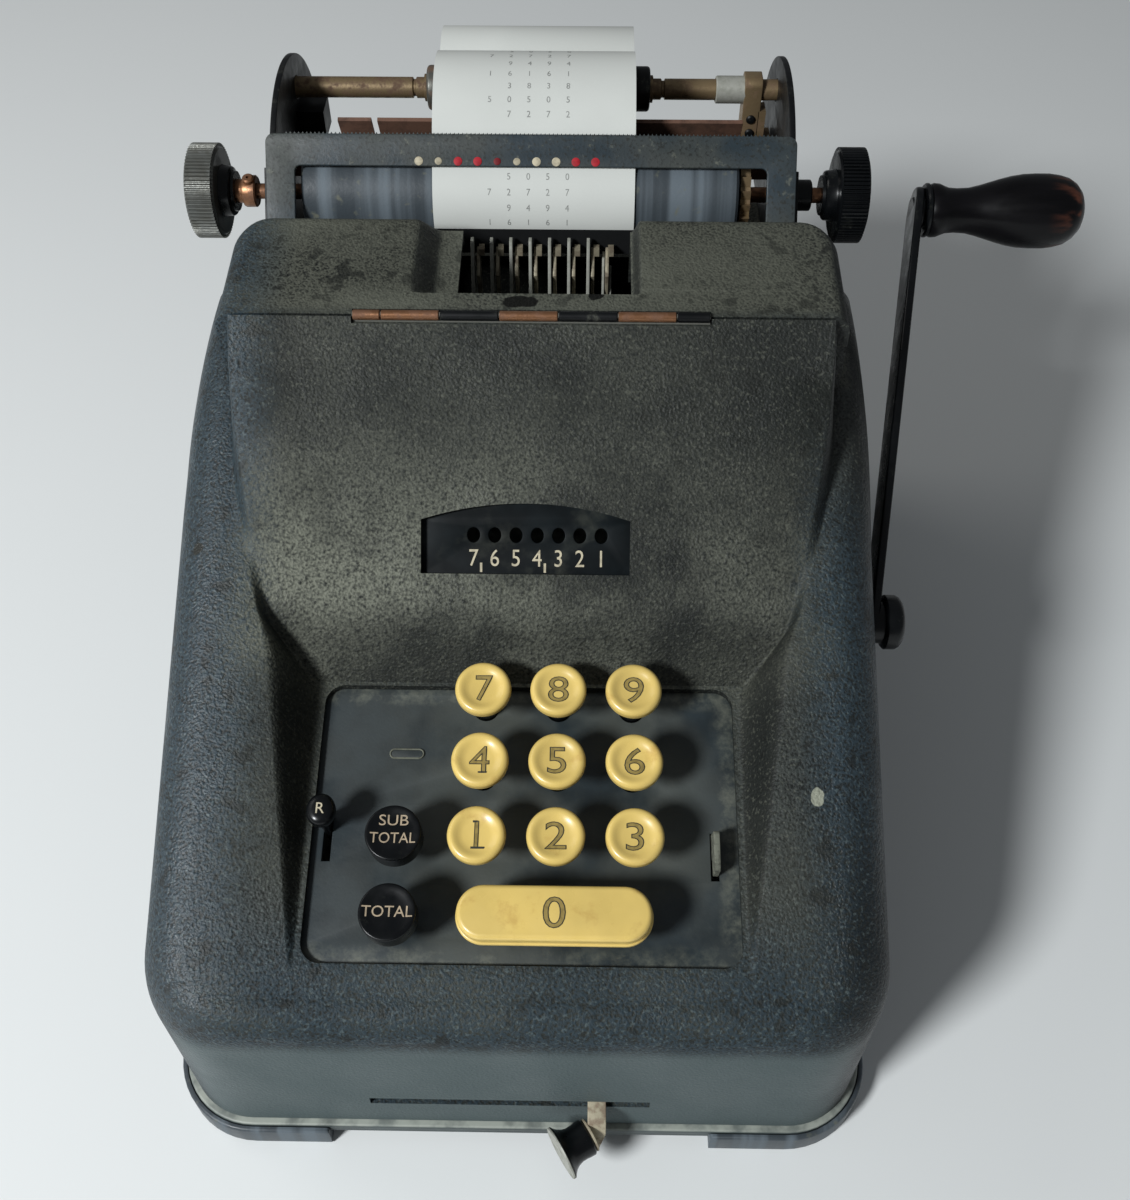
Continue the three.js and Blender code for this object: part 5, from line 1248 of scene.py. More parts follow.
# Cover and hinge
def cover():
    start = HINGE_Y + 0.3
    lid = loft("cover", [hood_section(y, 0) for y in hood_stations()])
    middle = [y for y in hood_stations() if start + 4 < y < HOOD_END_Y - WALL]
    inside = [start + 2 * WALL, *middle, HOOD_END_Y - WALL]
    hollow = loft("cover_hollow", [hood_section(y, WALL) for y in inside])
    mouth = block("mouth", NOTCH_OPEN_X, NOTCH_RIGHT_X, NOTCH_START_Y, HOOD_END_Y + 1, 130, 190)
    ledge = block(
        "ledge", NOTCH_LEFT_X + 4, NOTCH_OPEN_X + 1, HOOD_END_Y - 2 * WALL, HOOD_END_Y + 1, 130,
        HINGE_Z - NOTCH_DROP
    )
    reach = OPENING_HALF - 3
    front = block("front", -reach, reach, start - 1, start + 2 * WALL + 1, 130, HINGE_Z - LEAF_DROP - 4)
    hinge = hinge_room(start - 1, HINGE_Y + KNUCKLE_RADIUS + 2 * GAP, HINGE_Z - LEAF_DROP - 6)
    finished(carved(lid, hollow, mouth, ledge, front, hinge), "crackle_paint", "lid", "ribbon_cover")


def hinge_leaves():
    left = CENTRE_X - HINGE_LENGTH / 2
    radius = KNUCKLE_RADIUS - 0.3
    leaves = (
        ("fixed", "machine", 0, HINGE_Y - LEAF_SHEET / 2),
        ("moving", "lid", 1, HINGE_Y + LEAF_SHEET / 2 + GAP)
    )
    for name, body, first, leaf_y in leaves:
        low, high = HINGE_Z - LEAF_DROP, HINGE_Z - radius
        leaf = block("leaf", left, left + HINGE_LENGTH, leaf_y, leaf_y + LEAF_SHEET, low, high)
        pieces = [painted(leaf, "steel")]
        for i in range(first, len(KNUCKLE_SHARES), 2):
            length = HINGE_LENGTH * KNUCKLE_SHARES[i] - GAP
            start = left + HINGE_LENGTH * sum(KNUCKLE_SHARES[:i]) + GAP / 2
            knuckle = turned(
                "knuckle", chamfered(0, radius, length, 0.2), 24, along_x(start, HINGE_Y, HINGE_Z - 0.2)
            )
            pieces.append(painted(knuckle, "copper" if i in (0, 1, 3, 5) else "worn_black"))
        finished(joined("hinge_" + name, pieces), None, body, "hinge_leaf_" + name)
    repainted("steel", "hinge_pin")


# Keyboard panel and window
def keyboard_panel():
    run = PANEL_RUN / math.cos(KEY_SLOPE)
    half = PANEL_HALF + PANEL_MARGIN
    slit = 1.05
    flat = on_keyboard(0, 0)
    outlines = [rounded_rectangle(CENTRE_X - half, CENTRE_X + half, -1.5, run + GAP, PANEL_CORNER)]
    for x, along in stem_places():
        outlines.append(circle(x, along, STEM_RADIUS + GAP))
    for x, along, length in ((REPEAT_X, REPEAT_ALONG, REPEAT_SLOT), (TAB_X, TAB_ALONG, TAB_SLOT)):
        low, high = along - length / 2, along + length / 2
        outlines.append([(x - slit, low), (x + slit, low), (x + slit, high), (x - slit, high)])
    sheet = plate("sheet", outlines, -PANEL_SHEET, 0, flat, bevel=0.2)
    rivet = rounded_rectangle(DIMPLE_X - 4.1, DIMPLE_X + 4.1, DIMPLE_ALONG - 1, DIMPLE_ALONG + 1, 0.99)
    boss = painted(plate("rivet", [rivet], -0.5, 0.3, flat, bevel=0.2), "panel_paint")
    rim = rounded_rectangle(DIMPLE_X - 4.5, DIMPLE_X + 4.5, DIMPLE_ALONG - 1.4, DIMPLE_ALONG + 1.4, 1.39)
    rim = painted(plate("rivet_rim", [rim, rivet], -0.5, 0.5, flat, bevel=0.15), "dust_line")
    painted(sheet, "panel_paint")
    finished(joined("key_panel", [sheet, boss, rim]), None, "machine", "keyboard_panel")


def stem_places():
    places = [(x, row) for row in ROWS[1:] for x in COLUMNS]
    places += [(KEY_COLUMN_X + side * ZERO_STEM_OFFSET, ROWS[0]) for side in (-1, 1)]
    return places + [(FUNCTION_KEY_X, ROWS[0]), (FUNCTION_KEY_X, ROWS[1])]


def window_and_digits():
    columns = [COLUMN_RIGHT_X - WINDOW_X - i * TYPE_PITCH for i in range(7)]
    outlines = [window_outline(1.6), *(oval(x, COLUMN_HOLE_UP, 1.62, 1.96) for x in columns)]
    seat = on_window(WALL + 2 * GAP)
    sheet = plate("window_sheet", outlines, -1, 0, seat, bevel=0.25)
    finished(sheet, "window_paint", "machine", "window_plate")
    marks = []
    for i, x in enumerate(columns):
        place = seat @ at(x, COLUMN_HOLE_UP - 5.9, 0.06)
        marks.append(lettering("digit", str(i + 1), 6.2, place, 0.1, narrow=0.86))
    for x in (-11.5, 5.0):
        marks.append(block("tick", x - 0.3, x + 0.3, 0.4, 2.8, 0.01, 0.12, seat))
    finished(joined("window_digits", marks), "pale_lettering", "machine")


# Keys
def round_key_profile(radius, rim, dish, undercut):
    """The side of a cap from its foot, and the dish inside its rim."""
    foot = KEY_HEIGHT - CAP_HEIGHT
    top = KEY_HEIGHT
    lip = radius - rim
    waist = top - rim - 1.1 if undercut else foot + 1.3
    side = [
        (0, foot), (radius - 0.9 - undercut, foot), (radius - 0.3 - undercut, foot + 0.5),
        (radius - undercut / 3, waist - 0.8)
    ]
    side += [(radius, waist), (radius, top - rim - 0.4)]
    side += arc((lip, top - rim), rim, 0, 90, 6)
    hollow = [(lip, top), (lip - 0.5, top - dish * 0.13), (lip - 1.1, top - dish * 0.45)]
    hollow += [(lip - 1.8, top - dish * 0.8), (lip - 2.6, top - dish * 0.97), (radius * 0.2, top - dish)]
    return side, hollow + [(0, top - dish)]


def oval(x, y, half_x, half_y):
    """An oval hole's outline in 24 steps."""
    turns = [2 * math.pi * i / 24 for i in range(24)]
    return [(x + half_x * math.cos(turn), y + half_y * math.sin(turn)) for turn in turns]


def engraved(words, size, face, **shape):
    """A figure in a cap, and the ink left along its outline."""
    figure = painted(lettering("letters", words, size, face, 0.06, **shape), "engraving")
    edge = painted(lettering("outline", words, size, face, outline=0.24, **shape), "ink")
    return [figure, edge]


# Strokes added to the figures, as x and y from and to, and how wide a figure is drawn
SERIFS = {"1": ((-1.25, 2.15, -3.5, -3.0), (-0.95, 0.2, 2.95, 3.45)), "4": ((-0.35, 1.85, -3.5, -3.1),)}
DIGIT_WIDTHS = {"1": 0.92, "4": 1.08, "7": 0.98}


def round_key(name, x, along, radius, rim, dish, lines, size, finish, ink, body, node, undercut=0.0):
    place = on_keyboard(x, along)
    side, hollow = round_key_profile(radius, rim, dish, undercut)
    cap = turned("cap", side + hollow[1:], 56, place)
    stem = turned("stem", cylinder(STEM_RADIUS, -STEM_BELOW_PANEL, KEY_HEIGHT - CAP_HEIGHT + 0.5), 24, place)
    key = joined(name, [painted(cap, finish), painted(stem, "black_plastic")])
    finished(key, None, body, node)

    def on_dish(px, py):
        out = math.hypot(px, py)
        for (wide, high), (narrow, low) in zip(hollow, hollow[1:]):
            if out >= narrow:
                return mix(low, high, clamp((out - narrow) / (wide - narrow)))
        return hollow[-1][1]

    face = place @ at(0, 0, 0.03)
    marks = []
    for words, width, up in lines:
        shape = {"lean": on_dish, "narrow": width, "up": up}
        if ink == "engraving":
            marks += engraved(words, size, face, **shape)
        else:
            marks.append(painted(lettering("letters", words, size, face, 0.06, **shape), ink))
        for x0, x1, y0, y1 in SERIFS.get(words, ()):
            level = on_dish((x0 + x1) / 2, y0) + 0.03
            bar = plate(
                "serif", [[(x0, y0), (x1, y0), (x1, y1), (x0, y1)]], level - 0.04, level + 0.06, place
            )
            marks.append(painted(bar, "ink"))
    finished(joined(name + "_lettering", marks), None, body)


def digit_keys():
    for digit in range(1, 10):
        x = COLUMNS[(digit - 1) % 3]
        along = ROWS[(digit - 1) // 3 + 1]
        words = str(digit)
        lines = [(words, DIGIT_WIDTHS.get(words, 1.2), 0)]
        round_key(
            "digit_key_" + words, x, along, CAP_RADIUS, 1.3, CAP_DISH, lines, 9.6, "cream_plastic",
            "engraving", "key_%s_body" % words, "key_" + words, undercut=2.2
        )
    zero_bar()


def zero_bar():
    place = on_keyboard(KEY_COLUMN_X, ROWS[0])
    foot = KEY_HEIGHT - CAP_HEIGHT

    def oblong(margin):
        reach, radius = ZERO_BAR_LENGTH / 2 + margin, ZERO_BAR_RADIUS + margin
        return rounded_rectangle(-reach, reach, -radius + 0.9, radius, radius - 0.5, steps=16)

    skirt = plate("skirt", [oblong(0.4)], foot + 1, foot + 2.6, place, bevel=0.5, steps=3)
    crown = plate("crown", [oblong(0)], foot + 1.4, KEY_HEIGHT, place, bevel=1.3, steps=6)
    pieces = [skirt, crown]
    for side in (-1, 1):
        stem = cylinder(STEM_RADIUS, -STEM_BELOW_PANEL, foot + 1)
        pieces.append(turned("stem", stem, 24, place @ at(side * ZERO_STEM_OFFSET, 0, 0)))
    finished(joined("digit_key_0", pieces), "cream_plastic", "key_0_body", "key_0")
    face = on_keyboard(KEY_COLUMN_X, ROWS[0], KEY_HEIGHT + 0.04)
    finished(
        joined("digit_key_0_lettering", engraved("0", 10.2, face, narrow=1.15, up=0.4)), None, "key_0_body"
    )


def function_keys():
    total, subtotal = [("TOTAL", 1.02, 0.2)], [("SUB", 1.15, 3.1), ("TOTAL", 0.94, -1.2)]
    rows = (("total_key", total, ROWS[0]), ("subtotal_key", subtotal, ROWS[1]))
    for node, words, along in rows:
        round_key(
            node + "_cap", FUNCTION_KEY_X, along, FUNCTION_CAP_RADIUS, 0.5, 0.4, words, 3.7,
            "black_plastic", "tan_lettering", node + "_body", node
        )
    place = on_keyboard(REPEAT_X, REPEAT_ALONG + REPEAT_TRAVEL / 2)
    profile = [
        (0, 0), (2.1, 0), (2.9, 0.8), (3.2, 1.9), (3.3, 3.6), (3.1, 4.5), (2.5, 5.15), (1.6, 5.4), (0, 5.45)
    ]
    oblong = Matrix.Diagonal((1.08, 1.25, 1, 1))
    button = turned("repeat_button", profile, 40, place @ at(0, 0, REPEAT_TOP + GAP) @ oblong)
    finished(button, "black_plastic", "repeat", "repeat_knob")
    face = place @ at(0, 0, REPEAT_TOP + GAP + 5.42)
    finished(lettering("repeat_lettering", "R", 3.9, face, 0.1), "pale_lettering", "repeat")
    slot_lever(
        "repeat_strip", REPEAT_X, REPEAT_ALONG + REPEAT_TRAVEL / 2, REPEAT_TOP, 5.0, 0, "black_steel",
        "repeat", "repeat_lever"
    )
    slot_lever(
        "correction_tab", TAB_X, TAB_ALONG + TAB_TRAVEL / 2, 6.5, 6.4, 4.2, "old_tab", "correction",
        "correction_lever"
    )


def slot_lever(name, x, along, top, width, overhang, finish, body, node):
    """A sheet lever through the panel's slot, reaching over the slot's free end where it overhangs."""
    half = width / 2
    sheet = 0.75
    front = -half - overhang
    outline = [(-half, -9), (half, -9), (half, 0), (half - 0.6, top - 1.2)]
    outline += arc((half - 1.8, top - 1.2), 1.2, 0, 90, 5)
    outline += [(front + 1.2, top), (front, top - 1.2), (front, 0.4), (-half, 0.35)]
    strip = plate(name, [outline], -sheet, sheet, on_keyboard(x, along) @ beside(0), bevel=0.2)
    finished(strip, finish, body, node)


# Front lever
def front_lever():
    inner = RAIL_Y - PIN_BOX_DEPTH / 2 - GAP
    z = LEVER_SLOT_Z - LEVER_SHEET / 2
    outline = [
        (inner, z), (inner, z + 9), (inner - LEVER_SHEET, z + 9), (inner - LEVER_SHEET, z + LEVER_SHEET)
    ]
    outline += [
        (-3.4, z + LEVER_SHEET), (-5, z + LEVER_SHEET - 0.7), (-8.8, z - 8.4), (-7.8, z - 9.2),
        (-4, z - 1.1), (-2.8, z)
    ]
    strip = plate("lever_strip", [outline], -LEVER_WIDTH / 2, LEVER_WIDTH / 2, beside(LEVER_X), bevel=0.25)
    taper = at(LEVER_X + LEVER_WIDTH / 2, 0, z - 3) @ Matrix.Rotation(math.radians(20), 4, "Y")
    strip = painted(carved(strip, block("taper", 0, 6, -14, -1, -14, 2, taper)), "lever_metal")
    tip, radius = LEVER_KNOB_LENGTH, LEVER_KNOB_RADIUS
    axis = Vector(LEVER_KNOB_AXIS).normalized()
    place = at(LEVER_X - 2.1, -6.6, LEVER_SLOT_Z - 4.6)
    place = place @ Vector((0, 0, 1)).rotation_difference(axis).to_matrix().to_4x4()
    pad = [(0, -0.9), (4.1, -0.9), (4.4, -0.7), (4.4, -0.3), (4.1, -0.1), (0, -0.1)]
    pad = painted(turned("lever_pad", pad, 48, place), "lever_metal")
    finished(joined("front_lever", [strip, pad]), None, "pin_box", "clear_lever")
    profile = [
        (0, 0), (4.3, 0), (4.8, 0.5), (4.75, tip * 0.2), (4.6, tip * 0.35), (4.6, tip * 0.5),
        (4.9, tip * 0.64)
    ]
    profile += [
        (5.5, tip * 0.76), (6.3, tip * 0.85), (radius - 0.1, tip - 0.9), (radius, tip - 0.7), (0, tip - 0.7)
    ]
    horn = painted(turned("lever_horn", profile, 56, place), "black_plastic")
    rim = [
        (0, tip - 0.9), (radius - 0.3, tip - 0.8), (radius, tip - 0.5), (radius - 0.1, tip - 0.1),
        (radius - 0.8, tip), (0, tip - 0.6)
    ]
    rim = painted(turned("lever_rim", rim, 56, place), "sleeve")
    finished(joined("lever_knob", [horn, rim]), None, "pin_box", "clear_knob")


# Carriage
def tear_point(along, out):
    """A point in (y, z) along the tear bar's slope and out from the platen's axis."""
    slope = TEAR_SLOPE
    y = PLATEN_Y + math.cos(slope) * along - math.sin(slope) * out
    z = PLATEN_Z + math.sin(slope) * along + math.cos(slope) * out
    return y, z


def carriage_ends():
    base_z = REAR_DECK_Z + 2 * GAP
    reach = math.degrees(math.asin((EAR_Z - base_z) / EAR_RADIUS))
    outline = [(EAR_Y - EAR_RADIUS * math.cos(math.radians(reach)), base_z)]
    outline += arc((EAR_Y, EAR_Z), EAR_RADIUS, -reach, 140, 48)
    leg_y, leg_z = tear_point(-11, TAPE_RADIUS - 1)
    outline += [tear_point(4, TAPE_RADIUS - 1), (leg_y, leg_z), (leg_y, EAR_Z + 2)]
    holes = [
        circle(PLATEN_Y, PLATEN_Z, PLATEN_SHAFT_RADIUS + GAP), circle(ROLL_Y, ROLL_Z, SPINDLE_RADIUS + GAP)
    ]
    for hand, side in ((-1, "left"), (1, "right")):
        inner = CARRIAGE_X + hand * CARRIAGE_HALF
        low, high = sorted((inner, inner + hand * FRAME_SHEET))
        ear = plate("carriage_ear_" + side, [outline, *holes], low, high, beside(0), bevel=0.3)
        finished(ear, "worn_black", "machine", "carriage_end_" + side)
    lug_x = CARRIAGE_X - CARRIAGE_HALF - 0.1
    lug = block("lug", lug_x, lug_x + 8.5, ROLL_Y - 7, ROLL_Y + 3, ROLL_Z - 13, ROLL_Z - 4.5)
    finished(lug, "worn_black", "machine")


def tear_bar_place(along, out):
    y, z = tear_point(along, out)
    return at(CARRIAGE_X, y, z) @ Matrix.Rotation(TEAR_SLOPE, 4, "X")


def tear_bar(sizes):
    half = CARRIAGE_HALF + 0.7
    top = TEAR_BAR_HEIGHT / 2
    foot = top - TEAR_BAR_LEG
    opening = half - TEAR_LEG_WIDTH
    edge = top - 0.7
    outline = [(-half, foot), (-opening, foot), *arc((-opening + 1.6, -top - 1.6), 1.6, 180, 90, 5)]
    outline += [*arc((opening - 1.6, -top - 1.6), 1.6, 90, 0, 5), (opening, foot), (half, foot)]
    outline += [
        *arc((half - 2.5, edge - 2.5), 2.5, 0, 90, 6), *arc((-half + 2.5, edge - 2.5), 2.5, 90, 180, 6)
    ]
    place = tear_bar_place(TEAR_ABOVE_PLATEN - top, TAPE_RADIUS + PAPER_SHEET / 2 + GAP)
    frame_piece = painted(
        plate("tear_frame", [outline], 0, TEAR_SHEET, place, bevel=0.35, steps=3), "carriage_paint"
    )
    pitch = sizes.tooth
    count = int((2 * half - 10) / pitch)
    start = -count * pitch / 2
    corner = [(start, edge - 0.6), (start + pitch, edge - 0.6), (start + pitch * 0.5, edge + 0.45)]
    tooth = plate("tooth", [corner], 0.15, TEAR_SHEET - 0.15, place)
    teeth = repeated(tooth, "row_of_copies", "carriage_paint", Count=count, Step=(pitch * MM, 0, 0))
    finished(joined("toothed_tear_bar", [frame_piece, teeth]), None, "machine", "tear_bar")
    dots = []
    place = place @ at(0, 0, TEAR_SHEET - 0.05)
    for i, tone in enumerate(DOT_TONES):
        x = DOT_RIGHT_X - CARRIAGE_X - i * TYPE_PITCH
        worn = 0.8 if tone in ("worn", "dull") else 0.95
        dome = [(0, 0), (1.3 * worn, 0), (1.25 * worn, 0.18), (0.9 * worn, 0.26), (0, 0.28)]
        dots.append(painted(turned("dot", dome, 20, place @ at(x, DOT_DROP, 0)), tone + "_dot"))
    finished(joined("column_dots", dots), None, "machine")


def paper_guide():
    back = PLATEN_Y + PLATEN_RADIUS
    foot = PLATEN_Z - 5
    near, far = back + GUIDE_GAP, back + GUIDE_GAP + GUIDE_SHEET
    half = CARRIAGE_HALF - GAP
    flange = block("flange", CARRIAGE_X - half, CARRIAGE_X + half, near, far, foot, foot + GUIDE_FLANGE)
    bend = foot + GUIDE_FLANGE
    outline = [(near, bend - 2), (far, bend - 2), (far, bend + 1), (back + 1, bend + 5.5)]
    outline += [(back - 1.9, foot + 21.2), (back - 2.9, foot + 20.6), (back, bend + 5), (near, bend + 1)]
    leaf = plate("leaf", [outline], CARRIAGE_X - 57, CARRIAGE_X + 61, beside(0), bevel=0.15)
    notch = block("notch", CARRIAGE_X - 47.2, CARRIAGE_X - 45.4, back - 6, back + 6, bend + 4, foot + 30)
    finished(
        joined("guide_sheet", [flange, carved(leaf, notch)]), "rusty_steel", "machine", "paper_guide_plate"
    )


def platen(sizes):
    length = PLATEN_RIGHT_X - PLATEN_LEFT_X
    bore = PLATEN_SHAFT_RADIUS + GAP
    profile = chamfered(bore, PLATEN_RADIUS, length, 0.8) + [(bore, 0)]
    roller = turned("platen_roller", profile, 96, along_x(PLATEN_LEFT_X, PLATEN_Y, PLATEN_Z))
    finished(roller, "rubber", "platen_set", "platen")
    left, right = KNOB_LEFT_X - 1, KNOB_RIGHT_X + 1
    rod = turned("rod", cylinder(PLATEN_SHAFT_RADIUS, 0, right - left), 32, along_x(left, PLATEN_Y, PLATEN_Z))
    painted(rod, "copper")
    wheel_x = PLATEN_RIGHT_X + 3 * GAP
    hub = cylinder(RATCHET_RADIUS - 1.6, 0, RATCHET_SHEET)
    hub = painted(turned("ratchet_hub", hub, 60, along_x(wheel_x, PLATEN_Y, PLATEN_Z)), "brass")
    span = 2 * math.pi / RATCHET_TEETH
    root = RATCHET_RADIUS - 2
    tooth = [(root, 0), (RATCHET_RADIUS, 0), (root * math.cos(span * 0.9), root * math.sin(span * 0.9))]
    tooth = plate("ratchet_tooth", [tooth], wheel_x, wheel_x + RATCHET_SHEET, beside(0))
    teeth = ring_on_platen(tooth, "brass", RATCHET_TEETH)
    collar_x = CARRIAGE_X - CARRIAGE_HALF - FRAME_SHEET - 5.5
    r, n = COLLAR_RADIUS, COLLAR_LENGTH
    collar = [
        (0, 0), (r - 1.1, 0), (r - 1.1, n * 0.3), (r - 0.2, n * 0.36), (r, n * 0.45), (r, n - 0.4),
        (r - 0.4, n), (0, n)
    ]
    collar = painted(turned("collar", collar, 40, along_x(collar_x - n, PLATEN_Y, PLATEN_Z)), "copper")
    screw = at(collar_x - n * 0.3, PLATEN_Y - 1.2, PLATEN_Z + r - 0.5) @ Matrix.Rotation(0.3, 4, "X")
    head = [(0, 0), (1.7, 0), (1.7, 1.2), (1.3, 1.6), (0.5, 1.6), (0.5, 0.9), (0, 0.9)]
    screw = painted(turned("collar_screw", head, 24, screw), "copper")
    bearing_x = CARRIAGE_X + CARRIAGE_HALF + FRAME_SHEET + 2 * GAP
    bearing = painted(
        turned("bearing", chamfered(0, 4.4, 5.2, 0.3), 36, along_x(bearing_x, PLATEN_Y, PLATEN_Z)),
        "black_plastic"
    )
    finished(
        joined("platen_rod", [rod, hub, teeth, collar, screw, bearing]), None, "platen_set", "platen_shaft"
    )
    for hand, side, x in ((-1, "left", KNOB_LEFT_X), (1, "right", KNOB_RIGHT_X)):
        platen_knob(hand, side, x, sizes)


def ring_on_platen(piece, finish, count):
    """Repeats a shape modelled beside the X axis into a ring round the platen's axis."""
    piece.data.transform(Matrix.Translation(-ORIGIN))
    centre = ORIGIN + Vector((0, PLATEN_Y, PLATEN_Z)) * MM
    return repeated(piece, "ring_of_copies", finish, Count=count, Centre=centre)


def platen_knob(hand, side, x, sizes):
    half, radius = KNOB_RIM / 2, KNOB_RADIUS
    profile = [(0, half - 0.8), (2.4, half - 0.8), (3, half - 0.5), (radius - 3.6, half - 0.5)]
    profile += [
        (radius - 2.8, half), (radius - 1.5, half), (radius - 0.7, half - 0.7),
        (radius - 0.7, -half + 0.7)
    ]
    profile += [(radius - 1.5, -half), (0, -half)]
    # The left knob takes the paler grey finish as painted light; the right keeps the black
    finish = "knob_lit_grey" if side == "left" else "knob_black"
    place = along_x(x, PLATEN_Y, PLATEN_Z, hand)
    body = painted(turned("knob_body", profile, 72, place), finish)
    hub = [(7.2, -half - 0.6), (7, -half - 2.6), (6.7, -half - 3), (5.8, -half - 3.2), (5.6, -half - 4)]
    hub = [(0, -half + 0.3), (7.6, -half + 0.3), *hub, (0, -half - 4)]
    hub = painted(turned("knob_hub", hub, 56, place), "knob_black")
    width = math.pi * radius / sizes.knob_ridges
    ridge = [
        (-width * 0.75, radius - 0.9), (-width * 0.5, radius - 0.25), (-width * 0.25, radius),
        (width * 0.25, radius), (width * 0.5, radius - 0.25), (width * 0.75, radius - 0.9)
    ]
    ridge = plate("ridge", [ridge], x - half + 0.5, x + half - 0.5, beside(0))
    ridges = ring_on_platen(ridge, finish, sizes.knob_ridges)
    finished(
        joined("platen_grip_" + side, [body, hub, ridges]), None, "platen_set", "platen_knob_" + side,
        angle=28
    )


# Paper
def tape_path():
    """The middle line of the tape in (y, z): off the roll, round the platen, past the tear bar and over."""
    out = ROLL_RADIUS + GAP + PAPER_SHEET / 2
    distance = math.hypot(ROLL_Y - PLATEN_Y, ROLL_Z - PLATEN_Z)
    lean = math.atan2(ROLL_Z - PLATEN_Z, ROLL_Y - PLATEN_Y)
    tangent = lean - math.pi / 2 - math.asin((out - TAPE_RADIUS) / distance)
    first = (ROLL_Y + out * math.cos(tangent), ROLL_Z + out * math.sin(tangent))
    turn = math.degrees(tangent)
    wrap = arc((PLATEN_Y, PLATEN_Z), TAPE_RADIUS, turn, math.degrees(TEAR_SLOPE) + 90 - 360, 48)
    tear = tear_point(TEAR_ABOVE_PLATEN - 1, TAPE_RADIUS)
    pull = tear_point(TEAR_ABOVE_PLATEN + 10, TAPE_RADIUS)
    rest_y = ROLL_Y - 10
    rest_z = ROLL_Z + math.sqrt((ROLL_RADIUS + 1.6) ** 2 - 100)
    corners = [Vector(p) for p in (tear, pull, (rest_y - 13, rest_z + 8), (rest_y, rest_z))]
    curl = []
    for i in range(1, CURL_STEPS + 1):
        t = i / CURL_STEPS
        weights = ((1 - t) ** 3, 3 * t * (1 - t) ** 2, 3 * t * t * (1 - t), t**3)
        curl.append(tuple(sum((w * c for w, c in zip(weights, corners)), Vector((0, 0)))))
    return [first] + wrap + [tear] + curl


def sheet_along(path, x, distance, out):
    """The machine's point at a distance along a path, at a place across it and a little off its surface."""
    travelled = 0
    for (y0, z0), (y1, z1) in zip(path, path[1:]):
        length = math.hypot(y1 - y0, z1 - z0)
        if travelled + length >= distance:
            t = (distance - travelled) / length
            y = mix(y0, y1, t) - (z1 - z0) / length * out
            z = mix(z0, z1, t) + (y1 - y0) / length * out
            return Vector((x, y, z))
        travelled += length
    return Vector((x, *path[-1]))


def path_length(path):
    return sum(math.hypot(b[0] - a[0], b[1] - a[1]) for a, b in zip(path, path[1:]))


def paper_tape():
    path = tape_path()
    total = path_length(path)
    across = [PAPER_X + PAPER_WIDTH * (i / 8 - 0.5) for i in range(9)]
    around = [(x, 1) for x in across] + [(x, -1) for x in across[::-1]]
    vertices = []
    rows = 150
    for row in range(rows):
        distance = min(total * row / (rows - 1), total - 1e-6)
        ragged = 0.25 if row == rows - 1 else 0
        for i, (x, face) in enumerate(around):
            ripple = ragged * math.sin(x * 2.1)
            vertices.append(sheet_along(path, x, distance - ragged + ripple, face * PAPER_SHEET / 2))
    faces = grid_faces(rows, len(around))
    half = len(across)
    for start in (0, (rows - 1) * len(around)):
        for i in range(half - 1):
            a, b = start + i, start + len(around) - 1 - i
            faces.append((a, a + 1, b - 1, b))
    finished(mesh_piece("tape", vertices, faces), "paper", "machine", "paper_tape", angle=50)
    printed_columns(path, total)


def printed_columns(path, total):
    """Faint rows of made-up figures on the tape, bent to its curve."""
    row_pitch = 4.23
    past_tear_bar = total - path_length(path[:-CURL_STEPS])
    rows = int((past_tear_bar + 34) / row_pitch)
    lines = []
    for row in range(rows):
        distance = total - 6 - row * row_pitch
        if row % 9 in (7, 8):
            continue
        digits = ["%d" % ((row * 7 + column * 5) % 10) for column in range(4 + row % 2)]
        for column, digit in enumerate(digits):
            sign = lettering("figure", digit, 2.6, Matrix.Identity(4), 0.02, narrow=0.9)
            x = PAPER_X + 9.5 - column * TYPE_PITCH
            for vertex in sign.data.vertices:
                local = (vertex.co - ORIGIN) / MM
                lift = PAPER_SHEET / 2 + 0.03 + local.z
                vertex.co = ORIGIN + sheet_along(path, x + local.x, distance + local.y, lift) * MM
            lines.append(sign)
    finished(joined("tape_figures", lines), "print", "machine")


def paper_roll():
    left = PAPER_X - PAPER_WIDTH / 2
    place = along_x(left, ROLL_Y, ROLL_Z)
    width = PAPER_WIDTH
    outer, inner = ROLL_RADIUS - 0.01, ROLL_CORE_RADIUS + 1.2
    rolled = [(outer, 0), (ROLL_RADIUS, 0.05), (ROLL_RADIUS, width - 0.05), (outer, width)]
    sides = [(outer, width), (inner, width), (inner, 0), (outer, 0)]
    core = [(inner, 0), (ROLL_CORE_RADIUS, 0.3), (ROLL_CORE_RADIUS, width - 0.3), (inner, width)]
    pieces = [
        painted(turned("rolled", rolled, 96, place), "paper"),
        painted(turned("wound_sides", sides, 96, place), "roll_side"),
        painted(turned("core", core, 64, place), "cream_dot"),
    ]
    finished(merged(joined("tape_roll", pieces)), None, "roll", "paper_roll")


def merged(piece):
    """Closes the seams between the joined parts of a piece and turns its faces outwards."""
    work = bmesh.new()
    work.from_mesh(piece.data)
    bmesh.ops.remove_doubles(work, verts=work.verts, dist=1e-6)
    bmesh.ops.recalc_face_normals(work, faces=work.faces)
    work.to_mesh(piece.data)
    work.free()
    return piece


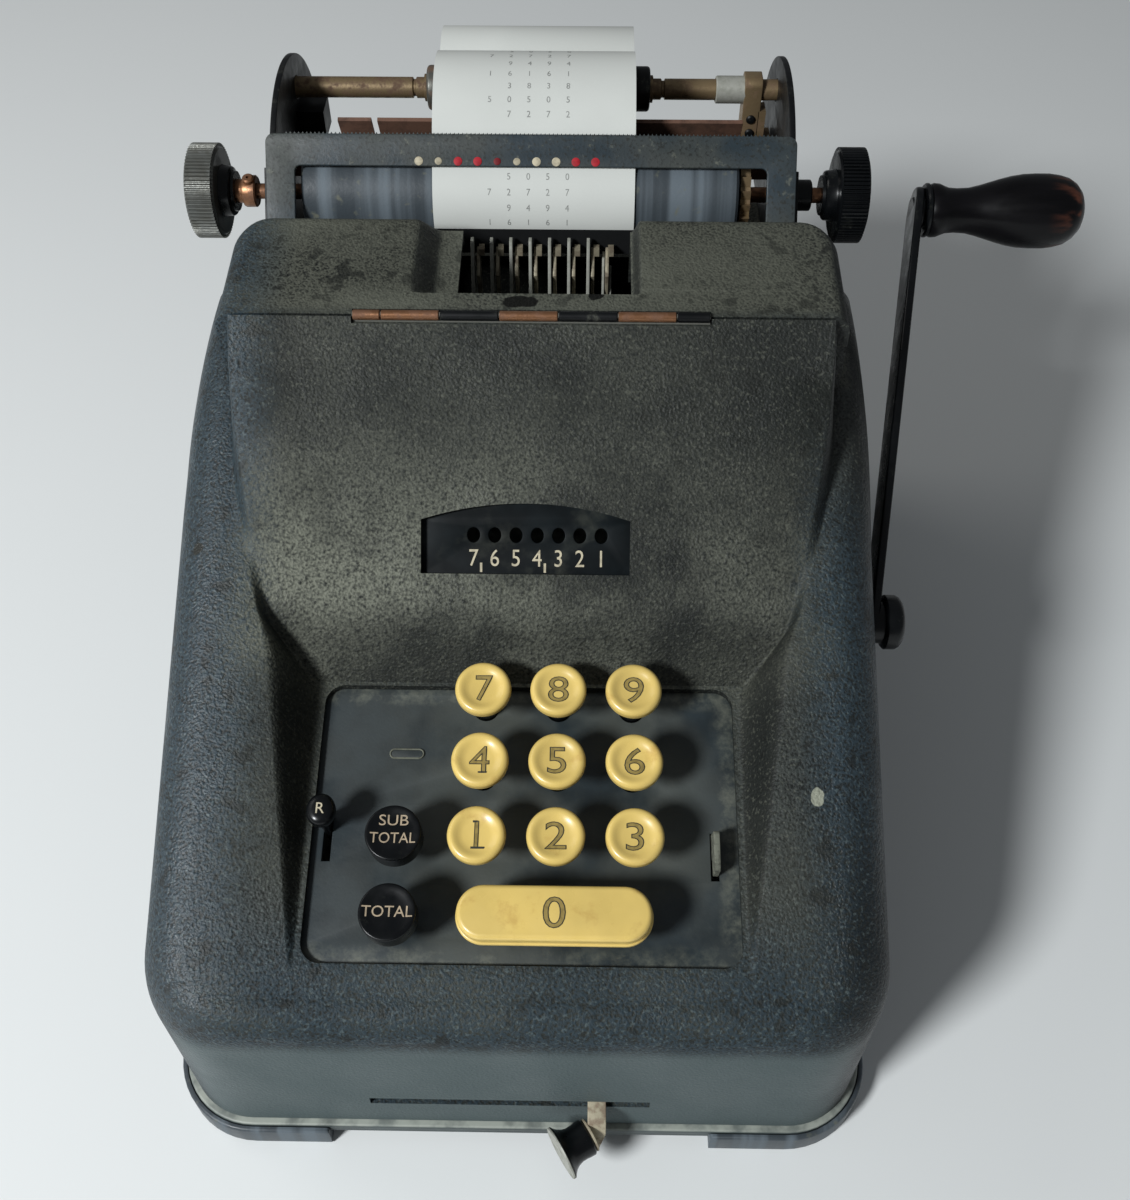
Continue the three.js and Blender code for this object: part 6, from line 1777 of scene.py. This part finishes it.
def spindles():
    for hand, side, body, rod_finish in (
        (-1, "left", "machine", "rusty_rod"), (1, "right", "spindle_right", "brass")
    ):
        face = PAPER_WIDTH / 2 + 1.5 * GAP
        ear = CARRIAGE_HALF + FRAME_SHEET + 2.2
        end = ear + hand * (CARRIAGE_X - PAPER_X)
        rim, rod, wide = FLANGE_RADIUS, SPINDLE_RADIUS, FLANGE_WIDTH
        boss, tip, back = SPINDLE_BOSS_RADIUS, face - SPINDLE_BOSS, face + wide
        flange = [(0, tip), (boss - 1, tip), (boss, tip + 1.5), (boss, face)]
        flange += [(rim - 0.6, face), *arc((rim - 0.6, face + 0.6), 0.6, -90, 0, 4), (rim, back - 1)]
        flange += [*arc((rim - 1, back - 1), 1, 0, 90, 4), (0, back)]
        groove = back + 3.4
        shaft = [(0, back - 0.5), (rod + 0.9, back - 0.5), (rod + 0.9, back + 0.9), (rod, back + 1.1)]
        shaft += [(rod, groove), (rod - 0.6, groove + 0.3), (rod - 0.6, groove + 0.9), (rod, groove + 1.2)]
        shaft += [(rod, end - 0.6), (rod - 0.6, end), (0, end)]
        place = along_x(PAPER_X, ROLL_Y, ROLL_Z, hand)
        rim_finish = "dull_steel" if side == "left" else "worn_black"
        pieces = [
            painted(turned("flange", flange, 48, place), rim_finish),
            painted(turned("rod", shaft, 40, place), rod_finish)
        ]
        finished(joined("roll_spindle_rod_" + side, pieces), None, body, "roll_spindle_" + side)


def spindle_bracket():
    ear = CARRIAGE_X + CARRIAGE_HALF - GAP
    post = ear - 4.4
    bush = post - BRACKET_WIDTH
    half = 4
    y, z = ROLL_Y, ROLL_Z
    foot = z - BRACKET_DROP
    bore = SPINDLE_RADIUS + GAP
    upright = [
        (y - half, foot), (y + half, foot), (y + half, z + 2),
        *arc((y + half - 2.4, z + half - 1.6), 2.4, 0, 90, 5)
    ]
    upright += [*arc((y - half + 2.4, z + half - 1.6), 2.4, 90, 180, 5)]
    pieces = [plate("post", [upright, circle(y, z, bore)], post - BRACKET_WIDTH, post, beside(0), bevel=0.3)]
    pieces.append(block("foot", post - 1, ear, y - half, y + half, foot, foot + 3))
    pieces.append(block("lug", post - 0.5, ear - 2.6, y - half, y + half - 2, foot, z - 5))
    sleeve = [
        (bore, 0), (BUSH_RADIUS - 0.3, 0), (BUSH_RADIUS, 0.3), (BUSH_RADIUS, BUSH_LENGTH + 0.5),
        (bore, BUSH_LENGTH + 0.5), (bore, 0)
    ]
    sleeve = painted(turned("sleeve", sleeve, 40, along_x(bush - BUSH_LENGTH, y, z)), "sleeve")
    for piece in pieces:
        painted(piece, "brass")
    screws = []
    for up in (-12, -7.5):
        seat = at(post - BRACKET_WIDTH / 2, y - half + 0.1, z + up) @ Matrix.Rotation(math.pi / 2, 4, "X")
        screw = turned("screw", [(0, 0), (1.4, 0), (1.4, 0.5), (1.0, 0.9), (0, 1)], 20, seat)
        screws.append(painted(screw, "worn_black"))
    finished(joined("roll_bracket", pieces + [sleeve] + screws), None, "machine", "spindle_bracket")


# Type works
def type_works():
    front = TYPE_BAR_BACK_Y - TYPE_BAR_DEPTH
    top = TYPE_BAR_TOP_Z
    back = TYPE_BAR_BACK_Y
    names = ["%d" % (i + 1) for i in range(7)] + ["symbol"]
    for i, name in enumerate(names):
        x = SYMBOL_BAR_X if name == "symbol" else TYPE_LEFT_X + (6 - i) * TYPE_PITCH
        outline = [
            (front, TYPE_BAR_FOOT_Z), (back, TYPE_BAR_FOOT_Z), (back, top - 9), (back + 0.2, top - 8),
            (back + 0.2, top)
        ]
        outline += [(front + 1.4, top - 1.5), (front - 1.5, top - 6), (front, top - 10)]
        bar = plate(
            "type_bar", [outline], x - 0.4 - TYPE_BAR_WIDTH / 2, x - 0.4 + TYPE_BAR_WIDTH / 2, beside(0),
            bevel=0.15
        )
        head = block("type", x - 0.2, x + 1.4, back - 2.6, back + 0.2, top - 1.2, top + 0.9)
        body = "type_bar_%s_body" % name
        finished(joined("printing_bar", [bar, head]), "old_brass", body, "type_bar_" + name)
    bar_front = back + GAP
    low = bar_front - COMB_DEPTH
    fin = [(low + 3, COMB_BAR_Z), (bar_front + 1, COMB_BAR_Z), (bar_front + 1, COMB_TOP_Z - 12)]
    fin += [(bar_front - 0.6, FIN_TOP_Z), (bar_front - 2.6, FIN_TOP_Z), (low, FIN_TOP_Z - 16)]
    x = TYPE_LEFT_X - COMB_OFFSET + 0.6
    fin = plate("fin", [fin], x - COMB_FIN / 2, x + COMB_FIN / 2, beside(0), bevel=0.12)
    fins = painted(
        repeated(fin, "row_of_copies", "sleeve", Count=7, Step=(TYPE_PITCH * 1.008 * MM, 0, 0)), "sleeve"
    )
    short = []
    for i, drop in ((7, 4.5), (7.38, 9)):
        outline = [
            (low + 3, COMB_BAR_Z), (bar_front - 0.6, COMB_BAR_Z), (bar_front - 0.6, FIN_TOP_Z - drop),
            (low + 2, FIN_TOP_Z - 16 - drop)
        ]
        fin_x = x + (i - 0.15) * TYPE_PITCH
        short.append(
            painted(plate("short_fin", [outline], fin_x - 0.35, fin_x + 0.35, beside(0), bevel=0.1), "sleeve")
        )
    rail = painted(
        block(
            "rail", -FRAME_X + GAP, FRAME_X - GAP, bar_front, bar_front + COMB_BAR_DEPTH, COMB_BAR_Z,
            COMB_BAR_Z + COMB_BAR_HEIGHT
        ),
        "worn_black"
    )
    finished(joined("type_guide", [fins, rail, *short]), None, "machine", "type_guide_comb")


def ribbon():
    """The inked ribbon, from spool to spool past the type."""
    low, high = 147.2, 155.0
    bend_x, print_y = 60.0, TYPE_BAR_BACK_Y + 1.2
    rows = []
    for share in [i / 12 for i in range(13)]:
        x = mix(SPOOL_X + SPOOL_CORE_RADIUS, bend_x, share)
        y = mix(SPOOL_Y, print_y, share)
        z = mix(SPOOL_MIDDLE_Z - (high - low) / 2, low, ease(0, 1, share))
        rows.append((x, y, z))
    path = [(-x, y, z) for x, y, z in rows] + [(x, y, z) for x, y, z in rows[::-1]]
    vertices, faces = [], []
    for x, y, z in path:
        vertices += [(x, y, z), (x, y, z + high - low), (x, y + 0.2, z + high - low), (x, y + 0.2, z)]
    for i in range(len(path) - 1):
        faces += [(4 * i + k, 4 * i + 4 + k, 4 * i + 4 + (k + 1) % 4, 4 * i + (k + 1) % 4) for k in range(4)]
    last = 4 * len(path) - 4
    faces += [(0, 1, 2, 3), (last + 3, last + 2, last + 1, last)]
    finished(mesh_piece("inked_ribbon", vertices, faces), "ribbon_cloth", "machine")


def inner_works():
    repainted("worn_black", "side_frame_left", "side_frame_right")
    repainted("steel", "pin_carriage_rail", "ribbon_spool_left", "ribbon_spool_right", "crank_shaft")
    repainted("brass", "pin_carriage")


# Crank
def crank():
    def along_crank(place):
        tilt = Matrix.Rotation(CRANK_ANGLE, 4, "X")
        return at(0, CRANK_Y, CRANK_Z) @ tilt @ place

    hub_x = BODY_HALF + 1.6
    eye_x = hub_x + CRANK_HUB_WIDTH / 2 + CRANK_LEAN
    low_x, high_x = BODY_HALF + 0.4 + CRANK_SHEET / 2, eye_x - 0.9
    outline = arc((0, 0), CRANK_HUB_RADIUS - 1.2, 90, 270, 16)
    outline += arc((CRANK_LENGTH, 0), CRANK_EYE_RADIUS, -90, 90, 16)
    lean = Matrix.Identity(4)
    lean[0][1] = (high_x - low_x) / CRANK_LENGTH
    middle = at(low_x, 0, 0)
    flat = plate(
        "arm", [outline], -CRANK_SHEET / 2, CRANK_SHEET / 2, along_crank(middle @ lean @ beside(0)),
        bevel=0.7, steps=4
    )
    r, n = CRANK_HUB_RADIUS + 0.4, CRANK_HUB_WIDTH
    bore = CRANK_SHAFT_RADIUS + GAP
    depth = n - 2.4 + GAP
    out = n + 2.2
    cap = [
        (bore, 0), (r - 1.6, 0), (r - 1.6, n - 3), (r - 0.6, n - 2.8), (r, n - 2.2), (r, out - 1.8),
        (r - 0.5, out - 0.8)
    ]
    cap += [(r - 1.6, out), (2.6, out), (2.4, out - 0.5), (0, out - 0.5)]
    cap += [(0, depth), (bore, depth), (bore, 0)]
    hub = turned("hub", cap, 56, along_crank(along_x(hub_x, 0, 0)))
    stud = turned(
        "stud", cylinder(STUD_RADIUS, 0, GRIP_LENGTH - 5), 24, along_crank(along_x(eye_x, CRANK_LENGTH, 0))
    )
    seat_end = CRANK_SEAT + 0.3
    boss = [
        (0, -2.2), (3.4, -2.2), (3.8, -1.8), (3.8, 0), (6, 0), (6, seat_end - 0.6), (5.4, seat_end),
        (0, seat_end)
    ]
    boss = turned("stud_head", boss, 40, along_crank(along_x(eye_x, CRANK_LENGTH, 0)))
    finished(joined("crank_lever", [flat, hub, stud, boss]), "black_steel", "crank", "crank_arm")

    start = eye_x + seat_end + GAP
    place = along_crank(along_x(start, CRANK_LENGTH, 0))
    bore = STUD_RADIUS + GAP
    ring, wide = FERRULE_RADIUS + 0.1, FERRULE_WIDTH / 2
    end = GRIP_LENGTH + CRANK_SHEET_AT_GRIP / 2 - 0.3
    ferrule = chamfered(bore, ring, wide, 0.5) + [(bore, 0)]
    ferrule = painted(turned("ferrule", ferrule, 56, place), "black_steel")
    neck, belly = GRIP_NECK_RADIUS, GRIP_RADIUS
    swell = [
        (wide, ring - 0.4), (wide + 1, ring), (wide + 2.6, ring - 0.1), (wide + 4, ring - 0.7),
        (wide + 5.4, neck + 0.2), (9.5, neck)
    ]
    swell += [
        (13, neck + 0.2), (16, neck + 0.9), (19, neck + 1.8), (22, neck + 2.7), (25, neck + 3.5),
        (28.5, belly - 0.2), (32, belly)
    ]
    swell += [
        (36, belly), (39, belly - 0.4), (41.5, belly - 1.1), (43.6, belly - 2.4), (45.2, belly - 4.2),
        (46.2, belly - 6.4)
    ]
    swell += [(46.7, belly - 8.8)]
    depth = GRIP_LENGTH - 4.7
    wood = [(bore, wide), *((radius, height) for height, radius in swell)]
    wood += [(0, end), (0, depth), (bore, depth), (bore, wide)]
    wood = painted(turned("wood", wood, 64, place), "dark_wood")
    finished(joined("turned_grip", [ferrule, wood]), None, "grip", "crank_grip")


# Stage
def stage(sizes):
    half = 3.0
    floor = bpy.data.meshes.new("floor")
    floor.from_pydata(
        [(-half, -half, 0), (half, -half, 0), (half, half, 0), (-half, half, 0)], [], [(0, 1, 2, 3)]
    )
    cloth = linked("floor", floor)
    cloth.data.materials.append(FINISHES["floor_cloth"])

    world = bpy.data.worlds.new("studio")
    bpy.context.scene.world = world
    world.use_nodes = True
    sky = world.node_tree.nodes["Background"].inputs
    sky["Color"].default_value = (0.9, 0.95, 1.0, 1)
    sky["Strength"].default_value = sizes.sky

    lamp("window_light", (-0.86, -0.86, 1.0), (0, 0, 0.08), 0.3, sizes.window_light, (0.95, 0.98, 1.0))
    lamp("ceiling_light", (-1.2, 0.5, 1.2), (0, 0, 0.08), 0.8, sizes.window_light * 0.12, (1.0, 0.98, 0.95))

    camera = bpy.data.cameras.new("camera")
    camera.lens = CAMERA_LENS
    camera.clip_start = 0.01
    holder = linked("camera", camera)
    yaw, pitch, roll = (math.radians(a) for a in (CAMERA_YAW, CAMERA_PITCH, CAMERA_ROLL))
    forward = Vector((math.sin(yaw) * math.cos(pitch), math.cos(yaw) * math.cos(pitch), -math.sin(pitch)))
    level = Vector((math.cos(yaw), -math.sin(yaw), 0))
    upright = level.cross(forward)
    right = math.cos(roll) * level + math.sin(roll) * upright
    up = -math.sin(roll) * level + math.cos(roll) * upright
    turn = Matrix((right, up, -forward)).transposed().to_4x4()
    holder.matrix_world = Matrix.Translation(ORIGIN + Vector(CAMERA_PLACE) * MM) @ turn
    bpy.context.scene.camera = holder
    bpy.context.scene.view_settings.view_transform = "Standard"


def lamp(name, place, target, size, power, colour):
    light = bpy.data.lights.new(name, "AREA")
    light.shape = "DISK"
    light.size = size
    light.energy = power
    light.color = colour
    holder = linked(name, light)
    holder.location = place
    holder.rotation_euler = (Vector(target) - Vector(place)).to_track_quat("-Z", "Y").to_euler()


# What a user can change
def swatch(name, red, green, blue, description):
    """A colour as the eye sees it, from 0 to 255, kept in Blender's linear values."""
    linear = [((c / 255 + 0.055) / 1.055) ** 2.4 if c > 10 else c / 255 / 12.92 for c in (red, green, blue)]
    return FloatVectorProperty(
        name=name, description=description, default=linear, size=3, min=0, max=1, subtype="COLOR"
    )


class MachineSizes(bpy.types.PropertyGroup):
    """Sizes of the finishing detail."""

    wrinkle: FloatProperty(
        name="Wrinkle", description="Width of one wrinkle in the paint, in millimetres", default=0.8,
        min=0.2, max=5
    )
    dust: FloatProperty(
        name="Dust", description="How much dust lies on the machine", default=0.75, min=0, max=1,
        subtype="FACTOR"
    )
    tooth: FloatProperty(
        name="Tooth pitch", description="Pitch of the tear bar's teeth, in millimetres", default=1.15,
        min=0.8, max=5
    )
    knob_ridges: IntProperty(
        name="Knob ridges", description="Ridges round each platen knob", default=72, min=12, max=90
    )
    window_light: FloatProperty(
        name="Window light", description="Power of the main light", default=24, min=0, subtype="POWER"
    )
    sky: FloatProperty(
        name="Sky", description="Strength of the light from all round", default=0.15, min=0, max=5
    )


class MachineColours(bpy.types.PropertyGroup):
    """Colours of the machine's finishes."""

    crackle: swatch("Crackle paint", 60, 64, 61, "Wrinkle-finish paint on the casing and cover")
    brow: swatch("Brow", 42, 54, 61, "The casing's paint where it turns over the front edge")
    front_wall: swatch("Front wall", 76, 87, 88, "Smooth paint on the front wall and the base")
    dust: swatch("Dust", 112, 114, 102, "Dust and worn paint")
    panel: swatch("Panel", 40, 49, 53, "Paint on the keyboard panel and the window plate")
    cream: swatch("Cream", 226, 196, 112, "Digit keys")
    grime: swatch("Grime", 172, 128, 60, "Stains on the digit keys")
    black: swatch("Black", 10, 12, 14, "Black keys, knobs and enamel")
    rubber: swatch("Rubber", 78, 86, 92, "Platen and feet")
    steel: swatch("Steel", 150, 150, 142, "Plain steel")
    brass: swatch("Brass", 142, 122, 92, "Dull brass")
    copper: swatch("Copper", 140, 100, 72, "Copper-coloured plating")
    rust: swatch("Rust", 88, 64, 52, "Rusted steel")
    paper: swatch("Paper", 207, 209, 204, "Tape and roll")
    wood: swatch("Wood", 13, 12, 14, "Lacquered grip")
    bare_wood: swatch("Bare wood", 96, 56, 42, "The grip where its lacquer has gone")
    lettering: swatch("Lettering", 196, 186, 160, "Letters and figures on dark pieces")
    red: swatch("Red", 172, 32, 44, "Red column dots")
    floor: swatch("Floor", 233, 235, 234, "Cloth under the machine")


# Operators
class ADDING_MACHINE_OT_finishes(bpy.types.Operator):
    """Mix every finish from the panel's colours and sizes"""

    bl_idname = "adding_machine.finishes"
    bl_label = "Mix Finishes"

    def execute(self, context):
        mix_finishes(context.scene)
        return {"FINISHED"}


class ADDING_MACHINE_OT_stage(bpy.types.Operator):
    """Set up the floor, the light and the camera"""

    bl_idname = "adding_machine.stage"
    bl_label = "Stage"

    def execute(self, context):
        stage(context.scene.machine_sizes)
        return {"FINISHED"}


class ADDING_MACHINE_OT_casing(bpy.types.Operator):
    """Build the pressed casing"""

    bl_idname = "adding_machine.casing"
    bl_label = "Casing"

    def execute(self, context):
        casing()
        return {"FINISHED"}


class ADDING_MACHINE_OT_base(bpy.types.Operator):
    """Build the base pan and its rubber feet"""

    bl_idname = "adding_machine.base"
    bl_label = "Base"

    def execute(self, context):
        base_and_feet()
        return {"FINISHED"}


class ADDING_MACHINE_OT_cover(bpy.types.Operator):
    """Build the ribbon cover and its hinge"""

    bl_idname = "adding_machine.cover"
    bl_label = "Cover"

    def execute(self, context):
        cover()
        hinge_leaves()
        return {"FINISHED"}


class ADDING_MACHINE_OT_panel(bpy.types.Operator):
    """Build the keyboard panel"""

    bl_idname = "adding_machine.panel"
    bl_label = "Keyboard Panel"

    def execute(self, context):
        keyboard_panel()
        return {"FINISHED"}


class ADDING_MACHINE_OT_window(bpy.types.Operator):
    """Build the window plate with its figures"""

    bl_idname = "adding_machine.window"
    bl_label = "Window"

    def execute(self, context):
        window_and_digits()
        return {"FINISHED"}


class ADDING_MACHINE_OT_digit_keys(bpy.types.Operator):
    """Build the ten digit keys"""

    bl_idname = "adding_machine.digit_keys"
    bl_label = "Digit Keys"

    def execute(self, context):
        digit_keys()
        return {"FINISHED"}


class ADDING_MACHINE_OT_function_keys(bpy.types.Operator):
    """Build the total keys and the two levers"""

    bl_idname = "adding_machine.function_keys"
    bl_label = "Function Keys"

    def execute(self, context):
        function_keys()
        return {"FINISHED"}


class ADDING_MACHINE_OT_front_lever(bpy.types.Operator):
    """Build the lever in the front wall"""

    bl_idname = "adding_machine.front_lever"
    bl_label = "Front Lever"

    def execute(self, context):
        front_lever()
        return {"FINISHED"}


class ADDING_MACHINE_OT_carriage(bpy.types.Operator):
    """Build the carriage ends, tear bar and paper guide"""

    bl_idname = "adding_machine.carriage"
    bl_label = "Carriage"

    def execute(self, context):
        carriage_ends()
        tear_bar(context.scene.machine_sizes)
        paper_guide()
        return {"FINISHED"}


class ADDING_MACHINE_OT_platen(bpy.types.Operator):
    """Build the platen, its rod and its knobs"""

    bl_idname = "adding_machine.platen"
    bl_label = "Platen"

    def execute(self, context):
        platen(context.scene.machine_sizes)
        return {"FINISHED"}


class ADDING_MACHINE_OT_paper(bpy.types.Operator):
    """Build the paper roll and the printed tape"""

    bl_idname = "adding_machine.paper"
    bl_label = "Paper"

    def execute(self, context):
        paper_roll()
        paper_tape()
        return {"FINISHED"}


class ADDING_MACHINE_OT_spindles(bpy.types.Operator):
    """Build the roll's spindles and their bracket"""

    bl_idname = "adding_machine.spindles"
    bl_label = "Roll Spindles"

    def execute(self, context):
        spindles()
        spindle_bracket()
        return {"FINISHED"}


class ADDING_MACHINE_OT_type_works(bpy.types.Operator):
    """Build the type bars and guides, and finish the inner works"""

    bl_idname = "adding_machine.type_works"
    bl_label = "Type Works"

    def execute(self, context):
        type_works()
        ribbon()
        inner_works()
        return {"FINISHED"}


class ADDING_MACHINE_OT_crank(bpy.types.Operator):
    """Build the crank and its turned grip"""

    bl_idname = "adding_machine.crank"
    bl_label = "Crank"

    def execute(self, context):
        crank()
        return {"FINISHED"}


PIECES = (
    ADDING_MACHINE_OT_finishes,
    ADDING_MACHINE_OT_stage,
    ADDING_MACHINE_OT_casing,
    ADDING_MACHINE_OT_base,
    ADDING_MACHINE_OT_cover,
    ADDING_MACHINE_OT_panel,
    ADDING_MACHINE_OT_window,
    ADDING_MACHINE_OT_digit_keys,
    ADDING_MACHINE_OT_function_keys,
    ADDING_MACHINE_OT_front_lever,
    ADDING_MACHINE_OT_carriage,
    ADDING_MACHINE_OT_platen,
    ADDING_MACHINE_OT_paper,
    ADDING_MACHINE_OT_spindles,
    ADDING_MACHINE_OT_type_works,
    ADDING_MACHINE_OT_crank,
)


class VIEW3D_PT_adding_machine(bpy.types.Panel):
    """The machine's colours, sizes and pieces"""

    bl_label = "Adding Machine"
    bl_space_type = "VIEW_3D"
    bl_region_type = "UI"
    bl_category = "Adding Machine"

    def draw(self, context):
        for group in (context.scene.machine_sizes, context.scene.machine_colours):
            for name in group.__annotations__:
                self.layout.prop(group, name)
        for piece in PIECES:
            self.layout.operator(piece.bl_idname)


CLASSES = (MachineSizes, MachineColours, *PIECES, VIEW3D_PT_adding_machine)


def register():
    for each in CLASSES:
        bpy.utils.register_class(each)
    bpy.types.Scene.machine_sizes = PointerProperty(type=MachineSizes)
    bpy.types.Scene.machine_colours = PointerProperty(type=MachineColours)


def unregister():
    del bpy.types.Scene.machine_colours
    del bpy.types.Scene.machine_sizes
    for each in reversed(CLASSES):
        bpy.utils.unregister_class(each)


def main():
    register()
    for piece in PIECES:
        getattr(bpy.ops.adding_machine, piece.bl_idname.split(".")[1])()


if __name__ == "__main__":
    main()
